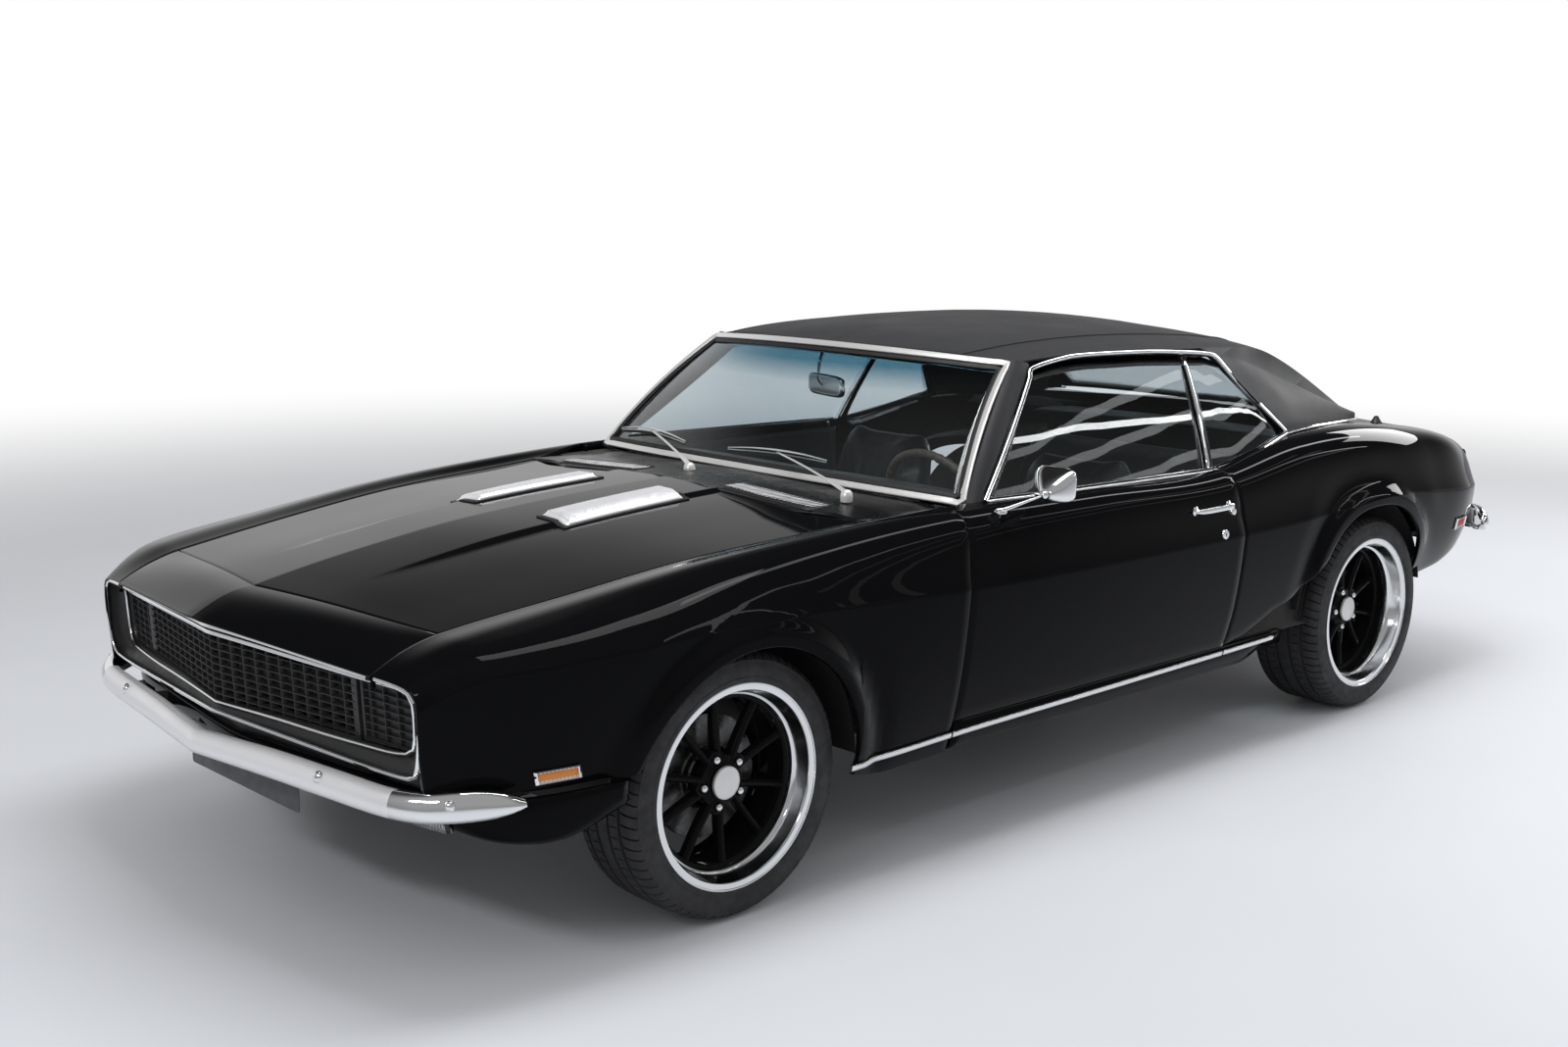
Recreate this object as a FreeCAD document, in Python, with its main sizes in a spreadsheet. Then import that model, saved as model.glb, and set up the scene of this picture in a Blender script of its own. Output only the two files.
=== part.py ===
import FreeCAD, Part
import math
import os
from FreeCAD import Placement, Rotation, Vector

# A two-door muscle car, in millimetres.  +X is forward, +Y is the driver's side (left), +Z is up.
# The origin is on the ground, halfway along the car.  Every driving size is one cell of the sheet
# below, and the body's curves are the short tables after it.  Places along and across the car are
# nominal: fit_x, fit_y and fit_z move them when the wheelbase, the overhangs, the width or the
# roof's height change.

SIZES = {
    # whole car
    "front_axle_x": 1415, "rear_axle_x": -1331, "front_overhang": 930.5, "rear_overhang": 1014.5,
    "body_wide": 1812, "roof_rise": 1295, "belt_rise": 875,
    # gaps and walls
    "panel_gap": 5, "skin_thick": 4, "seat_gap": 0.3, "pin_gap": 0.3, "glass_thick": 5,
    "glass_inset": 12, "slot_spare": 0.5, "roof_wall": 34, "lid_thick": 20,
    # wheels
    "tyre_radius": 320, "rim_radius": 247, "bead_radius": 228, "hub_rise": 320,
    "front_tyre_wide": 225, "rear_tyre_wide": 245, "front_wheel_y": 735, "rear_wheel_y": 748,
    "rim_barrel": 214, "front_rim_wide": 218, "rear_rim_wide": 238, "rim_dish": 62,
    "spoke_count": 5, "spoke_wide": 17, "spoke_thick": 24, "spoke_splay": 9, "spoke_foot": 15,
    "hub_radius": 62, "hub_deep": 62, "disc_radius": 150, "disc_thick": 22, "disc_overlap": 10,
    "spindle_radius": 28, "spindle_reach": 30, "arch_radius": 345, "house_radius": 386,
    # steering
    "kingpin_y": 650, "lower_eye_z": 240, "upper_eye_z": 425,
    "steering_wheel_x": 175, "steering_wheel_y": 375, "steering_wheel_z": 792, "steering_tilt": 24,
    "steering_wheel_radius": 188, "steering_rim_radius": 13, "steering_shaft_radius": 14,
    "column_start": 60, "column_long": 420, "column_radius": 30,
    # doors
    "door_front_x": 672, "door_rear_x": -524, "door_floor_z": 345, "door_inner_y": 750,
    "hinge_x": 600, "hinge_y": 858, "hinge_pin_radius": 6, "hinge_eye_radius": 11,
    "hinge_low_z": 430, "hinge_high_z": 700, "hinge_eye_tall": 30, "hinge_plate_thick": 6,
    # floor, rails and bulkheads
    "floor_z": 262, "floor_thick": 14, "kick_x": -960, "kick_z": 440, "firewall_x": 745,
    "floor_half_wide": 640, "rear_floor_half_wide": 588, "floor_rear_x": -2180,
    "firewall_thick": 14, "firewall_top_z": 852, "tunnel_wide": 300, "tunnel_top_z": 400,
    "rocker_front_x": 1070, "rocker_rear_x": -800, "rocker_shelf_z": 300,
    "rail_y": 400, "rail_wide": 80, "rail_tall": 60, "rail_top_z": 330, "rail_front_x": 1990,
    "radiator_x": 1968, "panel_wall": 12, "pillar_top_z": 858, "pillar_inner_y": 640,
    "pillar_outer_y": 744, "hood_latch_z": 735, "trunk_latch_z": 700,
    # power train
    "engine_back": 455, "engine_long": 640, "engine_wide": 560, "engine_tall": 470, "engine_z": 290,
    "gearbox_long": 620, "gearbox_wide": 250, "shaft_radius": 36,
    "axle_tube_radius": 40, "diff_radius": 118, "diff_nose": 190, "leaf_spring_y": 520,
    "pipe_radius": 27, "pipe_y": 300, "pipe_z": 218,
    "tank_back": 395, "tank_long": 430, "tank_wide": 820, "tank_tall": 140,
    # front end
    "chin_z": 486, "grille_half_wide": 553, "lamp_x": 2106, "lamp_y": 622, "lamp_z": 575,
    "lamp_radius": 62, "lamp_pin_radius": 5, "lamp_door_swing": 100,
    "bumper_tall": 78, "bumper_thick": 40, "bumper_iron_y": 395, "bumper_iron_wide": 40,
    # cabin
    "seat_x": -60, "seat_y": 408, "seat_wide": 500, "seat_thick": 130, "seat_rise": 500,
    "back_tall": 560, "bench_x": -960, "bench_half_wide": 560,
}

# The sizes that the places below were drawn for.
NOMINAL = {"front_axle_x": 1415, "rear_axle_x": -1331, "front_overhang": 930.5,
           "rear_overhang": 1014.5, "body_wide": 1812, "roof_rise": 1295, "belt_rise": 875}

# Body sections, front to rear.  x: place; low/wide/round/shoulder/seam: y and z of the lower edge,
# the widest point, the top of the side, the shoulder and the lid seam; middle_z: on the centre line.
SECTION_COLUMNS = ("x", "low_y", "low_z", "wide_y", "wide_z", "round_y", "round_z",
                   "shoulder_y", "shoulder_z", "seam_y", "seam_z", "middle_z")
SECTIONS = (
    (2200, 745, 462, 765, 680, 742, 712, 690, 724, 605, 724, 771),
    (2050, 815, 458, 840, 698, 800, 738, 715, 752, 610, 749, 800),
    (1750, 865, 430, 893, 712, 845, 772, 735, 794, 640, 790, 836),
    (1415, 875, 400, 905, 715, 862, 800, 750, 838, 662, 830, 862),
    (1000, 862, 340, 900, 705, 868, 818, 765, 868, 690, 855, 885),
    (684, 866, 340, 898, 690, 868, 820, 780, 880, 705, 872, 895),
    (100, 868, 340, 898, 680, 872, 812, 795, 876, 752, 872, 895),
    (-524, 868, 340, 900, 680, 876, 808, 800, 870, 752, 866, 895),
    (-700, 868, 342, 902, 684, 874, 818, 792, 884, 740, 888, 915),
    (-950, 868, 345, 905, 690, 872, 838, 772, 926, 700, 942, 945),
    (-1331, 868, 370, 910, 705, 868, 850, 755, 931, 620, 927, 935),
    (-1700, 850, 380, 900, 690, 850, 832, 740, 894, 610, 895, 915),
    (-2000, 810, 440, 862, 665, 815, 795, 710, 846, 602, 855, 880),
    (-2200, 770, 520, 815, 650, 775, 760, 675, 796, 592, 814, 845),
)

# Roof line on the centre line (x, z), front to rear, and how it changes to each side:
# (y, windscreen_foot_x, windscreen_head_x, drop).
ROOF_LINE = ((350, 1234), (200, 1268), (-100, 1292), (-300, 1295), (-600, 1286), (-850, 1258),
             (-1040, 1218), (-1625, 905))
CROWN = ((0, 645, 0, 0), (300, 634, -22, 12), (500, 612, -75, 36), (625, 590, -135, 62),
         (800, 548, -185, 112))
# Sides of the cabin, front to rear: (x, belt_y, drip_y), at the belt's and the drip rail's heights.
CABIN_SIDES = ((700, 772, 640), (200, 788, 622), (-600, 782, 610), (-1000, 748, 572),
               (-1650, 612, 440))
BELT_Z, DRIP_Z = 870, 1205

# Window openings.  Front and rear: the (y, z) of one lower and one upper corner.  Sides: (x, z).
WINDSCREEN_OPENING = ((700, 905), (566, 1186))
REAR_OPENING = ((545, 948), (452, 1176))
SIDE_OPENING = ((512, 880), (150, 1190), (-470, 1190), (-640, 1182), (-945, 945), (-700, 868),
                (-520, 868))
# The side opening is shared by the door glass, in front, and the small rear pane.
DOOR_GLASS = ((476, 840), (480, 893), (143, 1182), (-452, 1183), (-500, 880), (-500, 840))
DOOR_SLOT = ((503, 838), (503, 950), (-503, 950), (-503, 838))
REAR_PANE = ((-463, 1189.4), (-640, 1181.5), (-944, 945), (-700, 868.5), (-515, 868.5))
REAR_SLOT = ((-505, 866), (-505, 960), (-960, 960), (-950, 942), (-700, 866))

# Bumper blades, middle to tip: (x, y, z, share of the full height).
FRONT_BUMPER = ((2345.5, 0, 413, 1), (2296, 400, 413, 1), (2244, 690, 413, 0.98),
                (2194, 796, 413, 0.95), (2110, 852, 412, 0.9), (2020, 878, 410, 0.62))
REAR_BUMPER = ((-2345.5, 0, 545, 1), (-2335, 400, 545, 1), (-2305, 660, 546, 1),
               (-2270, 792, 548, 0.95), (-2208, 845, 549, 0.9), (-2145, 866, 549, 0.62))

doc = FreeCAD.newDocument("muscle_car")
sheet = doc.addObject("Spreadsheet::Sheet", "Sizes")
for row, (alias, value) in enumerate(SIZES.items(), start=1):
    sheet.set("A%d" % row, alias)
    sheet.set("B%d" % row, str(value))
    sheet.setAlias("B%d" % row, alias)
doc.recompute()

parts = []


# --- reading sizes and placing points ------------------------------------------------------------
def size(alias):
    """Read one driving size from the sheet."""
    return float(sheet.get(alias))


def fit_x(x):
    """Place a nominal x between the axles, or in the front or rear overhang, of the sized car."""
    front, rear = NOMINAL["front_axle_x"], NOMINAL["rear_axle_x"]
    if x > front:
        return size("front_axle_x") + (x - front) * size("front_overhang") / NOMINAL["front_overhang"]
    if x < rear:
        return size("rear_axle_x") + (x - rear) * size("rear_overhang") / NOMINAL["rear_overhang"]
    share = (x - rear) / (front - rear)
    return size("rear_axle_x") + share * (size("front_axle_x") - size("rear_axle_x"))


def fit_y(y):
    """Place a nominal y on the sized car."""
    return y * size("body_wide") / NOMINAL["body_wide"]


def fit_z(z):
    """Heights above the belt follow the roof; those below stay."""
    belt = NOMINAL["belt_rise"]
    if z <= belt:
        return z
    stretch = (size("roof_rise") - size("belt_rise")) / (NOMINAL["roof_rise"] - belt)
    return size("belt_rise") + (z - belt) * stretch


def point(x, y, z):
    """A nominal point on the sized car."""
    return Vector(fit_x(x), fit_y(y), fit_z(z))


def fitted_box(low, high):
    """A box between two nominal corners."""
    return block(point(*low), point(*high))


# --- solids --------------------------------------------------------------------------------------
def add(name, shape, place=None):
    """Keep a finished shape as one named sub-part."""
    feature = doc.addObject("Part::Feature", name)
    feature.Label = name
    feature.Shape = shape
    if place is not None:
        feature.Placement = place
    parts.append(feature)
    return feature


def keep(feature, name):
    """Name a parametric object as one sub-part."""
    feature.Label = name
    parts.append(feature)
    return feature


def loft(rings):
    """A solid through closed rings of points, with straight lines from ring to ring."""
    wires = [Part.makePolygon(ring + [ring[0]]) for ring in rings]
    solid = Part.makeLoft(wires, True, True)
    if solid.Volume < 0:
        solid.reverse()
    return solid


def prism(points, travel):
    """A flat outline pushed along a vector."""
    face = Part.Face(Part.makePolygon(points + [points[0]]))
    return face.extrude(travel)


def block(low, high):
    """A plain box from its lowest to its highest corner."""
    low, high = Vector(*low), Vector(*high)
    return Part.makeBox(high.x - low.x, high.y - low.y, high.z - low.z, low)


def bar(start, end, radius):
    """A round bar between two points."""
    axis = end - start
    return Part.makeCylinder(radius, axis.Length, start, axis)


def post(x, y, low_z, tall, radius):
    """An upright round bar."""
    return Part.makeCylinder(radius, tall, Vector(x, y, low_z))


def cylinder_y(x, z, radius, low_y, high_y):
    """A cylinder along Y, such as a wheel opening."""
    return Part.makeCylinder(radius, high_y - low_y, Vector(x, low_y, z), Vector(0, 1, 0))


def flip(shape):
    """The same shape on the other side of the car."""
    return shape.mirror(Vector(0, 0, 0), Vector(0, 1, 0))


def fuse(*shapes):
    """Join shapes that overlap into one solid."""
    return shapes[0].multiFuse(list(shapes[1:])).removeSplitter()


def both(*shapes):
    """Join shapes with their mirror images into one solid."""
    return fuse(*shapes, *[flip(shape) for shape in shapes])


def group(*shapes):
    """Solids that don't touch, kept together in one sub-part."""
    return Part.makeCompound([solid for shape in shapes for solid in shape.Solids])


def pair(shape):
    """A solid and its mirror image, in one sub-part."""
    return group(shape, flip(shape))


def furthest_piece(shape, direction):
    """Of the pieces a cut left, the one that lies furthest along a direction."""
    return max(shape.Solids, key=lambda solid: solid.CenterOfMass.dot(direction))


def inset(points, depth):
    """Move an open line of (a, b) points to its left by a depth, with mitred corners."""
    moved = []
    for index, here in enumerate(points):
        normals = []
        for other in (index - 1, index + 1):
            if 0 <= other < len(points):
                low, high = sorted((index, other))
                along = (points[high][0] - points[low][0], points[high][1] - points[low][1])
                length = math.hypot(*along)
                normals.append((-along[1] / length, along[0] / length))
        across = (sum(n[0] for n in normals), sum(n[1] for n in normals))
        length = math.hypot(*across)
        unit = (across[0] / length, across[1] / length)
        spread = unit[0] * normals[0][0] + unit[1] * normals[0][1]
        moved.append((here[0] + unit[0] * depth / spread, here[1] + unit[1] * depth / spread))
    return moved


# --- the body's surface --------------------------------------------------------------------------
def between(rows, place, value):
    """A row of a table, worked out between the two rows on either side of a value."""
    for first, second in zip(rows, rows[1:]):
        low, high = sorted((first[place], second[place]))
        if low <= value <= high:
            share = (value - first[place]) / (second[place] - first[place])
            return [a + share * (b - a) for a, b in zip(first, second)]
    raise ValueError("the table doesn't reach %s" % value)


def section(x):
    """The body's half outline at a nominal x, as a dictionary of column to value."""
    return dict(zip(SECTION_COLUMNS, between(SECTIONS, 0, x)))


def outline(x, corners):
    """Chosen corners of the body's outline at x, as (y, z) pairs."""
    here = section(x)
    return [(here[name + "_y"], here[name + "_z"]) for name in corners]


def side_y(x, z):
    """How far out the body's side is at a nominal x, between its lower edge and its widest point."""
    here = section(x)
    share = (z - here["low_z"]) / (here["wide_z"] - here["low_z"])
    return here["low_y"] + share * (here["wide_y"] - here["low_y"])


def stations(front_x, rear_x):
    """The section places from one x back to another, both ends included."""
    return [front_x] + [row[0] for row in SECTIONS if rear_x < row[0] < front_x] + [rear_x]


def thin_rings(lines):
    """Rings of points around a thin wall, from rows of an x and an open (y, z) line."""
    rings = []
    for x, line in lines:
        inner = inset(line, size("skin_thick"))
        rings.append([point(x, y, z) for y, z in line + inner[::-1]])
    return rings


def skin(front_x, rear_x, corners=("low", "wide", "round", "shoulder", "seam"), floor_z=None):
    """A thin outer panel that follows the body from front_x to rear_x."""
    lines = []
    for x in stations(front_x, rear_x):
        line = outline(x, corners)
        if floor_z is not None:
            line[0] = (line[0][0], floor_z)
        lines.append((x, line))
    return loft(thin_rings(lines))


def thick_side(front_x, rear_x, inner_y, lip, floor_z=None):
    """The body's side as a thick wall whose inner face is flat, and its top a little lower there."""
    rings = []
    for x in stations(front_x, rear_x):
        line = outline(x, ("low", "wide", "round", "shoulder"))
        if floor_z is not None:
            line[0] = (line[0][0], floor_z)
        ring = line + [(inner_y, line[-1][1] - lip), (inner_y, line[0][1])]
        rings.append([point(x, y, z) for y, z in ring])
    return loft(rings)


def cross_strip(rows, thick):
    """A panel across the car: each row is y and then its (x, z) line, thickened downwards."""
    rings = []
    for y, line in rows:
        low = [(x, z - thick) for x, z in line]
        rings.append([point(x, y, z) for x, z in line + low[::-1]])
    return loft(rings)


def wheel_opening(axle_x):
    """The round opening in the body side at one axle, on both sides of the car."""
    reach = size("body_wide")
    return cylinder_y(size(axle_x), size("hub_rise"), size("arch_radius"), -reach, reach)


# --- floor, rails and bulkheads ------------------------------------------------------------------
def make_floor_pan():
    """A pressed floor with its kick-up over the axle and the tunnel for the gearbox and shaft."""
    thick, low, high = size("floor_thick"), size("floor_z"), size("kick_z")
    front, rear = fit_x(size("firewall_x")) - size("seat_gap"), fit_x(size("floor_rear_x"))
    kick = fit_x(size("kick_x"))
    slope, shift, over = 90, 8, 1
    lower = [(front, low), (kick, low), (kick - slope, high), (rear, high)]
    upper = [(front, low + thick), (kick + shift, low + thick), (kick + shift - slope, high + thick),
             (rear, high + thick)]
    wide, narrow = fit_y(size("floor_half_wide")), fit_y(size("rear_floor_half_wide"))
    pan = prism([Vector(x, -wide, z) for x, z in lower + upper[::-1]], Vector(0, 2 * wide, 0))
    for side_y_low in (narrow, -wide - over):
        pan = pan.cut(block((rear - over, side_y_low, low - over),
                            (kick - 20, side_y_low + wide - narrow + over, high + 99)))
    half, top = size("tunnel_wide") / 2, size("tunnel_top_z")
    tunnel = block((kick - 60, -half, low), (front, half, top))
    hollow = block((kick - 200, thick - half, low - over), (front + over, half - thick, top - thick))
    return add("floor_pan", fuse(pan, tunnel).cut(hollow))


def make_rocker_panels():
    """The sill boxes under the doors, which also close the floor's sides."""
    rings = []
    low, top = size("floor_z"), size("door_floor_z") - size("panel_gap")
    inner_y, tuck = size("floor_half_wide"), 24
    for x in stations(size("door_front_x"), size("rocker_rear_x")):
        outer_y = section(x)["low_y"]
        ring = [(inner_y, low), (outer_y - tuck, low), (outer_y, size("rocker_shelf_z")),
                (outer_y, top), (inner_y, top)]
        rings.append([point(x, y, z) for y, z in ring])
    return add("rocker_panels", pair(loft(rings)))


def hinge_straps(x, y, outer_y):
    """The plates and pins that carry one door, from the pillar's face out to its hinge axis."""
    straps = []
    half_tall, half_wide = size("hinge_eye_tall") / 2, 8
    thick, running_gap, root = size("hinge_plate_thick"), 1, 20
    for middle_z in (size("hinge_low_z"), size("hinge_high_z")):
        for low_z in (middle_z - half_tall - thick - running_gap, middle_z + half_tall + running_gap):
            straps.append(post(x, y, low_z, thick, size("hinge_eye_radius") - 1))
            straps.append(block((x - half_wide, outer_y - root, low_z), (x + half_wide, y, low_z + thick)))
        pin_z = middle_z - half_tall - thick
        straps.append(post(x, y, pin_z, 2 * (half_tall + thick), size("hinge_pin_radius")))
    return straps


def make_firewall():
    """The wall ahead of the cabin, with the pillars and straps that carry the doors."""
    rear = fit_x(size("firewall_x"))
    front = rear + size("firewall_thick")
    inner_y, outer_y = fit_y(size("pillar_inner_y")), fit_y(size("pillar_outer_y"))
    wall = block((rear, -inner_y, size("floor_z")), (front, inner_y, size("firewall_top_z")))
    half, over = size("tunnel_wide") / 2, 1
    wall = wall.cut(block((rear - over, -half, 200), (front + over, half, size("tunnel_top_z"))))
    hinge_x, pillar_rear = fit_x(size("hinge_x")), 55
    pillar = block((hinge_x - pillar_rear, inner_y, size("door_floor_z")),
                   (front, outer_y, size("pillar_top_z")))
    side = fuse(pillar, *hinge_straps(hinge_x, fit_y(size("hinge_y")), outer_y))
    return add("firewall", fuse(wall, side, flip(side)))


def windscreen_foot(y):
    """How far forward the windscreen's lower edge reaches at a nominal y."""
    return between(CROWN, 0, abs(y))[1]


def cowl_z(x, y):
    """The cowl's height: it falls to the sides and a little to the rear."""
    front_x, rear_x, side_y = 925, 560, 698.0
    front, rear = 889 - 20 * abs(y) / side_y, 885 - 14 * abs(y) / side_y
    return rear + (front - rear) * (x - rear_x) / (front_x - rear_x)


def make_cowl_panel():
    """The panel between the hood and the windscreen, on two feet that stand on the door pillars."""
    front, foot_gap, thick = 925, 8, 10
    rows = []
    for y in (-686, -500, -250, 0, 250, 500, 686):
        rear = windscreen_foot(y) + foot_gap
        rows.append((y, [(front, cowl_z(front, y)), (rear, cowl_z(rear, y))]))
    half, low, high = 20, size("pillar_top_z") + size("seat_gap"), 866
    foot = block((fit_x(690), fit_y(670) - half, low), (fit_x(740), fit_y(670) + half, high))
    return add("cowl_panel", fuse(cross_strip(rows, thick), foot, flip(foot)))


def make_front_frame():
    """The front subframe: rails, crossmembers, control arms, spring towers and ball joints."""
    wide, tall, top = size("rail_wide"), size("rail_tall"), size("rail_top_z")
    rail_y = fit_y(size("rail_y"))
    inner, outer = rail_y - wide / 2, rail_y + wide / 2
    floor = size("floor_z") - size("seat_gap")
    # the rail in three lengths, each (rear_x, front_x, low_z, high_z)
    lengths = ((-200, 1100, floor - tall, floor), (1080, 1180, floor - tall, top),
               (1160, size("rail_front_x"), top - tall, top))
    pieces = [block((fit_x(rear), inner, low), (fit_x(front), outer, high))
              for rear, front, low, high in lengths]
    axle = size("front_axle_x")
    # crossmembers, each (rear_x, front_x, low_z, high_z)
    beams = ((axle - 70, axle + 70, 205, 271), (fit_x(1900), fit_x(1970), 275, 325),
             (fit_x(200), fit_x(260), 250, floor))
    pieces += [block((rear, -outer, low), (front, outer, high)) for rear, front, low, high in beams]
    # control arms, each (low_z, thick, half length at the rail, half length at the ball joint)
    root_y, tip_y = rail_y + 20, fit_y(size("kingpin_y"))
    for low_z, thick, root, tip in ((214, 22, 120, 28), (size("upper_eye_z"), 16, 80, 24)):
        rise = 18 if low_z < size("upper_eye_z") else 0
        ring = [Vector(axle - root, root_y, low_z + rise), Vector(axle - tip, tip_y, low_z),
                Vector(axle + tip, tip_y, low_z), Vector(axle + root, root_y, low_z + rise)]
        pieces.append(prism(ring, Vector(0, 0, thick)))
        pieces.append(post(axle, tip_y, low_z, 16, 28))
    pieces.append(block((axle - 60, inner, 260), (axle + 60, outer, 440)))
    pieces.append(post(axle, tip_y, 225, size("lower_eye_z") - 225, 12))
    return add("front_frame", both(*pieces))


def make_radiator():
    """The radiator in its support panel, with the hood's latch on top."""
    x, wall = fit_x(size("radiator_x")), size("panel_wall")
    low = size("rail_top_z") + size("seat_gap")
    wide, core_half = fit_y(650), 345
    panel = block((x, -wide, low), (x + wall, wide, 690))
    panel = panel.cut(block((x - 1, -330, 370), (x + wall + 1, 330, 660)))
    core = block((x - 55, -core_half, 355), (x - 5, core_half, 675))
    tabs = [block((x - 10, -core_half, tab_z), (x + 2, core_half, tab_z + 20)) for tab_z in (355, 655)]
    latch = block((x - 30, -40, 680), (x + 6, 40, size("hood_latch_z")))
    return add("radiator", fuse(panel, core, latch, *tabs))


# --- outer panels --------------------------------------------------------------------------------
def make_front_fender():
    """A front fender: thin, with its round opening and its lower rear leg."""
    front_x, rear_x = 2142, size("door_front_x") + size("panel_gap")
    low_z, join_z, tuck = size("floor_z"), size("door_floor_z") - 4, 24
    lines = []
    for x in stations(size("rocker_front_x") + 20, rear_x):
        outer_y = section(x)["low_y"]
        lines.append((x, [(outer_y - tuck, low_z), (outer_y, size("rocker_shelf_z")), (outer_y, join_z)]))
    leg = loft(thin_rings(lines))
    return fuse(skin(front_x, rear_x), leg).cut(wheel_opening("front_axle_x"))


def make_door(glass_slot):
    """A door as thick as the real one, with a thin edge ahead of its hinges and two hinge eyes."""
    floor_z, hinge_x = size("door_floor_z"), size("hinge_x")
    thin = skin(size("door_front_x"), hinge_x - 30, ("low", "wide", "round"), floor_z)
    thick = thick_side(hinge_x - 16, size("door_rear_x"), size("door_inner_y"), 4, floor_z)
    x, y, tall = fit_x(size("hinge_x")), fit_y(size("hinge_y")), size("hinge_eye_tall")
    root, half = 24, 10
    eyes, bores = [], []
    for middle_z in (size("hinge_low_z"), size("hinge_high_z")):
        low = middle_z - tall / 2
        eyes.append(post(x, y, low, tall, size("hinge_eye_radius")))
        eyes.append(block((x - root, y - half, low), (x, y + half, low + tall)))
        bores.append(post(x, y, low - 1, tall + 2, size("hinge_pin_radius") + size("pin_gap")))
    return fuse(thick, thin, *eyes).cut(group(*bores)).cut(glass_slot)


def make_quarter_panel(glass_slot):
    """A rear quarter: thin over the wheel and the trunk, a thick wall beside the rear seat."""
    front = size("door_rear_x") - size("panel_gap")
    wall = thick_side(front, -905, 700, 6)
    return fuse(skin(front, -2200), wall).cut(wheel_opening("rear_axle_x")).cut(glass_slot)


def make_wheel_houses():
    """The inner arches over the four wheels."""
    houses = []
    thick, over, radius, z = 3, 1, size("house_radius"), size("hub_rise")
    rail_side = fit_y(size("rail_y")) + size("rail_wide") / 2
    floor_side = fit_y(size("rear_floor_half_wide"))
    # each row: axle, what the inner wall stands against, the arch's lowest z, top of the wall's opening
    for axle, inner_y, foot_z, wall_z in (("front_axle_x", rail_side, 322, 455),
                                          ("rear_axle_x", floor_side, 380, 470)):
        x, low_y, high_y = size(axle), inner_y + size("seat_gap"), fit_y(836)
        tube = cylinder_y(x, z, radius, low_y, high_y)
        tube = tube.cut(cylinder_y(x, z, radius - thick, low_y + thick, high_y + over))
        arch = tube.common(block((x - radius - over, low_y - over, foot_z),
                                 (x + radius + over, high_y + over, z + radius + over)))
        arch = arch.cut(block((x - 230, low_y - over, 300), (x + 230, low_y + thick + over, wall_z)))
        houses.append(pair(arch))
    return add("wheel_houses", group(*houses))


def nose_x(y):
    """The front face of the nose in plan: a shallow V."""
    return 2326 - 118 * abs(y) / 712.0


def support_front():
    """The front face of the radiator support, with the gap that parts seated on it keep."""
    return fit_x(size("radiator_x")) + size("panel_wall") + size("seat_gap")


def make_nose_panel():
    """The panel ahead of the hood that frames the grille."""
    wing_x, wall = 2142.6, size("skin_thick")
    # top of the nose, each row: y, rear_x, rear_z, front_z
    rows = ((0, 2175, 772, 716), (300, 2123, 763, 700), (604, 2070, 745, 680))
    top = [(y, [(rear_x, rear_z), (nose_x(y) - 60, front_z + 26), (nose_x(y), front_z)])
           for y, rear_x, rear_z, front_z in rows]
    wing = [(600, [(wing_x, 727), (nose_x(600) - 40, 704), (nose_x(600), 680)]),
            (730, [(wing_x, 712), (nose_x(730) - 38, 697), (nose_x(730) - 8, 676)])]
    cheek = []
    for z in (466, 560, 690):
        lean = (z - 440) * 0.06
        plan = [(wing_x, 770 + lean), (2190, 748 + lean), (2206, 722), (2198, 716), (2184, 740 + lean),
                (wing_x, 762 + lean)]
        cheek.append([point(x, y, z) for x, y in plan])
    chin = [(y, [(nose_x(y) - 46, size("chin_z")), (nose_x(y) - 6, size("chin_z"))])
            for y in (0, 300, 600, 735)]
    lip = []
    for y in (0, 300, 600, 725):
        top_z = 713 - 36 * min(y, 604) / 604.0
        lip.append((y, [(nose_x(y) - 26, top_z), (nose_x(y) - 6, top_z)]))
    stay = block((support_front(), fit_y(505), size("chin_z") - 14),
                 (fit_x(2200), fit_y(530), size("chin_z")))
    pieces = (cross_strip(top, wall), cross_strip(wing, wall), loft(cheek), cross_strip(chin, 14),
              cross_strip(lip, 18), stay)
    return add("nose_panel", both(*pieces))


def make_turn_lamp():
    """A turn lamp under the front bumper."""
    return fitted_box((2130, 640, 352), (2160, 720, 388))


def make_front_valance(lamp):
    """The apron under the front bumper, open round the turn lamps and the bumper irons."""
    deep, lip_gap = 5, 6
    # each row: x, y, top_z, low_z
    rows = ((2228, 0, 440, 335), (2186, 400, 440, 335), (2128, 730, 440, 345), (2070, 806, 440, 320),
            (1961, 846, 434, 316), (1800, 868, 428, 352))
    rings = []
    for x, y, top, low in rows:
        behind = (x - deep, y - deep * (y > 0))
        rings.append([point(x, y, top - lip_gap), point(x, y, low), point(*behind, low),
                      point(*behind, top - lip_gap)])
    shelf_z, shelf_thick = 428, 4
    shelf = prism([point(2226, 0, shelf_z), point(2126, 728, shelf_z), point(2000, 728, shelf_z),
                   Vector(support_front(), fit_y(600), shelf_z), Vector(support_front(), 0, shelf_z)],
                  Vector(0, 0, shelf_thick))
    gap, box = size("seat_gap"), lamp.BoundBox
    lamp_hole = block((box.XMin - 90, box.YMin - gap, box.ZMin - gap),
                      (box.XMax + 9, box.YMax + gap, box.ZMax + gap))
    half, iron_y = size("bumper_iron_wide") / 2 + size("slot_spare"), fit_y(size("bumper_iron_y"))
    iron_hole = block((fit_x(1980), iron_y - half, 289.5), (fit_x(2280), iron_y + half, 425))
    holes = group(pair(lamp_hole), pair(iron_hole), wheel_opening("front_axle_x"))
    return add("front_valance", both(loft(rings), shelf).cut(holes))


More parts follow.
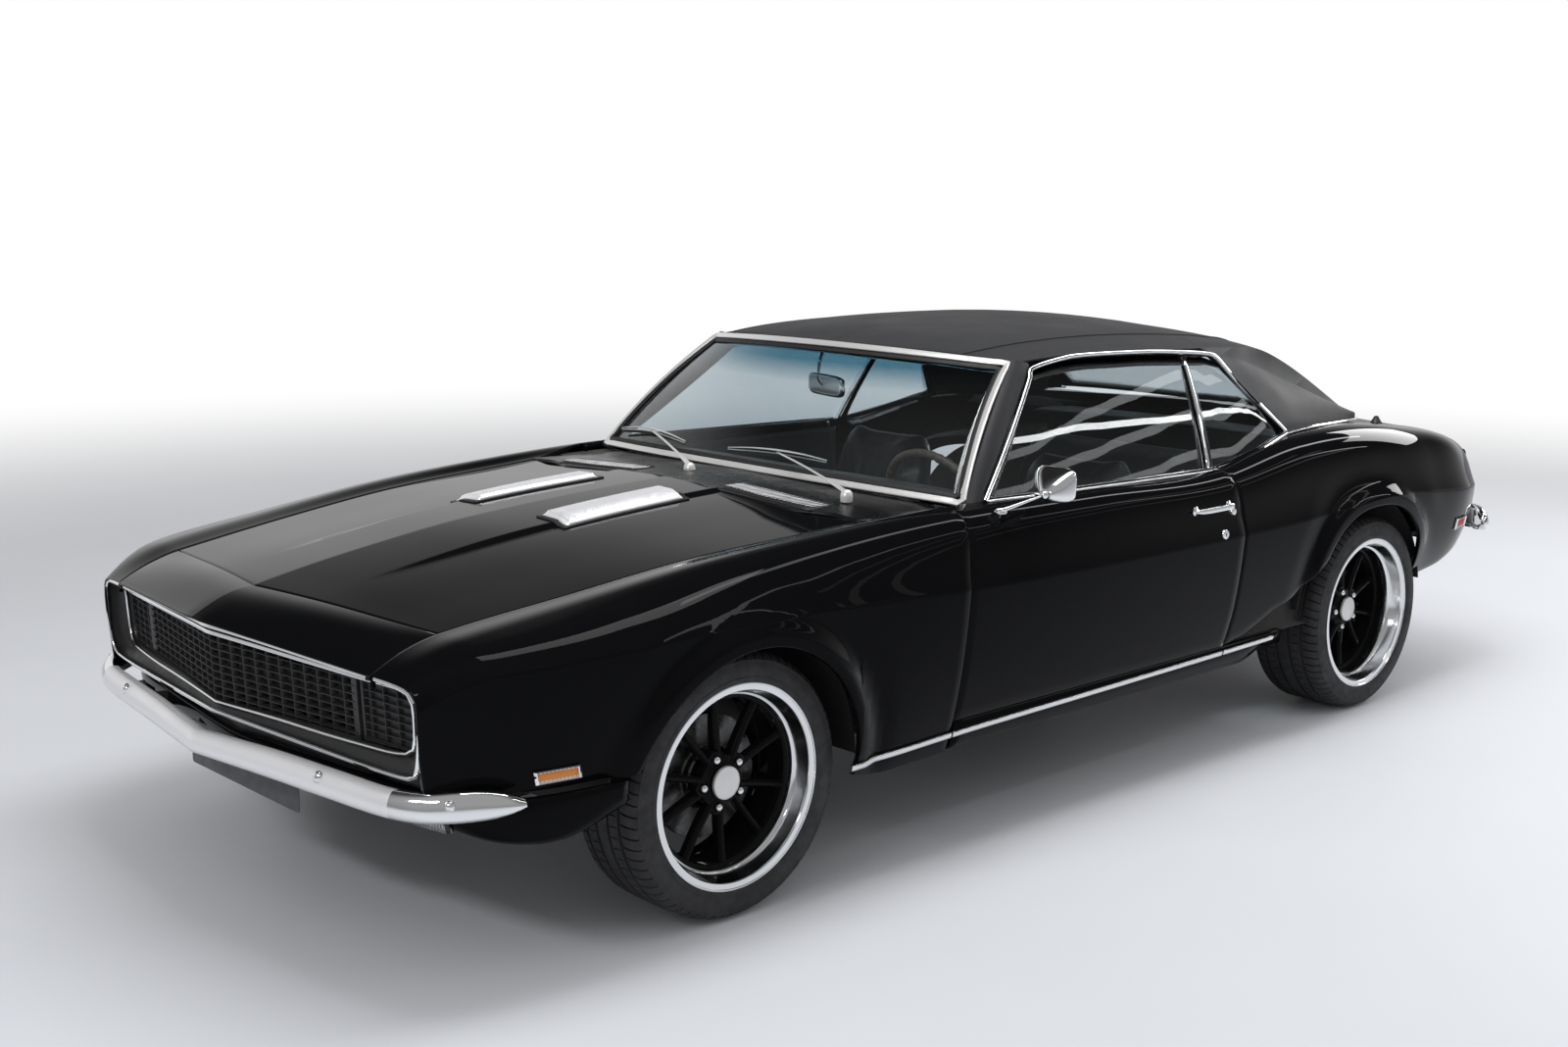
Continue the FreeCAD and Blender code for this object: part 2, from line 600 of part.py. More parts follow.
def blade(rows, outward):
    """A bumper blade: a rounded bar through rows of (x, y, z, share of height)."""
    rings = []
    for index, (x, y, z, share) in enumerate(rows):
        before, after = rows[max(index - 1, 0)], rows[min(index + 1, len(rows) - 1)]
        along = Vector(after[0] - before[0], after[1] - before[1], 0) if index else Vector(0, 1, 0)
        along.normalize()
        across = Vector(along.y, -along.x, 0) * outward
        half, deep = size("bumper_tall") / 2 * share, size("bumper_thick") * share
        # the blade's profile: how far behind its front, and how high, for each corner
        profile = ((-deep, half), (-deep * 0.2, half * 0.72), (0, 0), (-deep * 0.2, -half * 0.72),
                   (-deep, -half))
        rings.append([point(x + back * across.x, y + back * across.y, z + up) for back, up in profile])
    return loft(rings)


def make_front_bumper():
    """The V-shaped front bumper blade with its two irons."""
    inner = fit_y(size("bumper_iron_y")) - size("bumper_iron_wide") / 2
    outer, front_x, low_z = inner + size("bumper_iron_wide"), fit_x(2272), 290
    iron = block((fit_x(size("rail_front_x")) + size("seat_gap"), inner, low_z), (front_x, outer, low_z + 28))
    riser = block((fit_x(2240), inner, low_z), (front_x, outer, 420))
    return add("front_bumper", both(blade(FRONT_BUMPER, 1), iron, riser))


def make_rear_bumper(tail):
    """The rear bumper blade with two irons that end at the tail panel."""
    iron = block((fit_x(-2312), 380, 530), (fit_x(-2225), 430, 560)).cut(tail)
    iron = furthest_piece(iron, Vector(-1, 0, 0))
    iron.translate(Vector(-2 * size("seat_gap"), 0, 0))
    return add("rear_bumper", both(blade(REAR_BUMPER, -1), iron))


def make_tail_panel():
    """The panel between the quarters behind the trunk, and the apron under the bumper."""
    rings = []
    for y, x in ((0, -2292), (350, -2284), (600, -2266), (766, -2232)):
        drop = 45 * (y / 770.0) ** 2
        # the panel's outline at this place: how far ahead of x, and its height
        profile = ((22, 812 - drop), (0, 800 - drop), (-4, 700 - drop / 2), (14, 590), (60, 430), (66, 430),
                   (20, 590), (2, 700 - drop / 2), (6, 796 - drop), (22, 806 - drop))
        rings.append([point(x + ahead, y, z) for ahead, z in profile])
    ledge = block((fit_x(-2240), 0, 442), (fit_x(size("floor_rear_x")) - size("seat_gap"), fit_y(560), 452))
    striker = block((fit_x(-2292), 0, 680), (fit_x(-2176), 30, size("trunk_latch_z")))
    return add("tail_panel", both(loft(rings), ledge, striker))


def make_rear_deck_panel():
    """The strip between the rear window and the trunk lid, with the shelf that it stands on."""
    rear_x, side_y, wide = -1622, 604.0, fit_y(560)
    rows = [(y, [(-1560 - 10 * share, 930 - 14 * y / side_y), (rear_x, 920 - 16 * y / side_y)])
            for y, share in ((0, 1.0), (300, 0.98), (604, 0.9))]
    tray = block((fit_x(rear_x), 0, 852 + size("seat_gap")), (fit_x(-1556), wide, 868))
    leg = block((fit_x(-1590), 0, 866), (fit_x(-1580), wide, 915))
    return add("rear_deck_panel", both(cross_strip(rows, 8), tray, leg))


def lid(front_x, rear_x):
    """A crowned lid between the two seams."""
    rings = []
    for x in stations(front_x, rear_x):
        here = section(x)
        edge, edge_z, middle = here["seam_y"] - size("panel_gap"), here["seam_z"], here["middle_z"]
        half = [(edge, edge_z), (edge * 0.5, edge_z + (middle - edge_z) * 0.72), (0, middle)]
        upper = half + [(-y, z) for y, z in half[-2::-1]]
        lower = [(y * 0.985, z - size("lid_thick")) for y, z in upper]
        rings.append([point(x, y, z) for y, z in upper + lower[::-1]])
    return loft(rings)


def make_hood():
    """The hood with its pointed front edge and its latch."""
    tip_x, corner_x, corner_y, ahead, aside = 2169, 2064, 612, 2400, 800
    ring = [(tip_x, 0), (corner_x, corner_y), (corner_x, aside), (ahead, aside), (ahead, 0)]
    corner = prism([point(x, y, 500) for x, y in ring], Vector(0, 0, 600))
    x = fit_x(size("radiator_x"))
    latch = block((x - 30, -30, size("hood_latch_z") + size("seat_gap")), (x + 6, 30, 800))
    return add("hood", fuse(lid(2190, 930).cut(both(corner)), latch))


def make_trunk_lid():
    """The trunk lid with its latch."""
    latch = block((fit_x(-2196), -26, size("trunk_latch_z") + size("seat_gap")), (fit_x(-2178), 26, 832))
    return add("trunk_lid", fuse(lid(-1627, -2199), latch))


# --- cabin ---------------------------------------------------------------------------------------
def roof_profile(depth, row):
    """The cabin's outline in side view at one row of the crown table, moved inwards by a depth."""
    y, foot_x, head_shift, drop = row
    shifts = [head_shift, head_shift * 0.55] + [0] * (len(ROOF_LINE) - 2)
    roof = [(x + shift, z - drop) for (x, z), shift in zip(ROOF_LINE, shifts)]
    tail_x, tail_z = ROOF_LINE[-1]
    roof[-1] = (tail_x + 80 * (y / 800.0) ** 2, tail_z)
    line = inset([(foot_x, 872)] + roof, depth) if depth else [(foot_x, 872)] + roof
    return line + [(line[-1][0], 790), (line[0][0], 790)]


def cabin(depth):
    """The closed shape of the cabin, moved inwards by a depth."""
    rings = [[point(x, -row[0], z) for x, z in roof_profile(depth, row)] for row in CROWN[:0:-1]]
    rings += [[point(x, row[0], z) for x, z in roof_profile(depth, row)] for row in CROWN]
    low_z, high_z = 775, 1325
    sides = []
    for x, belt_y, drip_y in CABIN_SIDES:
        lean = (belt_y - drip_y) / (DRIP_Z - BELT_Z)
        low_y = belt_y + lean * (BELT_Z - low_z) - depth
        high_y = drip_y - lean * (high_z - DRIP_Z) - depth
        sides.append([point(x, low_y, low_z), point(x, high_y, high_z), point(x, -high_y, high_z),
                      point(x, -low_y, low_z)])
    return loft(rings).common(loft(sides))


def pane_between(near, far):
    """A thin pane that follows the cabin, between two depths."""
    return cabin(near).cut(cabin(far))


def cross_window(corners, near_x, far_x, spare):
    """A block across the car through a front or rear window opening, smaller by a spare."""
    (low_y, low_z), (high_y, high_z) = corners
    ring = [point(near_x, low_y - spare, low_z + spare), point(near_x, high_y - spare, high_z - spare),
            point(near_x, spare - high_y, high_z - spare), point(near_x, spare - low_y, low_z + spare)]
    return prism(ring, Vector(fit_x(far_x) - fit_x(near_x), 0, 0))


def side_window(corners):
    """A block through one side of the cabin with an outline of (x, z) corners."""
    inner_y, outer_y = 380, 900
    return prism([point(x, inner_y, z) for x, z in corners], Vector(0, fit_y(outer_y) - fit_y(inner_y), 0))


def make_roof():
    """The roof with its pillars and sail panels, hollow, with every window cut."""
    hollow = cabin(0).cut(cabin(size("roof_wall")))
    hollow = hollow.cut(cross_window(WINDSCREEN_OPENING, 40, 800, 0))
    hollow = hollow.cut(cross_window(REAR_OPENING, -1700, -1000, 0)).cut(pair(side_window(SIDE_OPENING)))
    # its feet stop just above the body: the pillar tops in front, the quarters behind
    foot_z = size("pillar_top_z") + size("seat_gap")
    foot = hollow.common(block((fit_x(515), fit_y(size("pillar_inner_y")), foot_z),
                               (fit_x(600), fit_y(size("pillar_outer_y")), 893)))
    under = ((800, 700), (800, 891), (480, 891), (470, 900), (-700, 900), (-940, 947), (-1330, 947),
             (-1540, 934), (-1700, 934), (-1700, 700))
    reach = 900
    cut_away = prism([point(x, -reach, z) for x, z in under], Vector(0, 2 * fit_y(reach), 0))
    return add("roof", fuse(hollow.cut(cut_away), foot, flip(foot)))


def make_windows():
    """The fixed panes: windscreen, rear window and the two small side panes."""
    near, gap = size("glass_inset"), size("seat_gap")
    pane = pane_between(near, near + size("glass_thick"))
    add("windshield", pane.common(cross_window(WINDSCREEN_OPENING, 45, 800, gap)))
    add("rear_window", pane.common(cross_window(REAR_OPENING, -1700, -1005, gap)))
    add("quarter_windows", pair(pane.common(side_window(REAR_PANE))))
    return pane


# --- wheels and steering -------------------------------------------------------------------------
WHEELS = (("front_left", "front", 1), ("front_right", "front", -1), ("rear_left", "rear", 1),
          ("rear_right", "rear", -1))


def origin_plane(body, role):
    """One of a body's own origin planes."""
    return [feature for feature in body.Origin.OriginFeatures if feature.Role == role][0]


def closed_sketch(body, name, role, corners):
    """A sketch of a closed straight-sided outline on one of the body's origin planes."""
    sketch = body.newObject("Sketcher::SketchObject", name)
    sketch.AttachmentSupport = [(origin_plane(body, role), "")]
    sketch.MapMode = "FlatFace"
    ends = corners[1:] + corners[:1]
    sketch.addGeometry([Part.LineSegment(Vector(a[0], a[1], 0), Vector(b[0], b[1], 0))
                        for a, b in zip(corners, ends)], False)
    return sketch


def spun_body(name, profile):
    """A PartDesign body turned about its own Y axis from (radius, width) corners."""
    body = doc.addObject("PartDesign::Body", name)
    sketch = closed_sketch(body, name + "_profile", "XY_Plane", profile)
    turn = body.newObject("PartDesign::Revolution", name + "_turn")
    turn.Profile = sketch
    turn.ReferenceAxis = (sketch, ["V_Axis"])
    turn.Angle = 360
    doc.recompute()
    return body


def wheel_place(end, side):
    """Where a wheel stands, with its outer face away from the car."""
    spot = Vector(size(end + "_axle_x"), side * fit_y(size(end + "_wheel_y")), size("hub_rise"))
    turn = Rotation() if side > 0 else Rotation(Vector(0, 0, 1), 180)
    return Placement(spot, turn)


def make_tyre(name, end, side):
    """A low tyre with square shoulders, standing on its bead seats."""
    half, bead, top = size(end + "_tyre_wide") / 2, size("bead_radius"), size("tyre_radius")
    middle, lip = (bead + top) / 2, size("rim_radius") + 2
    outside = [(bead, half - 22), (lip, half - 12), (middle, half), (top - 16, half - 5),
               (top - 3, half - 18), (top, half - 40)]
    inside = [(top - 12, half - 42), (middle + 4, half - 12), (bead + 10, half - 20)]
    other_side = [(r, -w) for r, w in outside[::-1]] + [(r, -w) for r, w in inside[::-1]]
    profile = outside + other_side + inside
    body = keep(spun_body("tyre_" + name, profile), "tyre_" + name)
    body.Placement = wheel_place(end, side)
    return body


def barrel_profile(end):
    """The stepped section of a wheel's barrel, with its dished outer lip, as (radius, width)."""
    half, seat = size(end + "_rim_wide") / 2, size(end + "_tyre_wide") / 2 - 26
    lip, bead = size("rim_radius"), size("bead_radius") - size("seat_gap")
    barrel, dish = size("rim_barrel"), size("rim_dish")
    return [(lip, half), (lip, half - 6), (bead, half - 14), (bead, seat - 30), (barrel + 6, seat - 44),
            (barrel + 6, 44 - seat), (bead, 30 - seat), (bead, 14 - half), (lip, 6 - half), (lip, -half),
            (lip - 6, -half), (barrel, 26 - half), (barrel, half - dish + 4), (bead - 8, half - dish + 9),
            (bead - 6, half - 14), (lip - 6, half)]


def make_spokes(face_y):
    """The wheel's twin spokes, from the hub to the barrel."""
    spokes = []
    wide, thick, root = size("spoke_wide"), size("spoke_thick"), size("hub_radius") - 24
    tip = size("rim_barrel") + 4
    for index in range(int(size("spoke_count"))):
        for twin in (-1, 1):
            arm = block((-wide / 2, face_y - thick, root), (wide / 2, face_y, tip))
            arm.rotate(Vector(0, 0, root), Vector(0, 1, 0), size("spoke_splay") * twin)
            arm.translate(Vector(size("spoke_foot") * twin, 0, 0))
            arm.rotate(Vector(0, 0, 0), Vector(0, 1, 0), 360.0 / size("spoke_count") * index)
            spokes.append(arm)
    return spokes


def spoke_face(end):
    """The outer face of the spokes, measured from the wheel's middle."""
    return size(end + "_rim_wide") / 2 - size("rim_dish")


def disc_face(end):
    """The inner face of the brake disc, measured from the wheel's middle."""
    return spoke_face(end) - size("hub_deep") - size("disc_overlap")


def make_rim(name, end, side):
    """A wheel: a stepped barrel, five pairs of spokes and a hub with its brake disc."""
    face_y, inner_y = spoke_face(end), disc_face(end)
    profile = barrel_profile(end)
    ring = Part.Face(Part.makePolygon([Vector(r, w, 0) for r, w in profile + profile[:1]]))
    barrel = ring.revolve(Vector(0, 0, 0), Vector(0, 1, 0), 360)
    hub = cylinder_y(0, 0, size("hub_radius"), face_y - size("hub_deep"), face_y)
    disc = cylinder_y(0, 0, size("disc_radius"), inner_y, inner_y + size("disc_thick"))
    bore = cylinder_y(0, 0, size("spindle_radius") + size("pin_gap"), inner_y - 1, inner_y + 45)
    wheel = fuse(barrel, hub, disc, *make_spokes(face_y)).cut(bore)
    return add("rim_" + name, wheel, wheel_place(end, side))


def make_knuckle():
    """A front upright: its spindle enters the wheel's hub and its two eyes turn on the arms."""
    x, z, gap = size("front_axle_x"), size("hub_rise"), size("seat_gap")
    face_y = fit_y(size("front_wheel_y")) + disc_face("front") - 6
    spindle = cylinder_y(x, z, size("spindle_radius"), face_y, face_y + 40)
    plate = block((x - 34, face_y - 20, z - 70), (x + 34, face_y, z + 80))
    pieces = [spindle, plate]
    eye_y, half = fit_y(size("kingpin_y")) - 16, 20
    for low_z, high_z in ((size("lower_eye_z") + gap, size("lower_eye_z") + 24),
                          (size("upper_eye_z") - 30, size("upper_eye_z") - gap)):
        pieces.append(block((x - half, eye_y, low_z), (x + half, face_y - 4, high_z)))
    return fuse(*pieces)


# --- power train ---------------------------------------------------------------------------------
def make_rear_axle():
    """The live axle with its differential, leaf springs and spindles."""
    x, z, radius = size("rear_axle_x"), size("hub_rise"), size("axle_tube_radius")
    hub_face, reach = fit_y(size("rear_wheel_y")) + disc_face("rear"), size("spindle_reach")
    pieces = [cylinder_y(x, z, radius, 6 - hub_face, hub_face - 6),
              cylinder_y(x, z, size("spindle_radius"), -hub_face - reach, hub_face + reach),
              Part.makeSphere(size("diff_radius"), Vector(x, 0, z)),
              bar(Vector(x, 0, z), Vector(x + size("diff_nose"), 0, z), 50)]
    y, low, half, pad = fit_y(size("leaf_spring_y")), z - radius - 16, 30, 60
    rear_eye, front_eye, leaf = 640, 300, 18
    under = [(x + front_eye, 236), (x + pad, low - 14), (x - pad, low - 14), (x - rear_eye, 374)]
    above = [(a, b + leaf) for a, b in under[::-1]]
    pieces.append(prism([Vector(a, y - half, b) for a, b in above + under], Vector(0, 2 * half, 0)))
    pieces.append(block((x - pad, y - 40, low), (x + pad, y + 40, z)))
    # the spring's two eyes, each (x, low_z, high_z)
    eyes = ((x - rear_eye, 374, size("kick_z")), (x + front_eye - 10, 236, size("floor_z")))
    for eye_x, low_z, high_z in eyes:
        pieces.append(block((eye_x - 8, y - half, low_z), (eye_x + 20, y + half, high_z - size("seat_gap"))))
    return add("rear_axle", both(*pieces))


def make_driveline():
    """The gearbox and the propeller shaft."""
    rear, z = size("front_axle_x") - size("engine_back"), size("hub_rise")
    wide, tail, bell_long = size("gearbox_wide") / 2, rear - size("gearbox_long"), 200
    bell = block((rear - bell_long, -wide, z - 90), (rear, wide, z + 60))
    box = block((tail, -wide * 0.62, z - 80), (rear - bell_long + 10, wide * 0.62, z + 50))
    end = size("rear_axle_x") + size("diff_nose") + size("seat_gap")
    shaft = bar(Vector(tail + 10, 0, z), Vector(end, 0, z), size("shaft_radius"))
    return add("driveline", fuse(bell, box, shaft))


def bound_box(name, bindings):
    """A parametric box whose sizes and place are bound to cells of the sheet."""
    box = doc.addObject("Part::Box", name + "_block")
    for path, expression in bindings.items():
        box.setExpression(path, expression)
    return keep(box, name)


def make_engine():
    """The engine, as one plain block."""
    return bound_box("engine", {
        "Length": "Sizes.engine_long - Sizes.seat_gap",
        "Width": "Sizes.engine_wide",
        "Height": "Sizes.engine_tall",
        "Placement.Base.x": "Sizes.front_axle_x - Sizes.engine_back + Sizes.seat_gap",
        "Placement.Base.y": "-Sizes.engine_wide / 2",
        "Placement.Base.z": "Sizes.engine_z"})


def make_fuel_tank():
    """The flat fuel tank under the trunk floor."""
    return bound_box("fuel_tank", {
        "Length": "Sizes.tank_long",
        "Width": "Sizes.tank_wide",
        "Height": "Sizes.tank_tall",
        "Placement.Base.x": "Sizes.rear_axle_x - Sizes.tank_back - Sizes.tank_long",
        "Placement.Base.y": "-Sizes.tank_wide / 2",
        "Placement.Base.z": "Sizes.kick_z - Sizes.tank_tall - Sizes.seat_gap"})


def make_exhaust():
    """Two pipes with silencers, from the engine to the tail, on their hangers."""
    y, z, gap = size("pipe_y"), size("pipe_z"), size("seat_gap")
    front, rear = size("front_axle_x") - size("engine_back") + 40, fit_x(-2270)
    pieces = [bar(Vector(front, y, z), Vector(rear, y, z), size("pipe_radius")),
              block((fit_x(-880), y - 75, z - 45), (fit_x(-380), y + 75, z + 32))]
    # hangers, each (rear_x, front_x, top_z)
    hangers = ((-2176, -2166, size("kick_z") - gap), (-700, -685, size("floor_z") - gap))
    for hanger_rear, hanger_front, top in hangers:
        pieces.append(block((fit_x(hanger_rear), y - 8, z), (fit_x(hanger_front), y + 8, top)))
    return add("exhaust", pair(fuse(*pieces)))


# --- lamps, grille and trim ----------------------------------------------------------------------
def make_headlamps():
    """The two headlamps, on arms from the radiator support, with the pins of their doors."""
    x, y, z = fit_x(size("lamp_x")), fit_y(size("lamp_y")), size("lamp_z")
    lamp = bar(Vector(x - 60, y, z), Vector(x + 52, y, z), size("lamp_radius"))
    arm = block((support_front(), y - 20, z - 15), (x - 55, y + 20, z + 15))
    pins = [post(x, y, low_z, 24, size("lamp_pin_radius")) for low_z in (z - 77, z + 53)]
    return add("headlamps", pair(fuse(lamp, arm, *pins)))


def make_lamp_door():
    """A headlamp cover that swings about an upright axis behind the grille."""
    radius, z = size("lamp_door_swing"), size("lamp_z")
    lean = math.degrees(math.atan2(118, 712))
    panel = block((radius - 10, -72, z - 76), (radius, 72, z + 76))
    arms = [block((-10, -16, low_z), (radius - 8, 16, low_z + 6)) for low_z in (z - 75, z + 69)]
    cover = fuse(panel, *arms).cut(post(0, 0, z - 95, 200, size("lamp_pin_radius") + size("pin_gap")))
    cover.rotate(Vector(0, 0, 0), Vector(0, 0, 1), lean)
    cover.translate(Vector(fit_x(size("lamp_x")), fit_y(size("lamp_y")), 0))
    return cover


def make_grille():
    """The grille behind the nose panel: a V-shaped slab with its lower edge on the chin."""
    rings = []
    low, wide, thick = size("chin_z") + size("seat_gap"), size("grille_half_wide"), 9
    for y in (-wide, 0, wide):
        x, top = nose_x(y) - 12, 680 - 28 * abs(y) / wide
        rings.append([point(x, y, low), point(x, y, top), point(x - thick, y, top), point(x - thick, y, low)])
    return add("grille", loft(rings))


def make_side_lamps(turn_lamp, fender, quarter):
    """The turn lamps under the front bumper and the side markers, which sit on the panels."""
    lamps = [pair(turn_lamp)]
    for x, long, z, panel in ((1937, 106, 470, fender), (-1872, 104, 564, quarter)):
        y, half = side_y(x, z), 14
        box = block((fit_x(x) - long / 2, fit_y(y) - 24, z - half),
                    (fit_x(x) + long / 2, fit_y(y) + 16, z + half))
        lamp = furthest_piece(box.cut(panel), Vector(0, 1, 0))
        lamp.translate(Vector(0, size("seat_gap"), 0))
        lamps.append(pair(lamp))
    return add("side_lamps", group(*lamps))


def make_wipers():
    """Two wiper arms with their blades, resting low on the windscreen."""
    wipers, tall = [], 16
    # each row: pivot x and y, blade centre, and how far the blade runs to each side along x, y and z
    for pivot_x, pivot_y, middle, run in ((790, -70, (580, -520, 948), (-20, 170, -2)),
                                          (775, 541, (612, 85, 949), (-6, 185, 0))):
        foot = point(pivot_x, pivot_y, cowl_z(pivot_x, pivot_y) + size("seat_gap"))
        elbow, tip = foot + Vector(0, 0, tall), point(*middle)
        wipers.append(fuse(post(foot.x, foot.y, foot.z, tall + 4, 9), bar(elbow, tip, 4),
                           bar(tip - Vector(*run), tip + Vector(*run), 5)))
    return add("wipers", group(*wipers))


def make_door_mirror(door):
    """The cone-shaped mirror on the driver's door."""
    gap = size("seat_gap")
    head = point(440, 880, 0) + Vector(0, 0, 955)
    stalk = bar(point(440, 800, 868), head, 9)
    cup = Part.makeCone(20, 56, 72, head + Vector(44, 0, 0), Vector(-1, 0, 0))
    mirror = furthest_piece(fuse(stalk, cup).cut(door), Vector(0, 0, 1))
    mirror.translate(Vector(0, gap, gap))
    return add("door_mirror", mirror)


def make_cabin_mirror():
    """The mirror inside the windscreen, hung from the roof."""
    glass = block((fit_x(215), -115, fit_z(1112)), (fit_x(235), 115, fit_z(1165)))
    return add("cabin_mirror", fuse(glass, bar(point(232, 0, 1150), point(262, 0, 1217.6), 6)))


def make_number_plates(tail):
    """A blank plate at each end, each on a small bracket."""
    front_x, rear_x, thick = fit_x(2262), fit_x(-2302), 4
    front = block((front_x, -260, 312), (front_x + thick, 260, 368))
    bracket = block((fit_x(2228) + size("seat_gap"), -8, 345), (front_x + 1, 8, 365))
    rear = block((rear_x, -160, 396), (rear_x + thick, 160, 492))
    stay = block((rear_x + thick - 1, -14, 450), (fit_x(-2225), 14, 480)).cut(tail)
    stay = furthest_piece(stay, Vector(-1, 0, 0))
    stay.translate(Vector(-2 * size("seat_gap"), 0, 0))
    return add("number_plates", group(fuse(front, bracket), fuse(rear, stay)))


def make_tail_lamps(tail):
    """A pair of lamps on the tail panel."""
    low_z, tall = 640, 90
    ring = [point(x, y, low_z) for x, y in ((-2305, 330), (-2290, 600), (-2262, 600), (-2274, 330))]
    lamp = furthest_piece(prism(ring, Vector(0, 0, tall)).cut(tail), Vector(-1, 0, 0))
    lamp.translate(Vector(-size("seat_gap"), 0, 0))
    return add("tail_lamps", pair(lamp))


# --- inside the cabin ----------------------------------------------------------------------------
def steering_axis():
    """Down the steering column, away from the driver."""
    tilt = math.radians(size("steering_tilt"))
    return Vector(math.cos(tilt), 0, -math.sin(tilt))


def steering_centre():
    """The middle of the steering wheel."""
    return Vector(fit_x(size("steering_wheel_x")), fit_y(size("steering_wheel_y")), size("steering_wheel_z"))


def make_dashboard():
    """The dashboard with the steering column under it."""
    front_x = size("firewall_x") - size("seat_gap")
    ring = [(front_x, 640), (front_x, 846), (640, 852), (380, 846), (330, 800), (345, 700), (430, 640)]
    dash = prism([point(x, -615, z) for x, z in ring], Vector(0, fit_y(1230), 0))
    axis = steering_axis()
    start = steering_centre() + axis * size("column_start")
    column = bar(start, start + axis * size("column_long"), size("column_radius"))
    socket = bar(start - axis, start + axis * 62, size("steering_shaft_radius") + size("pin_gap"))
    return add("dashboard", fuse(dash, column).cut(socket))


def make_steering_wheel():
    """The steering wheel: a round rim, three spokes, a hub and its shaft."""
    radius = size("steering_wheel_radius")
    rim = Part.makeTorus(radius, size("steering_rim_radius"))
    pieces = [post(0, 0, -22, 26, 44), post(0, 0, 0, 118, size("steering_shaft_radius"))]
    for angle in (0, 180, 90):
        spoke = block((30, -14, -8), (radius - 4, 14, -1))
        spoke.rotate(Vector(0, 0, 0), Vector(0, 0, 1), angle)
        pieces.append(spoke)
    turn = Rotation(Vector(0, 0, 1), steering_axis())
    return add("steering_wheel", fuse(rim, *pieces), Placement(steering_centre(), turn))


def make_front_seats():
    """Two bucket seats on their runners, each with its cushion and back in one leaning solid."""
    x, top, thick, back = fit_x(size("seat_x")), size("seat_rise"), size("seat_thick"), size("back_tall")
    wide, floor = size("seat_wide"), size("floor_z") + size("floor_thick") + size("seat_gap")
    line = [(250, top - thick), (262, top - 20), (230, top), (-190, top - 40), (-330, top + back - 120),
            (-350, top + back - 90), (-420, top + back - 110), (-330, top - thick - 20)]
    middle_y = fit_y(size("seat_y"))
    seat = prism([Vector(x + ahead, middle_y - wide / 2, z) for ahead, z in line], Vector(0, wide, 0))
    runners = [block((x - 240, y - 15, floor), (x + 200, y + 15, top - thick + 6))
               for y in (middle_y - 170, middle_y + 170)]
    return add("front_seats", pair(fuse(seat, *runners)))


def make_rear_seat():
    """The rear bench, over the axle hump."""
    x, top, wide = fit_x(size("bench_x")), size("seat_rise") - 30, fit_y(size("bench_half_wide"))
    floor = size("floor_z") + size("floor_thick") + size("seat_gap")
    step = size("kick_z") + size("floor_thick") + 2
    line = [(260, floor), (260, top + 20), (235, top + 45), (-170, top + 25), (-400, 838), (-470, 838),
            (-290, step), (-65, step), (25, floor)]
    bench = prism([Vector(x + ahead, -wide, z) for ahead, z in line], Vector(0, 2 * wide, 0))
    half = size("tunnel_wide") / 2 + 2
    tunnel = block((x - 100, -half, floor - 1), (x + 300, half, size("tunnel_top_z") + 2))
    return add("rear_seat", bench.cut(tunnel))


def make_rear_bulkhead():
    """The shelf under the rear window and the wall behind the rear seat."""
    wide, shelf_z, thick = fit_y(580), 842, 10
    foot = size("kick_z") + size("floor_thick") + size("seat_gap")
    shelf = block((fit_x(-1580), -wide, shelf_z), (fit_x(-1345), wide, shelf_z + thick))
    wall = block((fit_x(-1452), -wide, foot), (fit_x(-1444), wide, shelf_z + 6))
    return add("rear_bulkhead", fuse(shelf, wall))


def make_parts():
    """Build every sub-part, from the floor up."""
    for make in (make_floor_pan, make_rocker_panels, make_firewall, make_cowl_panel, make_front_frame,
                 make_radiator, make_nose_panel, make_front_bumper, make_rear_deck_panel,
                 make_wheel_houses, make_hood, make_trunk_lid, make_roof, make_engine, make_driveline,
                 make_rear_axle, make_fuel_tank, make_exhaust, make_grille, make_headlamps,
                 make_dashboard, make_steering_wheel, make_front_seats, make_rear_seat,
                 make_rear_bulkhead, make_cabin_mirror, make_wipers):
        make()
    turn_lamp = make_turn_lamp()
    make_front_valance(turn_lamp)
    tail = make_tail_panel().Shape
    for make in (make_rear_bumper, make_number_plates, make_tail_lamps):
        make(tail)

    pane = make_windows()
    spare = size("slot_spare")
    slot_pane = pane_between(size("glass_inset") - spare, size("glass_inset") + size("glass_thick") + spare)
    fender = make_front_fender()
    quarter = make_quarter_panel(slot_pane.common(side_window(REAR_SLOT)))
    door = make_door(slot_pane.common(side_window(DOOR_SLOT)))
    sided = (("front_fender", fender), ("quarter_panel", quarter), ("door", door),
             ("door_glass", pane.common(side_window(DOOR_GLASS))),
             ("headlamp_door", make_lamp_door()), ("knuckle", make_knuckle()))
    for name, shape in sided:
        add(name + "_left", shape)
        add(name + "_right", flip(shape))
    make_door_mirror(door)
    make_side_lamps(turn_lamp, fender, quarter)
    for name, end, side in WHEELS:
        make_tyre(name, end, side)
        make_rim(name, end, side)


def find_problems():
    """List every object whose state or shape isn't sound."""
    problems = ["%s: %s" % (feature.Name, feature.State) for feature in doc.Objects
                if "Invalid" in feature.State or "Error" in feature.State]
    for feature in parts:
        shape = feature.Shape
        if shape.isNull() or not shape.isValid() or not shape.Solids:
            problems.append("%s: bad shape" % feature.Label)
    return problems


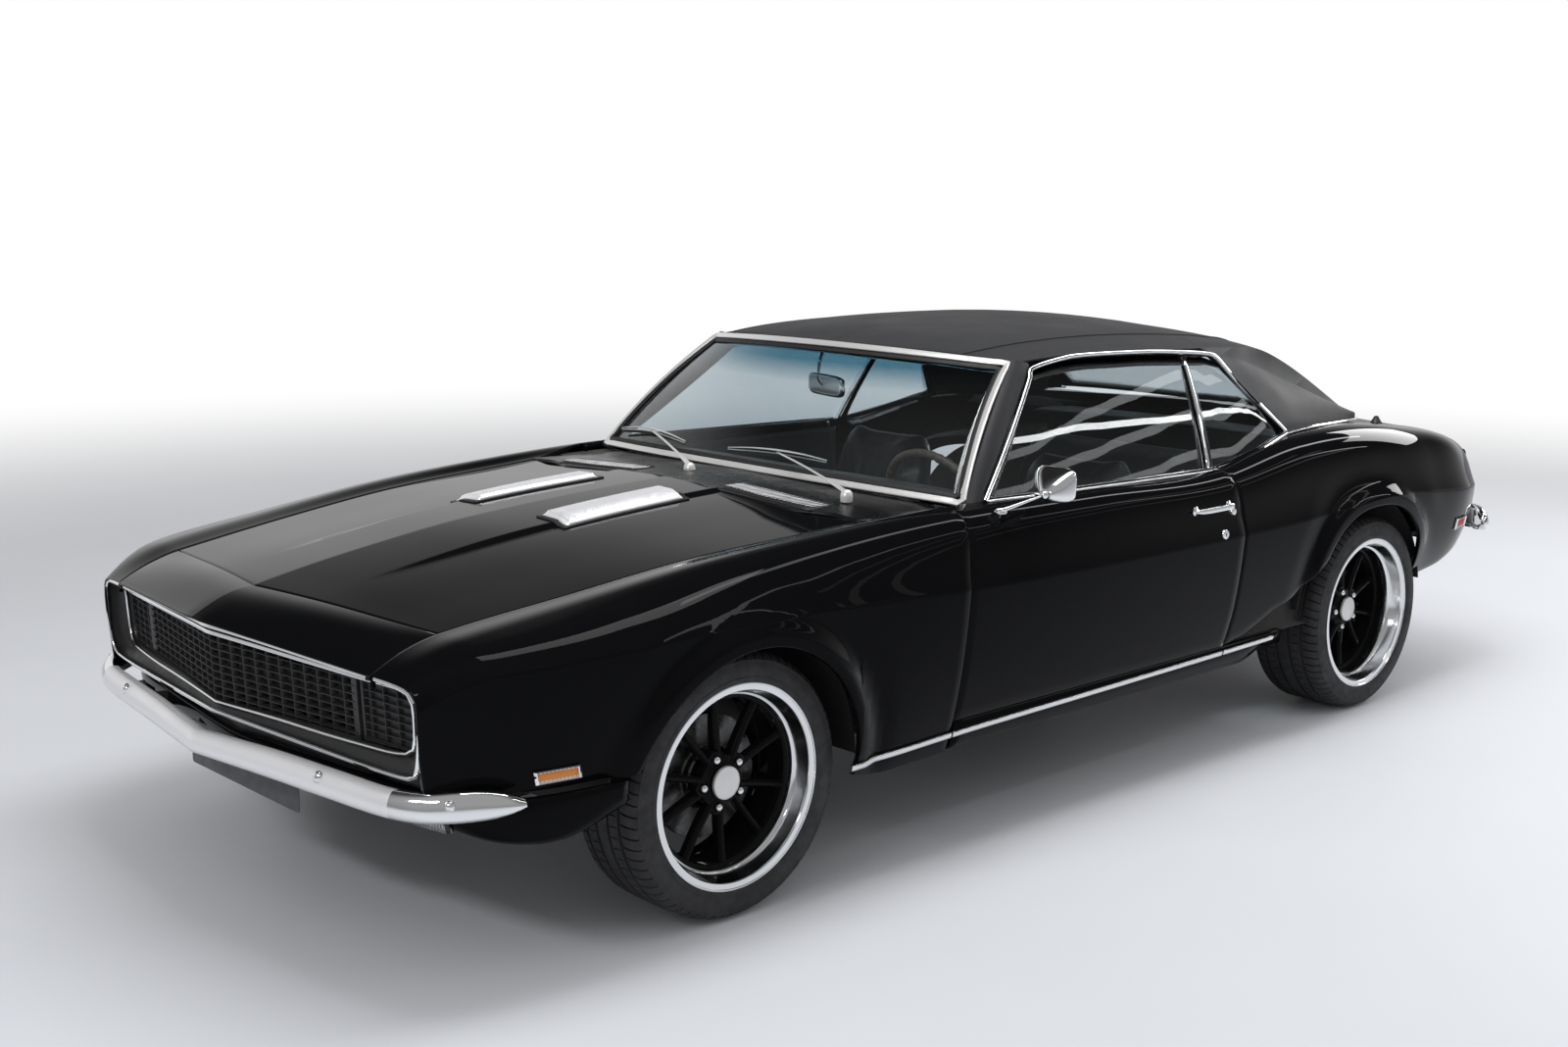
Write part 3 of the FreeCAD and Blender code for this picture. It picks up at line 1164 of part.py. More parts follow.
def main():
    """Build the car, check it and write one STEP file for each sub-part."""
    make_parts()
    doc.recompute()
    problems = find_problems()
    if problems:
        raise RuntimeError("; ".join(problems))
    os.makedirs("parts", exist_ok=True)
    for feature in parts:
        print("%-22s solids %2d  volume %.4f litres" % (feature.Label, len(feature.Shape.Solids),
                                                        feature.Shape.Volume / 1e6))
        feature.Shape.exportStep("parts/%s.step" % feature.Label)
    print(len(parts), "sub-parts written")


main()
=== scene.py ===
# %% [markdown]
# # A two-door muscle car, piece by piece
# Every piece of this car is made here in mesh code, around a frame of plain solids that already has
# the right sizes and the right joints. The frame says where things are; this script says how they
# look. Lengths are metres, +X is forward, +Y is the driver's side and +Z is up. Most pieces come
# from four makers: a grid between rows of points, a strip swept along a line, a profile turned on a
# lathe, and a flat plate with an outline.

# %% Load the frame
import math
from math import pi, radians

import bmesh
import bpy
import numpy as np
from numpy import array, asarray, clip, column_stack, concatenate, interp, linspace, stack, where
from mathutils import Matrix, Vector


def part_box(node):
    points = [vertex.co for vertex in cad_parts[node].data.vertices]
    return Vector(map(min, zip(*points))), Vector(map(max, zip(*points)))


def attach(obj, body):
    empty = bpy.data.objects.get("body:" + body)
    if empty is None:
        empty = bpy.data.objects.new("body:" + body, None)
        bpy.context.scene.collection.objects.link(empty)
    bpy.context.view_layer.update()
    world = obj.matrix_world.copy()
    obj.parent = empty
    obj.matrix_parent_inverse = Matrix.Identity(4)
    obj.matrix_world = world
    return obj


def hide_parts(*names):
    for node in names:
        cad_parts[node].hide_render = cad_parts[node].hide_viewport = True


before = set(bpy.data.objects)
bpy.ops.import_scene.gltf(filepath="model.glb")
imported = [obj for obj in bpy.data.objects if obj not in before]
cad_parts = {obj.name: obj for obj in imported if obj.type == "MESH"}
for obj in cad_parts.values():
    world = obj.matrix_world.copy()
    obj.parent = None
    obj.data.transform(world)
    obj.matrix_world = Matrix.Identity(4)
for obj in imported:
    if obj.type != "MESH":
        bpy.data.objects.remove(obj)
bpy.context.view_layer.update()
SIDES = (("left", 1), ("right", -1))

# %% [markdown]
# ## Camera
# The camera comes first, because every later choice is judged through it. It stands at the height
# of a standing person's eye, off the car's front left corner, with a medium lens. Its direction is
# given as three turns: the yaw is the compass direction, the pitch looks slightly down and the roll
# is a hair's breadth. Building the rotation from three unit vectors keeps those turns readable.

# %% Camera
EYE = Vector((4.1878, 3.927, 1.6944))
YAW, PITCH, ROLL = -2.3265, -.1802, .0093
LENS_MM, SENSOR_MM = 43.08, 36.0


def make_camera():
    """A camera at EYE that looks along the yaw and pitch, turned a little about its own axis."""
    ahead = Vector((math.cos(YAW) * math.cos(PITCH), math.sin(YAW) * math.cos(PITCH), math.sin(PITCH)))
    right = ahead.cross(Vector((0, 0, 1))).normalized()
    up = right.cross(ahead)
    turned_right = right * math.cos(ROLL) + up * math.sin(ROLL)
    turned_up = up * math.cos(ROLL) - right * math.sin(ROLL)
    data = bpy.data.cameras.new("camera")
    data.lens, data.sensor_width = LENS_MM, SENSOR_MM
    camera = bpy.data.objects.new("camera", data)
    bpy.context.scene.collection.objects.link(camera)
    axes = Matrix((turned_right, turned_up, -ahead)).transposed()
    camera.matrix_world = Matrix.Translation(EYE) @ axes.to_4x4()
    bpy.context.scene.camera = camera
    return camera


camera = make_camera()
print("camera: %.1f mm lens, %.2f m from the car's middle" % (LENS_MM, EYE.length))

# %% [markdown]
# ## Makers
# A car body is mostly curved sheet, trim strips and turned parts, so a few small makers cover it.
# Each takes plain lists of points and returns a Blender object. `piece` then does what every part
# needs: a material, a body to ride on and the solids of the frame that it stands for.

# %% Makers
def piece(obj, body, material, replaces=()):
    """Finish one piece: material, body and replaced solids."""
    if material is not None:
        obj.data.materials.clear()
        obj.data.materials.append(material)
    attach(obj, body)
    if replaces:
        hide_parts(*replaces)
    return obj


def shown(obj):
    """Put an object in the scene."""
    bpy.context.scene.collection.objects.link(obj)
    return obj


def xyz(x, y, z):
    """Points from their three coordinates, each a row of numbers or one number."""
    return stack(np.broadcast_arrays(x, y, z), -1)


def mesh_object(name, points, faces, smooth=True):
    """A mesh object from points and faces."""
    mesh = bpy.data.meshes.new(name)
    mesh.from_pydata([tuple(p) for p in points], [], [tuple(f) for f in faces])
    mesh.validate()
    if smooth:
        mesh.polygons.foreach_set("use_smooth", [True] * len(mesh.polygons))
    mesh.update()
    return shown(bpy.data.objects.new(name, mesh))


def grid_faces(rows, columns, start=0, wrap=False, turn=False):
    """Faces of a grid of rows x columns points that begins at a point number."""
    faces = []
    for r in range(rows - 1):
        for c in range(columns if wrap else columns - 1):
            here, right = start + r * columns + c, start + r * columns + (c + 1) % columns
            face = (here, right, right + columns, here + columns)
            faces.append(face[::-1] if turn else face)
    return faces


def grid(name, rows, wrap=False):
    """A smooth sheet through rows of points."""
    rows = asarray(rows, float)
    return mesh_object(name, rows.reshape(-1, 3), grid_faces(rows.shape[0], rows.shape[1], 0, wrap))


def join(name, objects):
    """Join objects into one, keeping each face's material."""
    objects = [o for o in objects if o is not None]
    with bpy.context.temp_override(active_object=objects[0], selected_editable_objects=objects,
            selected_objects=objects, object=objects[0]):
        bpy.ops.object.join()
    objects[0].name = objects[0].data.name = name
    return objects[0]


def apply_modifiers(obj):
    """Turn an object's modifiers into its mesh."""
    graph = bpy.context.evaluated_depsgraph_get()
    mesh = bpy.data.meshes.new_from_object(obj.evaluated_get(graph))
    obj.modifiers.clear()
    obj.data = mesh
    return obj


def thicken(obj, thick, bevel=0.0):
    """Give a sheet its real thickness, and round its edges."""
    solid = obj.modifiers.new("thickness", "SOLIDIFY")
    solid.thickness, solid.offset, solid.use_even_offset = thick, -1.0, False
    if bevel:
        rounding = obj.modifiers.new("edges", "BEVEL")
        rounding.width, rounding.segments, rounding.limit_method = bevel, 2, "ANGLE"
        rounding.angle_limit = radians(50)
    return apply_modifiers(obj)


def crease_shading(obj, degrees=35):
    """Smooth shading that keeps edges sharper than an angle."""
    obj.data.polygons.foreach_set("use_smooth", [True] * len(obj.data.polygons))
    obj.data.set_sharp_from_angle(angle=radians(degrees))
    return obj


def rounded(obj, width, segments=2, degrees=40):
    """Round an object's edges and shade it smooth."""
    rounding = obj.modifiers.new("edges", "BEVEL")
    rounding.width, rounding.segments, rounding.limit_method = width, segments, "ANGLE"
    rounding.angle_limit = radians(degrees)
    apply_modifiers(obj)
    return crease_shading(obj, degrees)


def mirrored(obj, name):
    """A copy of an object on the other side of the car."""
    mesh = obj.data.copy()
    mesh.transform(Matrix.Scale(-1, 4, (0, 1, 0)))
    mesh.flip_normals()
    return shown(bpy.data.objects.new(name, mesh))


def curve_points(points, count, closed=False):
    """Evenly spaced points on a smooth curve through given points (a Catmull-Rom spline)."""
    points = asarray(points, float)
    if closed:
        points = np.vstack([points[-1], points, points[:2]])
    else:
        points = np.vstack([2 * points[0] - points[1], points, 2 * points[-1] - points[-2]])
    fine = []
    for a, b, c, d in zip(points, points[1:], points[2:], points[3:]):
        t = linspace(0, 1, 16, endpoint=False)[:, None]
        fine.append(.5 * (2 * b + (c - a) * t + (2 * a - 5 * b + 4 * c - d) * t ** 2
                           + (3 * b - a - 3 * c + d) * t ** 3))
    fine = np.vstack(fine + [points[-2][None]])
    run = concatenate([[0], np.cumsum(np.linalg.norm(np.diff(fine, axis=0), axis=1))])
    places = linspace(0, run[-1], count, endpoint=not closed)
    return stack([interp(places, run, fine[:, k]) for k in range(fine.shape[1])], 1)


def recalculate(obj, together=1e-6):
    """Make an object's faces look outwards, and join points that lie together."""
    bm = bmesh.new()
    bm.from_mesh(obj.data)
    bmesh.ops.remove_doubles(bm, verts=bm.verts, dist=together)
    bmesh.ops.recalc_face_normals(bm, faces=bm.faces)
    bm.to_mesh(obj.data)
    bm.free()
    return obj


def sweep(name, path, profile, up=(0, 0, 1), closed=False, scale=None, ups=None):
    """A profile of (across, up) points swept along a path. `ups` may give an up vector per point."""
    path, profile = asarray(path, float), asarray(profile, float)
    count = len(path)
    if closed:
        along = np.roll(path, -1, 0) - np.roll(path, 1, 0)
    else:
        along = np.gradient(path, axis=0)
    along /= np.linalg.norm(along, axis=1)[:, None]
    ups = np.tile(asarray(up, float), (count, 1)) if ups is None else asarray(ups, float)
    across = np.cross(along, ups)
    across /= np.linalg.norm(across, axis=1)[:, None]
    ups = np.cross(across, along)
    scale = np.ones(count) if scale is None else asarray(scale, float)
    rows = (path[:, None] + across[:, None] * (profile[None, :, :1] * scale[:, None, None])
            + ups[:, None] * (profile[None, :, 1:2] * scale[:, None, None]))
    if closed:
        rows = concatenate([rows, rows[:1]])
    n = len(profile)
    faces = grid_faces(len(rows), n, 0, wrap=True)
    if not closed:
        faces += [tuple(range(n))[::-1], tuple(range((len(rows) - 1) * n, len(rows) * n))]
    return recalculate(mesh_object(name, rows.reshape(-1, 3), faces))


def ring_profile(radius, count=12, squash=1.0):
    """A round or oval profile."""
    turn = linspace(0, 2 * pi, count, endpoint=False)
    return stack([radius * np.cos(turn), radius * squash * np.sin(turn)], 1)


def box_profile(wide, tall, corner, count=3):
    """A rectangle with rounded corners, as a closed profile."""
    points = []
    for quarter, (sx, sy) in enumerate(((1, 1), (-1, 1), (-1, -1), (1, -1))):
        for step in range(count + 1):
            turn = pi / 2 * (quarter + step / count)
            points.append((sx * (wide / 2 - corner) + corner * math.cos(turn),
                           sy * (tall / 2 - corner) + corner * math.sin(turn)))
    return array(points)


def lathe(name, profile, middle=(0, 0, 0), axis="Y", segments=64):
    """A profile of (radius, along) points turned about an axis through a middle point."""
    turn = linspace(0, 2 * pi, segments, endpoint=False)
    radius, along = asarray(profile, float).T
    circle = [np.outer(np.cos(turn), radius), np.outer(np.sin(turn), radius),
              np.tile(along, (segments, 1))]
    order = {"X": (2, 0, 1), "Y": (1, 2, 0), "Z": (0, 1, 2)}[axis]
    rows = stack([circle[k] for k in order], 2) + asarray(middle, float)
    return recalculate(grid(name, concatenate([rows, rows[:1]])))


def plate(name, outline, thick, axes=("X", "Z"), at=0.0, bevel=0.0):
    """A flat plate with an outline of (a, b) points on two axes, centred on a place of the third."""
    third = ({"X", "Y", "Z"} - set(axes)).pop()
    n = len(outline)
    points = []
    for side in (-.5, .5):
        for a, b in outline:
            here = {axes[0]: a, axes[1]: b, third: at + side * thick}
            points.append((here["X"], here["Y"], here["Z"]))
    faces = [tuple(range(n)), tuple(range(2 * n - 1, n - 1, -1))]
    faces += [(k, (k + 1) % n, n + (k + 1) % n, n + k) for k in range(n)]
    obj = recalculate(mesh_object(name, points, faces, smooth=False))
    return rounded(obj, bevel) if bevel else obj


print("makers ready: grid, sweep, lathe and plate")

# %% [markdown]
# ## Floor, backdrop and lights
# A dark glossy car is lit by what it mirrors. The stage is a plain pale floor that fades to white
# far away, under a white backdrop. Mirrors see a white band near the horizon and a dimmer ceiling
# above it, so gloss black stays black on top and still gets long clean highlights from a few soft
# lamps. The lamps and the world stay at a plain level, so that every colour looks as it is written.

# %% Stage
FLOOR_COLOUR = (.605, .62, .655)


def feed(tree, socket, value):
    """Set a socket to a number, or link another socket into it."""
    if isinstance(value, (int, float)):
        socket.default_value = value
    else:
        tree.links.new(value, socket)


def node(tree, kind, links=None, **values):
    """Add a node, set its properties and inputs, and link sockets into it."""
    made = tree.nodes.new(kind)
    for key, value in values.items():
        if hasattr(made, key):
            setattr(made, key, value)
        else:
            made.inputs[key.replace("_", " ")].default_value = value
    for socket, source in (links or {}).items():
        tree.links.new(source, made.inputs[socket])
    return made


def calculate(tree, operation, first, second):
    """A Math node; each operand is a socket or a number."""
    made = node(tree, "ShaderNodeMath", operation=operation)
    for socket, value in zip(made.inputs, (first, second)):
        feed(tree, socket, value)
    return made.outputs[0]


def between(tree, factor, low, high):
    """A Mix node from one value to another; each is a socket or a number."""
    made = node(tree, "ShaderNodeMix", {"Factor": factor}, data_type="FLOAT")
    feed(tree, made.inputs[2], low)
    feed(tree, made.inputs[3], high)
    return made.outputs[0]


def smooth_range(tree, value, start, end, low, high):
    """Go smoothly from low to high while a value goes from start to end."""
    return node(tree, "ShaderNodeMapRange", {"Value": value}, interpolation_type="SMOOTHSTEP",
        From_Min=start, From_Max=end, To_Min=low, To_Max=high).outputs["Result"]


def make_world(level, hall, ceiling):
    """A plain level for lighting, and a white backdrop that dims towards the ceiling for mirrors."""
    world = bpy.data.worlds.new("studio")
    world.use_nodes = True
    tree = world.node_tree
    rays = node(tree, "ShaderNodeLightPath").outputs
    looking = calculate(tree, "MAXIMUM", calculate(tree, "MAXIMUM", rays["Is Camera Ray"],
        rays["Is Glossy Ray"]), rays["Is Transmission Ray"])
    place = node(tree, "ShaderNodeTexCoord").outputs["Generated"]
    x, y, z = node(tree, "ShaderNodeSeparateXYZ", {0: place}).outputs
    toward = calculate(tree, "ADD", calculate(tree, "MULTIPLY", x, .7), calculate(tree, "MULTIPLY", y,
        .71))
    # a white wall stands behind the car; the hall in front of it is dimmer, with a brighter ceiling
    walls = smooth_range(tree, toward, -.45, .35, .82, hall)
    above = smooth_range(tree, toward, -.45, .35, *ceiling)
    # the wall beside the car stands close to it, so it reaches higher up in the mirrors
    lowered = calculate(tree, "MULTIPLY", calculate(tree, "MINIMUM", y, 0.0), .45)
    rise = smooth_range(tree, calculate(tree, "ADD", z, lowered), -.15, .35, 0.0, 1.0)
    mirrored_light = calculate(tree, "ADD", calculate(tree, "MULTIPLY", rise, above),
        calculate(tree, "MULTIPLY", calculate(tree, "SUBTRACT", 1.0, rise), walls))
    back = tree.nodes["Background"]
    feed(tree, back.inputs["Strength"],
         between(tree, looking, level, between(tree, rays["Is Camera Ray"], mirrored_light, 1.0)))
    back.inputs["Color"].default_value = (1, 1, 1, 1)
    bpy.context.scene.world = world


def floor_material():
    """Smooth pale concrete that fades into the white backdrop far from the car."""
    made = bpy.data.materials.new("pale_floor")
    made.use_nodes = True
    tree = made.node_tree
    shader, output = tree.nodes["Principled BSDF"], tree.nodes["Material Output"]
    shader.inputs["Roughness"].default_value = .5
    shader.inputs["Specular IOR Level"].default_value = .25
    place = node(tree, "ShaderNodeTexCoord").outputs["Object"]
    noise = node(tree, "ShaderNodeTexNoise", {"Vector": place}, Scale=1.1, Detail=6)
    shade = node(tree, "ShaderNodeMix", {"Factor": noise.outputs["Fac"]}, data_type="RGBA")
    shade.inputs["A"].default_value = (*(c * .955 for c in FLOOR_COLOUR), 1)
    shade.inputs["B"].default_value = (*(c * 1.045 for c in FLOOR_COLOUR), 1)
    tree.links.new(shade.outputs["Result"], shader.inputs["Base Color"])
    away = node(tree, "ShaderNodeVectorMath", {0: place}, operation="LENGTH").outputs["Value"]
    rays = node(tree, "ShaderNodeLightPath").outputs
    watched = calculate(tree, "MAXIMUM", rays["Is Camera Ray"], rays["Is Transmission Ray"])
    fade = calculate(tree, "MULTIPLY", smooth_range(tree, away, 4.0, 10.5, 0.0, 1.0), watched)
    mix = node(tree, "ShaderNodeMixShader", {0: fade, 1: shader.outputs[0],
        2: node(tree, "ShaderNodeEmission", Strength=1.0).outputs[0]})
    tree.links.new(mix.outputs[0], output.inputs["Surface"])
    return made


def make_floor(radius=60, rings=24, spokes=48):
    """A round floor, finer near the car."""
    points, faces = [(0, 0, 0)], []
    for r in radius * linspace(0, 1, rings + 1)[1:] ** 2:
        points += [(r * math.cos(a), r * math.sin(a), 0) for a in linspace(0, 2 * pi, spokes, False)]
    faces += [(0, 1 + k, 1 + (k + 1) % spokes) for k in range(spokes)]
    for ring in range(rings - 1):
        a = 1 + ring * spokes
        faces += [(a + k, a + spokes + k, a + spokes + (k + 1) % spokes, a + (k + 1) % spokes)
            for k in range(spokes)]
    mesh = bpy.data.meshes.new("floor")
    mesh.from_pydata(points, [], faces)
    floor = bpy.data.objects.new("floor", mesh)
    floor.data.materials.append(floor_material())
    floor.location.z = -.0005
    shown(floor)


def soft_lamp(name, place, target, size, power):
    """A rectangular softbox that looks at a point."""
    data = bpy.data.lights.new(name, "AREA")
    data.shape, data.size, data.size_y, data.energy = "RECTANGLE", size[0], size[1], power
    lamp = bpy.data.objects.new(name, data)
    lamp.location = place
    lamp.rotation_euler = (Vector(target) - Vector(place)).to_track_quat("-Z", "Y").to_euler()
    shown(lamp)


make_world(level=.66, hall=.25, ceiling=(.02, .34))
make_floor()
soft_lamp("overhead", (.5, .6, 4.6), (.4, .3, .6), (3.6, 1.2), 120)
soft_lamp("low_tube", (-3.8, 2.9, 3.0), (-3.8, .6, .7), (7.0, .1), 16)
soft_lamp("high_tube", (-3.8, 1.0, 3.9), (-3.8, .6, .8), (7.0, .32), 60)
soft_lamp("rear_window", (-5.8, .5, 2.7), (-1.2, .4, 1.0), (2.4, 1.2), 60)
for number in range(3):
    soft_lamp("hall_window_%d" % number, (-3.8, 3.4, 2.2 + .55 * number), (0, .7, 1.05), (3.0, .12),
        1.2)
soft_lamp("front_strip", (5.6, 1.0, 3.2), (1.5, .3, .6), (2.6, .4), 60)
bpy.context.scene.view_settings.view_transform = "Standard"
print("stage: floor, backdrop and eight soft lamps")

# %% [markdown]
# ## Shared surface effects
# Real finishes are never perfectly even: paint has a faint ripple, vinyl has a pressed grain,
# rubber holds dust and edges go pale where hands and cloths rub them; on black plastic that pale
# edge is also a painted highlight. Effects that several finishes share are node groups, made once.
# Each puts out only a mask or a height, and the material decides what it does.

# %% Shared effect groups
def node_group(name, inputs, outputs):
    """An empty shader node group with named float inputs and outputs."""
    tree = bpy.data.node_groups.new(name, "ShaderNodeTree")
    for title, value in inputs.items():
        socket = tree.interface.new_socket(title, in_out="INPUT", socket_type="NodeSocketFloat")
        socket.default_value = value
    for title in outputs:
        tree.interface.new_socket(title, in_out="OUTPUT", socket_type="NodeSocketFloat")
    return tree, tree.nodes.new("NodeGroupInput"), tree.nodes.new("NodeGroupOutput")


def object_place(tree):
    """Object coordinates, which stay on the piece when it moves."""
    return tree.nodes.new("ShaderNodeTexCoord").outputs["Object"]


def build_cloud_group():
    """Soft uneven patches between a low and a high value."""
    tree, given, result = node_group("cloud", {"Scale": 8.0, "Detail": 4.0, "Low": 0.0, "High": 1.0},
        ["Value"])
    noise = node(tree, "ShaderNodeTexNoise", {"Vector": object_place(tree),
        "Scale": given.outputs["Scale"], "Detail": given.outputs["Detail"]})
    spread = node(tree, "ShaderNodeMapRange", {"Value": noise.outputs["Fac"],
        "To Min": given.outputs["Low"], "To Max": given.outputs["High"]}, From_Min=.32, From_Max=.68)
    tree.links.new(spread.outputs["Result"], result.inputs["Value"])
    return tree


def build_grain_group():
    """A pressed leather grain: pebbles of one size with fine wrinkles between them."""
    tree, given, result = node_group("grain", {"Scale": 600.0, "Wrinkle": .4}, ["Height", "Pebble"])
    place = object_place(tree)
    cells = node(tree, "ShaderNodeTexVoronoi", {"Vector": place, "Scale": given.outputs["Scale"]},
                 feature="SMOOTH_F1")
    wrinkle = node(tree, "ShaderNodeTexNoise", {"Vector": place}, Scale=90.0, Detail=6.0)
    pebble = calculate(tree, "SUBTRACT", 1.0, cells.outputs["Distance"])
    folds = calculate(tree, "MULTIPLY", wrinkle.outputs["Fac"], given.outputs["Wrinkle"])
    tree.links.new(calculate(tree, "ADD", pebble, folds), result.inputs["Height"])
    tree.links.new(pebble, result.inputs["Pebble"])
    return tree


def build_dust_group():
    """Dust on faces that look up, in uneven patches."""
    tree, given, result = node_group("dust", {"Amount": .3, "Scale": 14.0}, ["Mask"])
    facing = node(tree, "ShaderNodeSeparateXYZ",
        {"Vector": tree.nodes.new("ShaderNodeNewGeometry").outputs["Normal"]})
    upward = node(tree, "ShaderNodeMapRange", {"Value": facing.outputs["Z"]}, From_Min=-.1, From_Max=.9)
    patches = node(tree, "ShaderNodeTexNoise", {"Vector": object_place(tree),
        "Scale": given.outputs["Scale"]}, Detail=7.0, Roughness=.65)
    spread = calculate(tree, "MULTIPLY", patches.outputs["Fac"], upward.outputs["Result"])
    tree.links.new(calculate(tree, "MULTIPLY", spread, given.outputs["Amount"]), result.inputs["Mask"])
    return tree


def build_wear_and_highlight_group():
    """Rubbed edges with a painted highlight on them: lighter where convex, broken up by noise."""
    tree, given, result = node_group("wear_and_highlight", {"Amount": .5, "Scale": 40.0}, ["Mask"])
    point = tree.nodes.new("ShaderNodeNewGeometry").outputs["Pointiness"]
    edge = node(tree, "ShaderNodeMapRange", {"Value": point}, From_Min=.52, From_Max=.62)
    broken = node(tree, "ShaderNodeTexNoise", {"Vector": object_place(tree),
        "Scale": given.outputs["Scale"]}, Detail=5.0)
    mask = calculate(tree, "MULTIPLY", edge.outputs["Result"], broken.outputs["Fac"])
    tree.links.new(calculate(tree, "MULTIPLY", mask, given.outputs["Amount"]), result.inputs["Mask"])
    return tree


def build_brushed_group():
    """Fine parallel lines, as a lathe or a polishing wheel leaves them, around the Y axis."""
    tree, given, result = node_group("turned_lines", {"Scale": 900.0, "Low": .08, "High": .2},
        ["Value"])
    parts = node(tree, "ShaderNodeSeparateXYZ", {"Vector": object_place(tree)})
    lines = node(tree, "ShaderNodeTexNoise", {"W": calculate(tree, "MULTIPLY", parts.outputs["Y"],
        given.outputs["Scale"])}, noise_dimensions="1D", Scale=1.0, Detail=3.0)
    spread = node(tree, "ShaderNodeMapRange", {"Value": lines.outputs["Fac"],
        "To Min": given.outputs["Low"], "To Max": given.outputs["High"]}, From_Min=.3, From_Max=.7)
    tree.links.new(spread.outputs["Result"], result.inputs["Value"])
    return tree


GROUPS = {"cloud": build_cloud_group(), "grain": build_grain_group(), "dust": build_dust_group(),
          "wear_and_highlight": build_wear_and_highlight_group(), "turned_lines": build_brushed_group()}
print("effect groups:", ", ".join(GROUPS))

# %% [markdown]
# ## Finishes
# A finish is one Principled shader. Numbers that are the same all over sit on the shader's own
# sockets, and only what really changes over the surface, such as dust or grain, comes from the
# groups above. Gloss paint is a dark base under a clear coat: the coat gives the sharp reflections
# of the room and the base gives the depth under them.

# %% Finish helpers
def finish(name, colour, roughness=.5, metallic=0.0, **sockets):
    """A material with one Principled shader. Extra sockets are named with underscores."""
    material = bpy.data.materials.new(name)
    material.use_nodes = True
    shader = material.node_tree.nodes["Principled BSDF"]
    shader.inputs["Base Color"].default_value = (*colour, 1)
    shader.inputs["Roughness"].default_value = roughness
    shader.inputs["Metallic"].default_value = metallic
    for key, value in sockets.items():
        shader.inputs[key.replace("_", " ")].default_value = value
    material.diffuse_color = (*colour, 1)
    return material


def effect(material, group, output, **values):
    """Place a shared group in a material and return one of its outputs."""
    made = node(material.node_tree, "ShaderNodeGroup", node_tree=GROUPS[group])
    for key, value in values.items():
        made.inputs[key].default_value = value
    return made.outputs[output]


def drive(material, socket, source):
    """Let an effect feed one of the shader's sockets."""
    shader = material.node_tree.nodes["Principled BSDF"]
    material.node_tree.links.new(source, shader.inputs[socket])


def tint(material, mask, under, over):
    """Colour that goes from one shade to another by a mask."""
    mix = node(material.node_tree, "ShaderNodeMix", {"Factor": mask}, data_type="RGBA")
    mix.inputs["A"].default_value = (*under, 1)
    mix.inputs["B"].default_value = (*over, 1)
    drive(material, "Base Color", mix.outputs["Result"])


def bump(material, height, strength, distance=.001):
    """Small relief from a height."""
    made = node(material.node_tree, "ShaderNodeBump", {"Height": height}, Strength=strength,
        Distance=distance)
    drive(material, "Normal", made.outputs["Normal"])


# %% [markdown]
# ### Paint, vinyl, chrome and rubber
# The body is gloss black, with a thin uneven veil of dust on its upper faces that only shows in the
# roughness. The roof skin is black vinyl with a pebble grain. Bright trim is polished chrome, but
# the front bumper's middle and the screen surrounds are brushed satin metal. Tyres are nearly black
# with paler dust in the tread.

# %% Finishes
def patchy(material, scale, low, high):
    """Let the roughness wander between two values in soft patches."""
    drive(material, "Roughness", effect(material, "cloud", "Value", Scale=scale, Low=low, High=high))
    return material


def toothed(material, scale, strength, distance):
    """Give a surface a fine even tooth."""
    bump(material, effect(material, "cloud", "Value", Scale=scale, Low=0.0, High=1.0), strength,
        distance)


def gloss_black(name, colour, dust):
    """Gloss black paint under a clear coat, which mirrors less where it is seen head on."""
    made = finish(name, colour, .22, Coat_Weight=1.0, Coat_Roughness=.02, Coat_IOR=1.47,
        Specular_IOR_Level=0.0)
    patchy(made, 3.0, .18, .28)
    tint(made, effect(made, "dust", "Mask", Amount=dust, Scale=9.0), colour, (.16, .16, .165))
    view = node(made.node_tree, "ShaderNodeLayerWeight", Blend=.5)
    sheer = node(made.node_tree, "ShaderNodeMapRange", {"Value": view.outputs["Facing"]}, From_Min=.35,
        From_Max=.85, To_Min=.12, To_Max=.8)
    drive(made, "Coat Weight", sheer.outputs["Result"])
    return made


paint = gloss_black("body_black", (.003, .0031, .0036), .006)
wheel_black = gloss_black("wheel_black", (.006, .006, .0065), .03)
cowl_black = patchy(finish("cowl_black", (.0035, .0036, .004), .3, Specular_IOR_Level=.25), 9.0, .22,
    .36)

vinyl = finish("roof_vinyl", (.012, .0125, .0145), .6, Sheen_Weight=.03, Sheen_Roughness=.5,
               Specular_IOR_Level=.3)
patchy(vinyl, 5.0, .52, .68)
tint(vinyl, effect(vinyl, "dust", "Mask", Amount=.35, Scale=6.0), (.01, .0105, .0125),
    (.032, .033, .038))
bump(vinyl, effect(vinyl, "grain", "Height", Scale=420.0, Wrinkle=.5), .5, .0006)

# each row: name, colour, roughness, metallic, and the patches' scale, lowest and highest roughness
louvre_silver, chrome, satin, bumper_satin, steel, disc_steel, seal, plate_grey = (
    patchy(finish(*row[:4]), *row[4:]) for row in (
        ("louvre_silver", (.84, .845, .87), .4, .5, 60.0, .3, .5),
        ("chrome", (.86, .87, .88), .06, 1.0, 30.0, .03, .09),
        ("satin_metal", (.73, .725, .72), .34, .55, 6.0, .3, .36),
        ("bumper_satin", (.8, .8, .82), .36, .45, 12.0, .3, .42),
        ("steel", (.42, .42, .43), .35, 1.0, 40.0, .28, .5),
        ("disc_steel", (.09, .09, .09), .38, 1.0, 60.0, .22, .42),
        ("seal_rubber", (.008, .008, .008), .55, 0.0, 60.0, .45, .65),
        ("plate_grey", (.055, .055, .06), .5, 0.0, 30.0, .42, .58)))
toothed(louvre_silver, 260.0, .25, .0006)

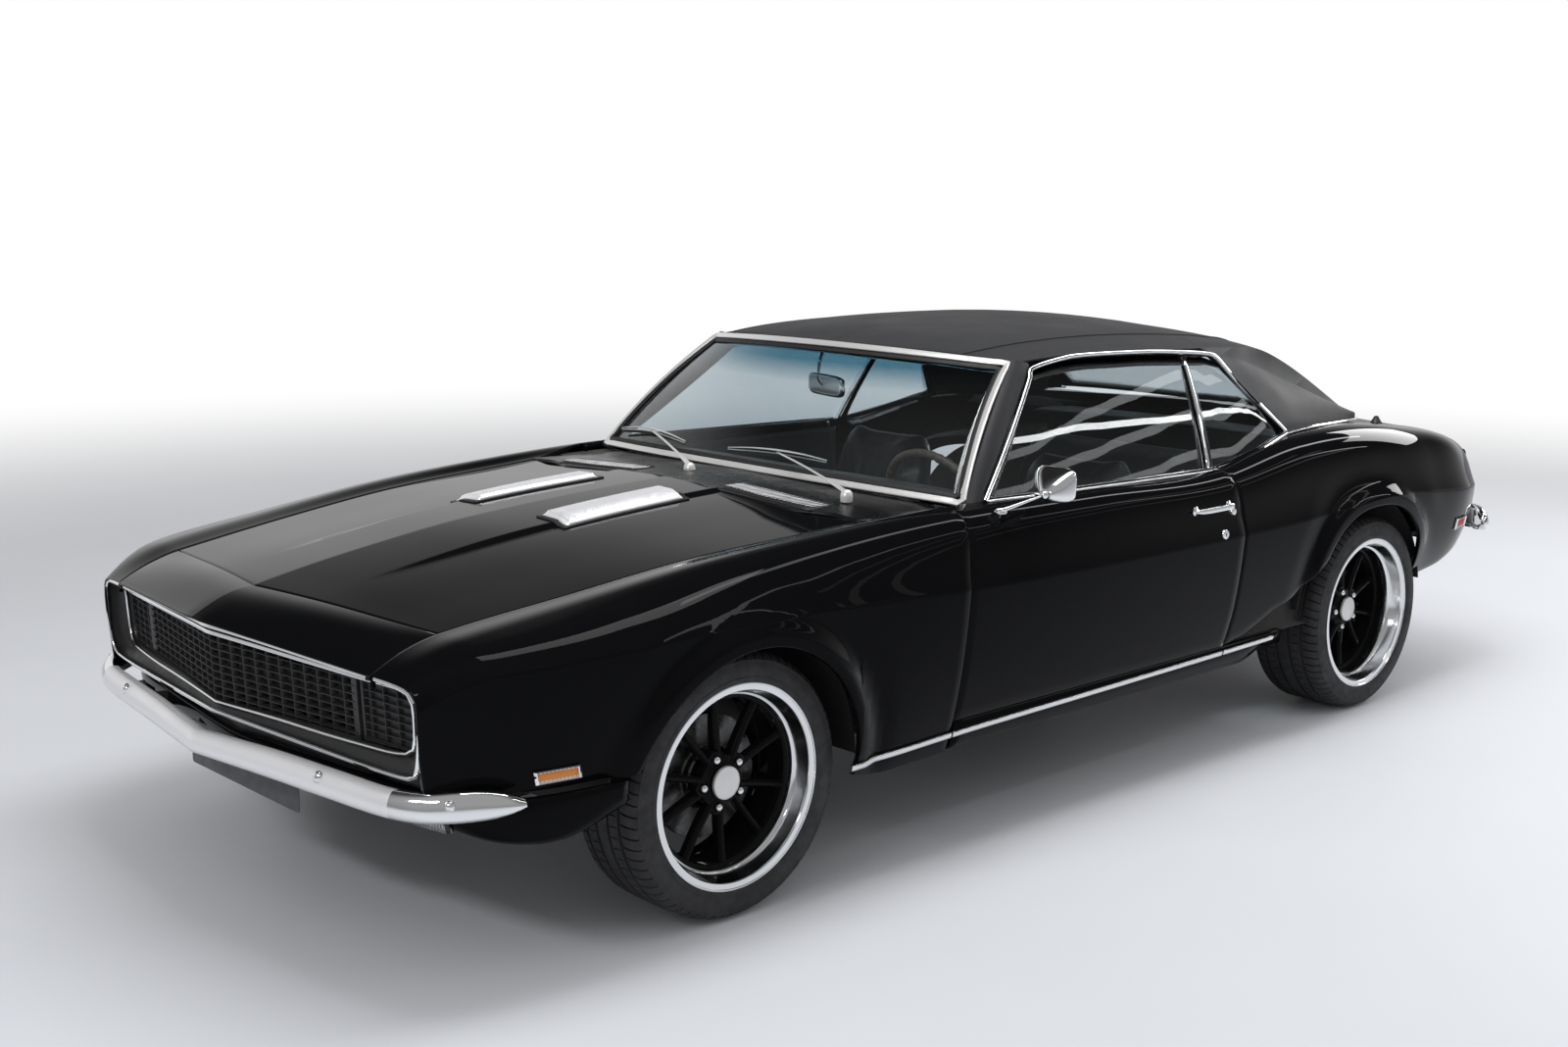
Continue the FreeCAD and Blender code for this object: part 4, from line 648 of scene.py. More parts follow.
alloy = finish("polished_alloy", (.8, .81, .82), .12, 1.0)
drive(alloy, "Roughness", effect(alloy, "turned_lines", "Value", Scale=1200.0, Low=.07, High=.2))

iron = finish("cast_iron", (.06, .058, .055), .7, .3)
tint(iron, effect(iron, "cloud", "Value", Scale=20.0, Low=0.0, High=1.0), (.05, .048, .046),
    (.11, .095, .085))
toothed(iron, 300.0, .3, .0005)

underbody = finish("underbody_black", (.02, .02, .02), .6)
tint(underbody, effect(underbody, "dust", "Mask", Amount=.6, Scale=10.0), (.014, .014, .014),
    (.09, .085, .08))
toothed(underbody, 180.0, .25, .0006)

rubber = patchy(finish("tyre_rubber", (.018, .018, .02), .66), 45.0, .6, .82)
tint(rubber, effect(rubber, "cloud", "Value", Scale=18.0, Low=0.0, High=1.0), (.015, .015, .016),
     (.028, .028, .031))
toothed(rubber, 900.0, .15, .0002)

plastic = patchy(finish("black_plastic", (.012, .012, .012), .45), 50.0, .36, .55)
# convex edges lighter: rubbed, worn edges and a painted highlight together
tint(plastic, effect(plastic, "wear_and_highlight", "Mask", Amount=.6, Scale=50.0), (.011, .011, .012),
    (.06, .06, .06))
print("outer finishes: 17")

# %% [markdown]
# ### Cabin finishes and glass
# Inside, almost everything is black: grained vinyl on the seats and door panels, a loop carpet and
# a soft headliner. Their colours are set darker than the black materials themselves, as painted
# shade of the closed cabin. Window glass is clear with a faint blue-green tint. Light has to pass
# through it to the seats, so its shadows are let through: the Light Path node swaps the glass for a
# plain see-through shader when a ray is only looking for a lamp.

# %% Cabin finishes and glass
def grained(name, colour, scale, roughness, strength):
    """Soft black trim with a pressed grain."""
    made = finish(name, colour, roughness, Sheen_Weight=.06)
    bump(made, effect(made, "grain", "Height", Scale=scale, Wrinkle=.6), strength, .0005)
    return patchy(made, 20.0, roughness - .08, roughness + .1)


# these colours are darker than black vinyl, carpet and cloth really are: partly painted shade
seat_vinyl = grained("seat_vinyl", (.0055, .0056, .0062), 500.0, .42, .3)
trim_vinyl = grained("trim_vinyl", (.005, .0051, .0056), 700.0, .5, .25)
carpet = grained("loop_carpet", (.006, .006, .0065), 260.0, .95, 1.0)
rim_brown = grained("rim_brown", (.115, .085, .062), 400.0, .5, .3)
headliner = grained("headliner", (.007, .007, .0075), 380.0, .9, .4)


def glass_finish(name, colour, shadow, roughness=0.0):
    """Clear glass whose shadows let light through."""
    made = finish(name, colour, roughness, Transmission_Weight=1.0, IOR=1.5)
    tree = made.node_tree
    shader, output = tree.nodes["Principled BSDF"], tree.nodes["Material Output"]
    clear = node(tree, "ShaderNodeBsdfTransparent", Color=(*shadow, 1))
    path = tree.nodes.new("ShaderNodeLightPath")
    passing = calculate(tree, "MAXIMUM", path.outputs["Is Shadow Ray"], path.outputs["Is Diffuse Ray"])
    mix = node(tree, "ShaderNodeMixShader", {0: passing, 1: shader.outputs["BSDF"],
        2: clear.outputs["BSDF"]})
    tree.links.new(mix.outputs["Shader"], output.inputs["Surface"])
    drive(made, "Normal", node(tree, "ShaderNodeBump", {"Height": effect(made, "cloud", "Value",
        Scale=2.0)}, Strength=.02, Distance=.0005).outputs["Normal"])
    return made


GLASS_TINT, GLASS_SHADOW = (.71, .77, .8), (.75, .8, .82)
glass = glass_finish("window_glass", GLASS_TINT, GLASS_SHADOW)
lens_clear = glass_finish("clear_lens", (.95, .95, .95), (.9, .9, .9), .05)
lens_amber = glass_finish("amber_lens", (.95, .36, .04), (.9, .4, .1), .12)
lens_red = glass_finish("red_lens", (.75, .015, .02), (.7, .05, .05), .12)
mirror_glass = patchy(finish("mirror_silver", (.9, .91, .92), .02, 1.0), 10.0, .01, .04)
print("cabin and glass finishes: 10")

# %% [markdown]
# ## The body's surface
# The outside of a car body is one flowing surface that is later cut into panels by the gaps. So the
# surface is described first, as half sections at stations along the car. Each section has four
# points: the sill edge, the widest point with its crease, the shoulder, and the seam with the hood
# or deck. Smooth curves join them, and a spline carries each point from station to station. Panels
# then only say which stretch of it they cover, so their reflections run on unbroken from one panel
# to the next.

# %% Body surface
STATIONS = array([
    # x,    sill y,z,    widest y,z, crease, shoulder y,z, seam y,z,   middle z
    [2.3, .7, .47, .72, .655, 40, .66, .69, .61, .695, .722],
    [2.2, .745, .455, .765, .68, 40, .69, .722, .605, .722, .757],
    [2.05, .815, .44, .84, .698, 38, .715, .75, .61, .747, .79],
    [1.75, .865, .43, .893, .712, 35, .735, .792, .64, .788, .832],
    [1.415, .875, .4, .905, .715, 30, .75, .836, .662, .828, .862],
    [1.0, .862, .27, .9, .705, 24, .765, .866, .69, .853, .885],
    [.69, .85, .262, .898, .69, 20, .78, .878, .705, .87, .895],
    [.1, .85, .262, .898, .68, 18, .795, .876, .7, .885, .9],
    [-.5, .85, .266, .9, .68, 18, .8, .868, .7, .885, .9],
    [-.95, .85, .3, .905, .69, 22, .77, .925, .7, .94, .945],
    [-1.331, .852, .36, .908, .712, 26, .755, .93, .62, .925, .935],
    [-1.7, .815, .385, .894, .69, 26, .738, .893, .61, .893, .915],
    [-2.0, .808, .44, .856, .665, 26, .708, .845, .6, .853, .88],
    [-2.2, .732, .52, .772, .65, 26, .652, .795, .58, .812, .845],
    [-2.29, .68, .545, .715, .64, 26, .6, .77, .555, .788, .825]])
AXLES = (1.415, -1.331)
HUB_Z = .32
HALF_GAP, SHEET = .0025, .0016
ARCHES = ((1.415, .345, .345, 2.0), (-1.272, .337, .373, 2.4), (-1.331, .345, .345, 2.0))


def ease(low, high, value):
    """A smooth step from 0 at low to 1 at high."""
    t = clip((asarray(value, float) - low) / (high - low), 0, 1)
    return t * t * (3 - 2 * t)


def follow(table, x):
    """Every column of a table at places x, on a smooth curve through its rows (first column is x)."""
    table = table[np.argsort(table[:, 0])]
    places, values = table[:, 0], table[:, 1:]
    step = np.diff(places)[:, None]
    slope = np.diff(values, axis=0) / step
    tangent = np.vstack([slope[:1], (slope[:-1] * step[1:] + slope[1:] * step[:-1])
        / (step[:-1] + step[1:]), slope[-1:]])
    x = asarray(x, float)
    k = clip(np.searchsorted(places, x) - 1, 0, len(places) - 2)
    t = ((x - places[k]) / step[k, 0])[..., None]
    return ((2 * t ** 3 - 3 * t ** 2 + 1) * values[k] + (t ** 3 - 2 * t ** 2 + t) * step[k] * tangent[k]
            + (3 * t ** 2 - 2 * t ** 3) * values[k + 1] + (t ** 3 - t ** 2) * step[k] * tangent[k + 1])


def bezier(a, b, c, d, t):
    """Points of a cubic curve."""
    t = asarray(t, float)[..., None]
    return (1 - t) ** 3 * a + 3 * (1 - t) ** 2 * t * b + 3 * (1 - t) * t ** 2 * c + t ** 3 * d


def arch_flare(x, z):
    """How far the body swells round the wheel openings, less so low down behind the rear wheel."""
    away = np.full(np.broadcast(x, z).shape, 9.0)
    for middle, half, tall, power in ARCHES:
        total = np.abs((x - middle) / half) ** power + np.abs((z - HUB_Z) / tall) ** power
        away = np.minimum(away, (total ** (1 / power) - 1) * half)
    swell = .017 * (1 - ease(.022, .066, away)) * (away > -.05)
    swell = swell - .004 * ease(.05, .075, away) * (1 - ease(.075, .15, away))
    swell = swell * (1 - ease(.62, .46, z) * ease(-.05, -.2, x - ARCHES[1][0]) * (x < 0))
    return swell * ease(.24, .34, z)


def side_points(x, v):
    """Points of the left side. v is 0-1 up to the crease, 1-2 to the shoulder and 2-3 to the seam."""
    x, v = np.broadcast_arrays(asarray(x, float), asarray(v, float))
    here = follow(STATIONS, x)
    sill, wide, shoulder, seam = (here[..., k:k + 2] for k in (0, 2, 5, 7))
    lean = np.radians(here[..., 4])
    tall = wide[..., 1] - sill[..., 1]
    pair = lambda a, b: stack([a, b], -1)
    low = bezier(sill,
                 pair(sill[..., 0] + .6 * (wide[..., 0] - sill[..., 0]), sill[..., 1] + .25 * tall),
                 pair(wide[..., 0], wide[..., 1] - .45 * tall), wide, clip(v, 0, 1))
    reach = np.hypot(*np.moveaxis(shoulder - wide, -1, 0))
    up = bezier(wide, wide + pair(-np.sin(lean), np.cos(lean)) * reach[..., None] * .42,
                shoulder + pair(np.full_like(reach, math.cos(.12)), np.full_like(reach, -math.sin(.12)))
                * reach[..., None] * .45, shoulder, clip(v - 1, 0, 1))
    run = np.abs(seam[..., 0] - shoulder[..., 0])
    top = bezier(shoulder, shoulder + pair(-.35 * run, .042 * run), seam + pair(.35 * run, .007 * run),
                 seam, clip(v - 2, 0, 1))
    flat = where((v <= 1)[..., None], low, where((v <= 2)[..., None], up, top))
    y = flat[..., 0] + arch_flare(x, flat[..., 1])
    return xyz(x, y, flat[..., 1])


def height_to_v(x, z, low=0.0, high=1.0):
    """The v at which the side reaches a height, found by halving."""
    x, z = np.broadcast_arrays(asarray(x, float), asarray(z, float))
    low, high = np.full(x.shape, float(low)), np.full(x.shape, float(high))
    for _ in range(28):
        middle = (low + high) / 2
        above = side_points(x, middle)[..., 2] > z
        high, low = where(above, middle, high), where(above, low, middle)
    return (low + high) / 2


def side_at(x, z, out=0.0):
    """The point of the side at a place and height, moved outwards a little."""
    return side_points(x, height_to_v(x, z, 0, 2)) + array([0, out, 0])


print("widest point: %.3f m half width" % side_points(array(-1.331), array(1.0))[1])

# %% [markdown]
# ### Cutting panels out of the surface
# A panel is a grid of points: columns run along the car and rows run up the side. Its front and
# rear edges may slant, so each column slides along by a share of the edge's slant. Its lower edge
# may follow the wheel opening. The grid is closely spaced where the shape turns quickly, which
# keeps the crease crisp. Then the sheet gets a return flange all round and its real thickness, so
# that the gaps look into a dark slot between two folded edges, as on a real car.

# %% Panel maker
LOW_ROWS = array([0, .1, .2, .3, .4, .5, .6, .7, .78, .85, .91, .95, .98, .995])
HIGH_ROWS = array([1.005, 1.02, 1.05, 1.1, 1.17, 1.25, 1.34, 1.44, 1.54, 1.64, 1.74, 1.83, 1.91, 2.0])
TOP_ROWS = array([2.1, 2.25, 2.4, 2.55, 2.7, 2.85, 2.95, 3.0])
PANEL_ROWS = concatenate([LOW_ROWS, HIGH_ROWS, TOP_ROWS])


def arch_height(x):
    """The height of the wheel openings' edge at x, or 0 away from them."""
    height = np.zeros_like(x)
    for middle, half, tall, power in ARCHES:
        share = np.abs(x - middle) / half
        rise = clip(1 - share ** power, 0, None) ** (1 / power)
        height = np.maximum(height, where(share < 1, HUB_Z + tall * rise, 0))
    return height


def arch_columns(middle, half, low_turn, high_turn, count=44):
    """Column places across a wheel opening, close together at its steep ends."""
    return middle + half * np.cos(np.radians(linspace(low_turn, high_turn, count)))


def side_panel(columns, low_z, top_v=3.0, front=None, rear=None, blend=.25):
    """A panel of the left side. low_z and top_v may be functions of x; front and rear give x by z."""
    x = np.sort(asarray(columns, float))[::-1]
    floor = np.maximum(arch_height(x), low_z(x) if callable(low_z) else low_z)
    low_v = height_to_v(x, floor)
    top = top_v(x) if callable(top_v) else np.full(x.shape, float(top_v))
    rows = PANEL_ROWS[:, None]
    v = where(rows > 2, (top - 2) * (rows - 2) + 2, where(rows < 1, low_v + (1 - low_v) * rows, rows))
    places = np.broadcast_to(x, v.shape).copy()
    for edge, end in ((front, x[0]), (rear, x[-1])):
        if edge is not None:
            z = side_points(places, v)[..., 2]
            share = clip(1 - np.abs(places - end) / blend, 0, 1) ** 1.5
            places = places + (edge(z) - end) * share
    return side_points(places, v)


def fold(edge, neighbour, inward, soft, deep):
    """Three more rows past an edge: they turn round a small radius and go inwards."""
    out = edge - neighbour
    out /= np.linalg.norm(out, axis=-1)[:, None] + 1e-9
    return array([edge + out * soft * .7 + inward * soft * .3, edge + out * soft + inward * soft,
                  edge + out * soft + inward * deep])


def flanged(rows, deep, soft, inward, top):
    """Fold a grid's four edges over. The last row folds the way that `top` says, the others inwards."""
    inward, top = array(inward), array(top)
    rows = concatenate([fold(rows[0], rows[1], inward, soft, deep)[::-1], rows,
                        fold(rows[-1], rows[-2], top, soft, deep)])
    first = fold(rows[:, 0], rows[:, 1], inward, soft, deep)[::-1]
    last = fold(rows[:, -1], rows[:, -2], inward, soft, deep)
    return concatenate([np.moveaxis(first, 0, 1), rows, np.moveaxis(last, 0, 1)], 1)


def sheet_metal(name, points, deep=.014):
    """A pressed side panel with its return flanges and its thickness."""
    return thicken(outward(grid(name, flanged(points, deep, .003, (0, -1.0, 0), (0, -.25, -1.0)))),
        SHEET)


def outward(obj, away=(0.0, 0.0, .3)):
    """Turn an open sheet's faces so that most look away from a point inside the car."""
    mesh = obj.data
    n = len(mesh.polygons)
    centres, normals, areas = np.empty(n * 3), np.empty(n * 3), np.empty(n)
    mesh.polygons.foreach_get("center", centres)
    mesh.polygons.foreach_get("normal", normals)
    mesh.polygons.foreach_get("area", areas)
    lean = ((centres.reshape(-1, 3) - array(away)) * normals.reshape(-1, 3)).sum(1) * areas
    if lean.sum() < 0:
        mesh.flip_normals()
    return obj


def both_sides(obj, name, body, material, node_name):
    """Finish a left piece, and make the right one from it. {} in names becomes the side."""
    right = mirrored(obj, name.format("right"))
    obj.name = obj.data.name = name.format("left")
    for piece_obj, side in ((obj, "left"), (right, "right")):
        piece(piece_obj, body.format(side), material, [node_name.format(side)] if node_name else ())
    return obj, right


# %% [markdown]
# ### Fenders
# The front fender runs from the door to the grille and carries the wheel opening with its swollen
# lip. Behind the wheel it drops to the sill. Its top edge follows the hood, then swings out beside
# the cowl to the foot of the windscreen pillar.

# %% Fenders
def door_front_x(z):
    """The gap ahead of the door slants back as it rises."""
    return interp(z, [.26, .331, .69, .871, .9], [.716, .711, .682, .648, .642])


def door_rear_x(z):
    """The gap behind the door leans forward in the middle."""
    return interp(z, [.33, .45, .69, .86, .9], [-.488, -.512, -.538, -.522, -.517])


def fender_front_x(z):
    """The fender's leading edge beside the grille."""
    return interp(z, [.45, .6, .68, .7, .725], [2.192, 2.204, 2.208, 2.213, 2.226])


def fender_low(x):
    """Sill height behind the wheel and the seam with the front apron ahead of it."""
    return where(x < AXLES[0], .264, .43)


def fender_top(x):
    """The inner edge: along the hood, then outwards beside the cowl."""
    return 3.0 - .93 * ease(.9, .64, x)


EDGE_SHARES = [0, .5, .8, 1, 1.25, 1.5, 1.75, 2, 3]
FRONT_EDGE = array([(2.188, .748, .43), (2.2, .7455, .53), (2.2045, .7485, .59), (2.2055, .749, .625),
    (2.206, .745, .65), (2.2075, .736, .664), (2.2105, .718, .6725), (2.214, .69, .6765),
    (2.2257, .6055, .6835)])


def meet_grille(points):
    """Draw the fender's front end in to the moulding round the grille."""
    edge = stack([interp(PANEL_ROWS, EDGE_SHARES, FRONT_EDGE[:, k]) for k in range(3)], -1)
    first = points[:, :1, 0]
    share = clip((points[..., 0] - 2.066) / (first - 2.066), 0, 1) ** 1.6
    return points + share[..., None] * (edge - points[:, 0])[:, None]


front_leg = linspace(.69, 1.068, 16)
opening = arch_columns(AXLES[0], .345, 172, 19)
ahead = linspace(1.752, 2.205, 30)
fender_columns = concatenate([front_leg, [1.0695, 1.0705], opening, ahead])
fender = side_panel(fender_columns, fender_low, fender_top, front=fender_front_x,
                    rear=lambda z: door_front_x(z) + HALF_GAP, blend=.3)
fender = sheet_metal("fender", meet_grille(fender))
fenders = both_sides(fender, "front_fender_skin_{}", "body", paint, "front_fender_{}")
print("fender faces:", len(fenders[0].data.polygons))

# %% [markdown]
# ### Doors
# The door skin has the same crease and a slightly curved edge at each end. Its top turns in to the
# window slot. An inner skin closes it, so an open door shows its own thickness and its trim panel.

# %% Doors
DOOR_FLOOR = .348
door_columns = linspace(-.512, .685, 44)
door_points = side_panel(door_columns, DOOR_FLOOR, 2.16, front=lambda z: door_front_x(z) - HALF_GAP,
    rear=lambda z: door_rear_x(z) + HALF_GAP, blend=.6)
door = sheet_metal("door", door_points, .03)
doors = both_sides(door, "door_skin_{}", "door_{}", paint, "door_{}")
print("door faces:", len(doors[0].data.polygons))

# %% [markdown]
# ### Rear quarters
# The quarter swells over the rear wheel: behind the door its shoulder kicks up and then falls away
# to the tail in one long curve. It is open round the wheel, and its rear edge leans forward to the
# bottom where it meets the bumper.

# %% Quarters
def quarter_low(x):
    """The lower edge: the sill, the slanting edge ahead of the wheel, and the rising tail."""
    ahead_of_wheel = interp(x, [-1.07, -.94, -.84, -.8, -.745, -.606, -.5], [.608, .518, .449, .436,
        .427, .367, .345])
    behind_wheel = interp(x, [-2.27, -2.15, -2.0, -1.86, -1.74, -1.68], [.535, .505, .455, .405, .385,
        .375])
    return where(x > AXLES[1], ahead_of_wheel, behind_wheel)


def quarter_top(x):
    """The inner edge: at the side window's sill in front, then in to the deck seam."""
    return 2.16 + .84 * ease(-.9, -1.06, x)


def tail_x(z):
    """The tail's rear edge in side view."""
    return interp(z, [.5, .58, .66, .74, .8, .84], [-2.236, -2.262, -2.272, -2.262, -2.238, -2.215])


front_part = linspace(-.925, -.522, 20)
opening = arch_columns(-1.304, .369, 172, 8)
rear_part = linspace(-2.262, -1.684, 30)
quarter_columns = concatenate([rear_part, [-1.6735, -1.6725], opening, [-.9355, -.9345], front_part])
quarter_points = side_panel(quarter_columns, quarter_low, quarter_top, rear=tail_x,
    front=lambda z: door_rear_x(z) - HALF_GAP, blend=.22)
quarter = sheet_metal("quarter", quarter_points)
quarters = both_sides(quarter, "quarter_skin_{}", "body", paint, "quarter_panel_{}")
print("quarter faces:", len(quarters[0].data.polygons))

# %% [markdown]
# ### Hood, nose and cowl
# The hood is a wide crowned lid with a sharp keel down its middle, so its two halves catch the
# light differently. A low raised field runs between two louvre ornaments and fades out ahead of
# them. The nose panel carries the keel on to the grille, and the cowl behind the hood closes the
# gap to the windscreen. All three lie on one height function, so the keel is one straight line.

# %% Lid heights
def lid_height(x, y):
    """The height of the hood, cowl and deck between the two seams."""
    x, y = np.broadcast_arrays(asarray(x, float), asarray(y, float))
    here = follow(STATIONS, x)
    seam_y, seam_z, middle_z = here[..., 7], here[..., 8], here[..., 9]
    share = clip(1 - np.abs(y) / seam_y, -.2, 1)
    keel = .35 + .45 * ease(1.0, 2.1, x)
    crown = (1 - keel) * np.sin(share * pi / 2) + keel * share
    return seam_z + (middle_z - seam_z) * crown


def hood_height(x, y):
    """The lid with the raised field between the louvres."""
    field = 1 - ease(.205, .232, np.abs(y) + .01 * (asarray(x) - 1.2))
    return lid_height(x, y) + .009 * field * ease(2.02, 1.55, x) - .002 * ease(.205, .5, np.abs(y))


def seam_y(x):
    """The seam between the lids and the sides."""
    return follow(STATIONS, x)[..., 7]


def lid_grid(x_rows, half_wide, height, steps):
    """A grid across the car: each row has its x as a function of y and its half width."""
    rows = []
    for place, half in zip(x_rows, half_wide):
        y = half * steps
        x = place(y) if callable(place) else np.full(y.shape, place)
        rows.append(xyz(x, y, height(x, y)))
    return array(rows)


FIELD_EDGE = (.29, .35)


def lid_steps():
    """Places across a lid, from -1 to 1, close together at the keel and at the raised field's edge."""
    half = concatenate([[0, .008, .02, .045], linspace(.08, FIELD_EDGE[0] - .01, 7),
        linspace(*FIELD_EDGE, 12), linspace(FIELD_EDGE[1] + .03, .95, 14), [.975, .99, 1]])
    return concatenate([-half[:0:-1], half])


def lid_flanges(rows, deep=.016):
    """Fold a lid's four edges down."""
    return flanged(rows, deep, .004, (0, 0, -1.0), (0, 0, -1.0))


print("hood height at the middle: %.3f m" % hood_height(array(1.4), array(0.0)))

# %% Hood
def hood_front_x(y):
    """The hood's V-shaped front edge."""
    return 2.166 - .105 * np.abs(y) / .605


def hood_rear_x(y):
    """The hood's rear edge, which curls forward a little to its corners."""
    return .933 - .05 * ease(.52, .7, np.abs(y))


hood_places = []
for share in concatenate([[0, .004], linspace(.015, .985, 54), [.996, 1]]):
    hood_places.append(lambda y, s=share: hood_front_x(y) + s * (hood_rear_x(y) - hood_front_x(y)))
hood_wide = [float(seam_y(place(array([.62]))[0])) - HALF_GAP * 2 for place in hood_places]
hood_rows = lid_grid(hood_places, hood_wide, hood_height, lid_steps())
hood = grid("hood_skin", lid_flanges(hood_rows))
thicken(outward(hood), SHEET)
piece(hood, "hood", paint, ["hood"])
print("hood faces:", len(hood.data.polygons))

# %% [markdown]
# ### Louvre ornaments
# Each ornament is a chrome casting of close cross ribs in a black base. The ribs are one strip
# whose height goes up and down, cut from a grid, with its ends chamfered.

# %% Louvre ornaments
def louvre_middle(x, side):
    """An ornament's middle line, which closes in a little towards the windscreen."""
    return side * (.193 - .012 * (1.445 - x) / .42)


def louvre(name, side):
    """A ribbed chrome strip that lies on the hood and follows its rise."""
    long = linspace(1.455, 1.066, 2 * 42 + 1)
    across = array([-.052, -.048, -.042, -.02, 0, .02, .042, .048, .052])
    lift = array([0, .006, .009, .0095, .0096, .0095, .009, .006, 0])
    rows = []
    for k, x in enumerate(long):
        y = louvre_middle(x, side) + across
        rib = .0032 if k % 2 else 0.0
        end = min(1.0, min(k, len(long) - 1 - k) / 3)
        z = hood_height(np.full(y.shape, x), y) + .004 + (lift + rib * (lift > .007)) * end
        rows.append(xyz(x, y, z))
    return thicken(crease_shading(outward(grid(name, rows)), 25), .003)


def louvre_base(name, side):
    """The black plate under an ornament."""
    long, across = linspace(1.468, 1.053, 24), linspace(-.059, .059, 9)
    rows = []
    for x in long:
        y = louvre_middle(x, side) + across
        rows.append(xyz(x, y, hood_height(np.full(y.shape, x), y) + .0045))
    return thicken(outward(grid(name, rows)), .006, .0015)


for label, side in SIDES:
    piece(louvre("louvre_" + label, side), "hood", louvre_silver)
    piece(louvre_base("louvre_base_" + label, side), "hood", plastic)
print("louvres: 42 ribs each")

# %% [markdown]
# ### Nose
# The nose panel is the painted header over the grille. It runs from the hood's V edge to the
# grille's top edge and rolls under there, and a thin chrome line follows that edge.

# %% Nose
NOSE_HALF, NOSE_SWEEP, NOSE_SEAM = .712, .118, .603


def nose_edge_x(y):
    """The nose's front edge in plan."""
    return 2.326 - NOSE_SWEEP * np.abs(y) / NOSE_HALF - .004 * np.exp(-(asarray(y) / .02) ** 2)


def nose_edge_z(y):
    """The nose's front edge in front view."""
    return interp(np.abs(y), [0, .3, .605, .68, NOSE_HALF], [.716, .7, .683, .677, .671])


def nose_grid():
    """The header's rows, from behind the hood's front edge to its rolled front."""
    y = NOSE_SEAM * lid_steps()
    back = hood_front_x(y) + 2 * HALF_GAP
    front = nose_edge_x(y)
    front_z = nose_edge_z(y)
    drop = front_z - hood_height(front, y)
    rows = []
    for share in concatenate([[0], linspace(.02, .9, 18), [.94, .97, 1]]):
        x = back + share * (front - back)
        swell = .01 * np.sin(share * pi) * (1 - (y / NOSE_SEAM) ** 4)
        rows.append(xyz(x, y, hood_height(x, y) + drop * share ** 1.6 + swell))
    for turn in (30, 60, 90, 130):
        a = radians(turn)
        rows.append(xyz(front + .004 * math.sin(a), y, front_z - .004 * (1 - math.cos(a))))
    tuck = interp(np.abs(y), [0, NOSE_SEAM], [.03, .008])
    rows.append(xyz(front - tuck, y, front_z - interp(np.abs(y), [0, NOSE_SEAM], [.02, .01])))
    return array(rows)


rows = nose_grid()
left = rows[:, -1:] + array([0, .002, -.003])
right = rows[:, :1] + array([0, -.002, -.003])
deep = array([0, 0, -.016])
rows = concatenate([right + deep, right, rows, left, left + deep], 1)
nose = outward(grid("nose_skin", concatenate([rows[:1] + deep, rows])), (2.1, 0, .5))
thicken(nose, SHEET)
piece(nose, "body", paint, ["nose_panel"])
print("nose faces:", len(nose.data.polygons))

# %% [markdown]
# ### Cowl
# The cowl is the black panel between the hood and the windscreen. Air for the cabin goes in through
# two vent fields of fine slots near its middle, and the wiper spindles stand in it.

# %% Cowl
def screen_foot_x(y):
    """The windscreen's lower edge in plan."""
    return .645 - .088 * (np.abs(y) / .748) ** 2.2


def cowl_half(x):
    """Half the cowl's width: wider beside the windscreen, then clear of the open door's edge."""
    return .7 + .108 * ease(.9, .62, x) - .04 * ease(.625, .565, x)


def cowl_height(x, y):
    """The cowl dips a little behind the hood's edge, with a trough before the glass."""
    trough = .02 * ease(.6, .78, np.abs(y)) * ease(.9, .7, x)
    return lid_height(x, y) + .002 - .01 * ease(.8, .66, x) - trough


steps = linspace(-1, 1, 61)
rows = []
for share in concatenate([[0, .01], linspace(.04, 1, 22)]):
    y = steps * .8
    x = (hood_rear_x(y) - 2 * HALF_GAP) + share * (screen_foot_x(y) + .004 - hood_rear_x(y)
                                                   + 2 * HALF_GAP)
    y = steps * (cowl_half(x) - HALF_GAP)
    rows.append(xyz(x, y, cowl_height(x, y)))
rows = [rows[0] - [0, 0, .02]] + rows
cowl = outward(grid("cowl_skin", rows))
thicken(cowl, .003)
piece(cowl, "body", cowl_black, ["cowl_panel"])


def vent_field(name, side):
    """Fine slots in a vent field, as rows of little bars across it."""
    bars = []
    for k in range(22):
        y = side * (.2 + .0155 * k)
        x_front, x_rear = .905 - .1 * abs(k - 10.5) / 90, .828
        z = float(cowl_height(array(.87), array(y))) + .0035
        bars.append(sweep(name, [(x_front, y, z), (x_rear, y, z - .002)],
                          box_profile(.006, .004, .0015, 1)))
    return crease_shading(join(name, bars), 40)


def vent_shade_sheet(name, side):
    """A black sheet under a vent field's bars: painted shade for the dark below the slots."""
    rows = []
    for x in linspace(.912, .82, 6):
        y = side * linspace(.186, .54, 14)
        rows.append(xyz(x, y, cowl_height(np.full(y.shape, x), y) + .0012))
    return thicken(outward(grid(name, rows)), .0012)


for label, side in SIDES:
    piece(vent_field("cowl_vent_" + label, side), "body", steel)
    # painted shade: a black sheet under each vent field stands for the dark below the slots
    piece(vent_shade_sheet("cowl_vent_floor_" + label, side), "body", seal)
print("cowl with two vent fields")

# %% [markdown]
# ### Trunk lid, deck and tail
# The trunk lid is short and slopes down to the tail. Ahead of it, a strip of body fills the space
# to the rear window. The tail panel closes the rear between the quarters and turns under to a small
# apron.

# %% Deck and trunk lid
DECK_FRONT, DECK_REAR = -1.632, -2.196


def deck_rows(front, rear, count, inset_wide):
    """Rows of a crowned panel behind the rear window."""
    places = concatenate([[front, front - .003], linspace(front - .012, rear + .012, count),
        [rear + .003, rear]])
    wide = [float(seam_y(array(x))) - inset_wide for x in places]
    return lid_grid(list(places), wide, lid_height, lid_steps())


trunk = grid("trunk_skin", lid_flanges(deck_rows(DECK_FRONT, DECK_REAR, 34, HALF_GAP * 2), .018))
thicken(outward(trunk), SHEET)
piece(trunk, "trunk_lid", paint, ["trunk_lid"])

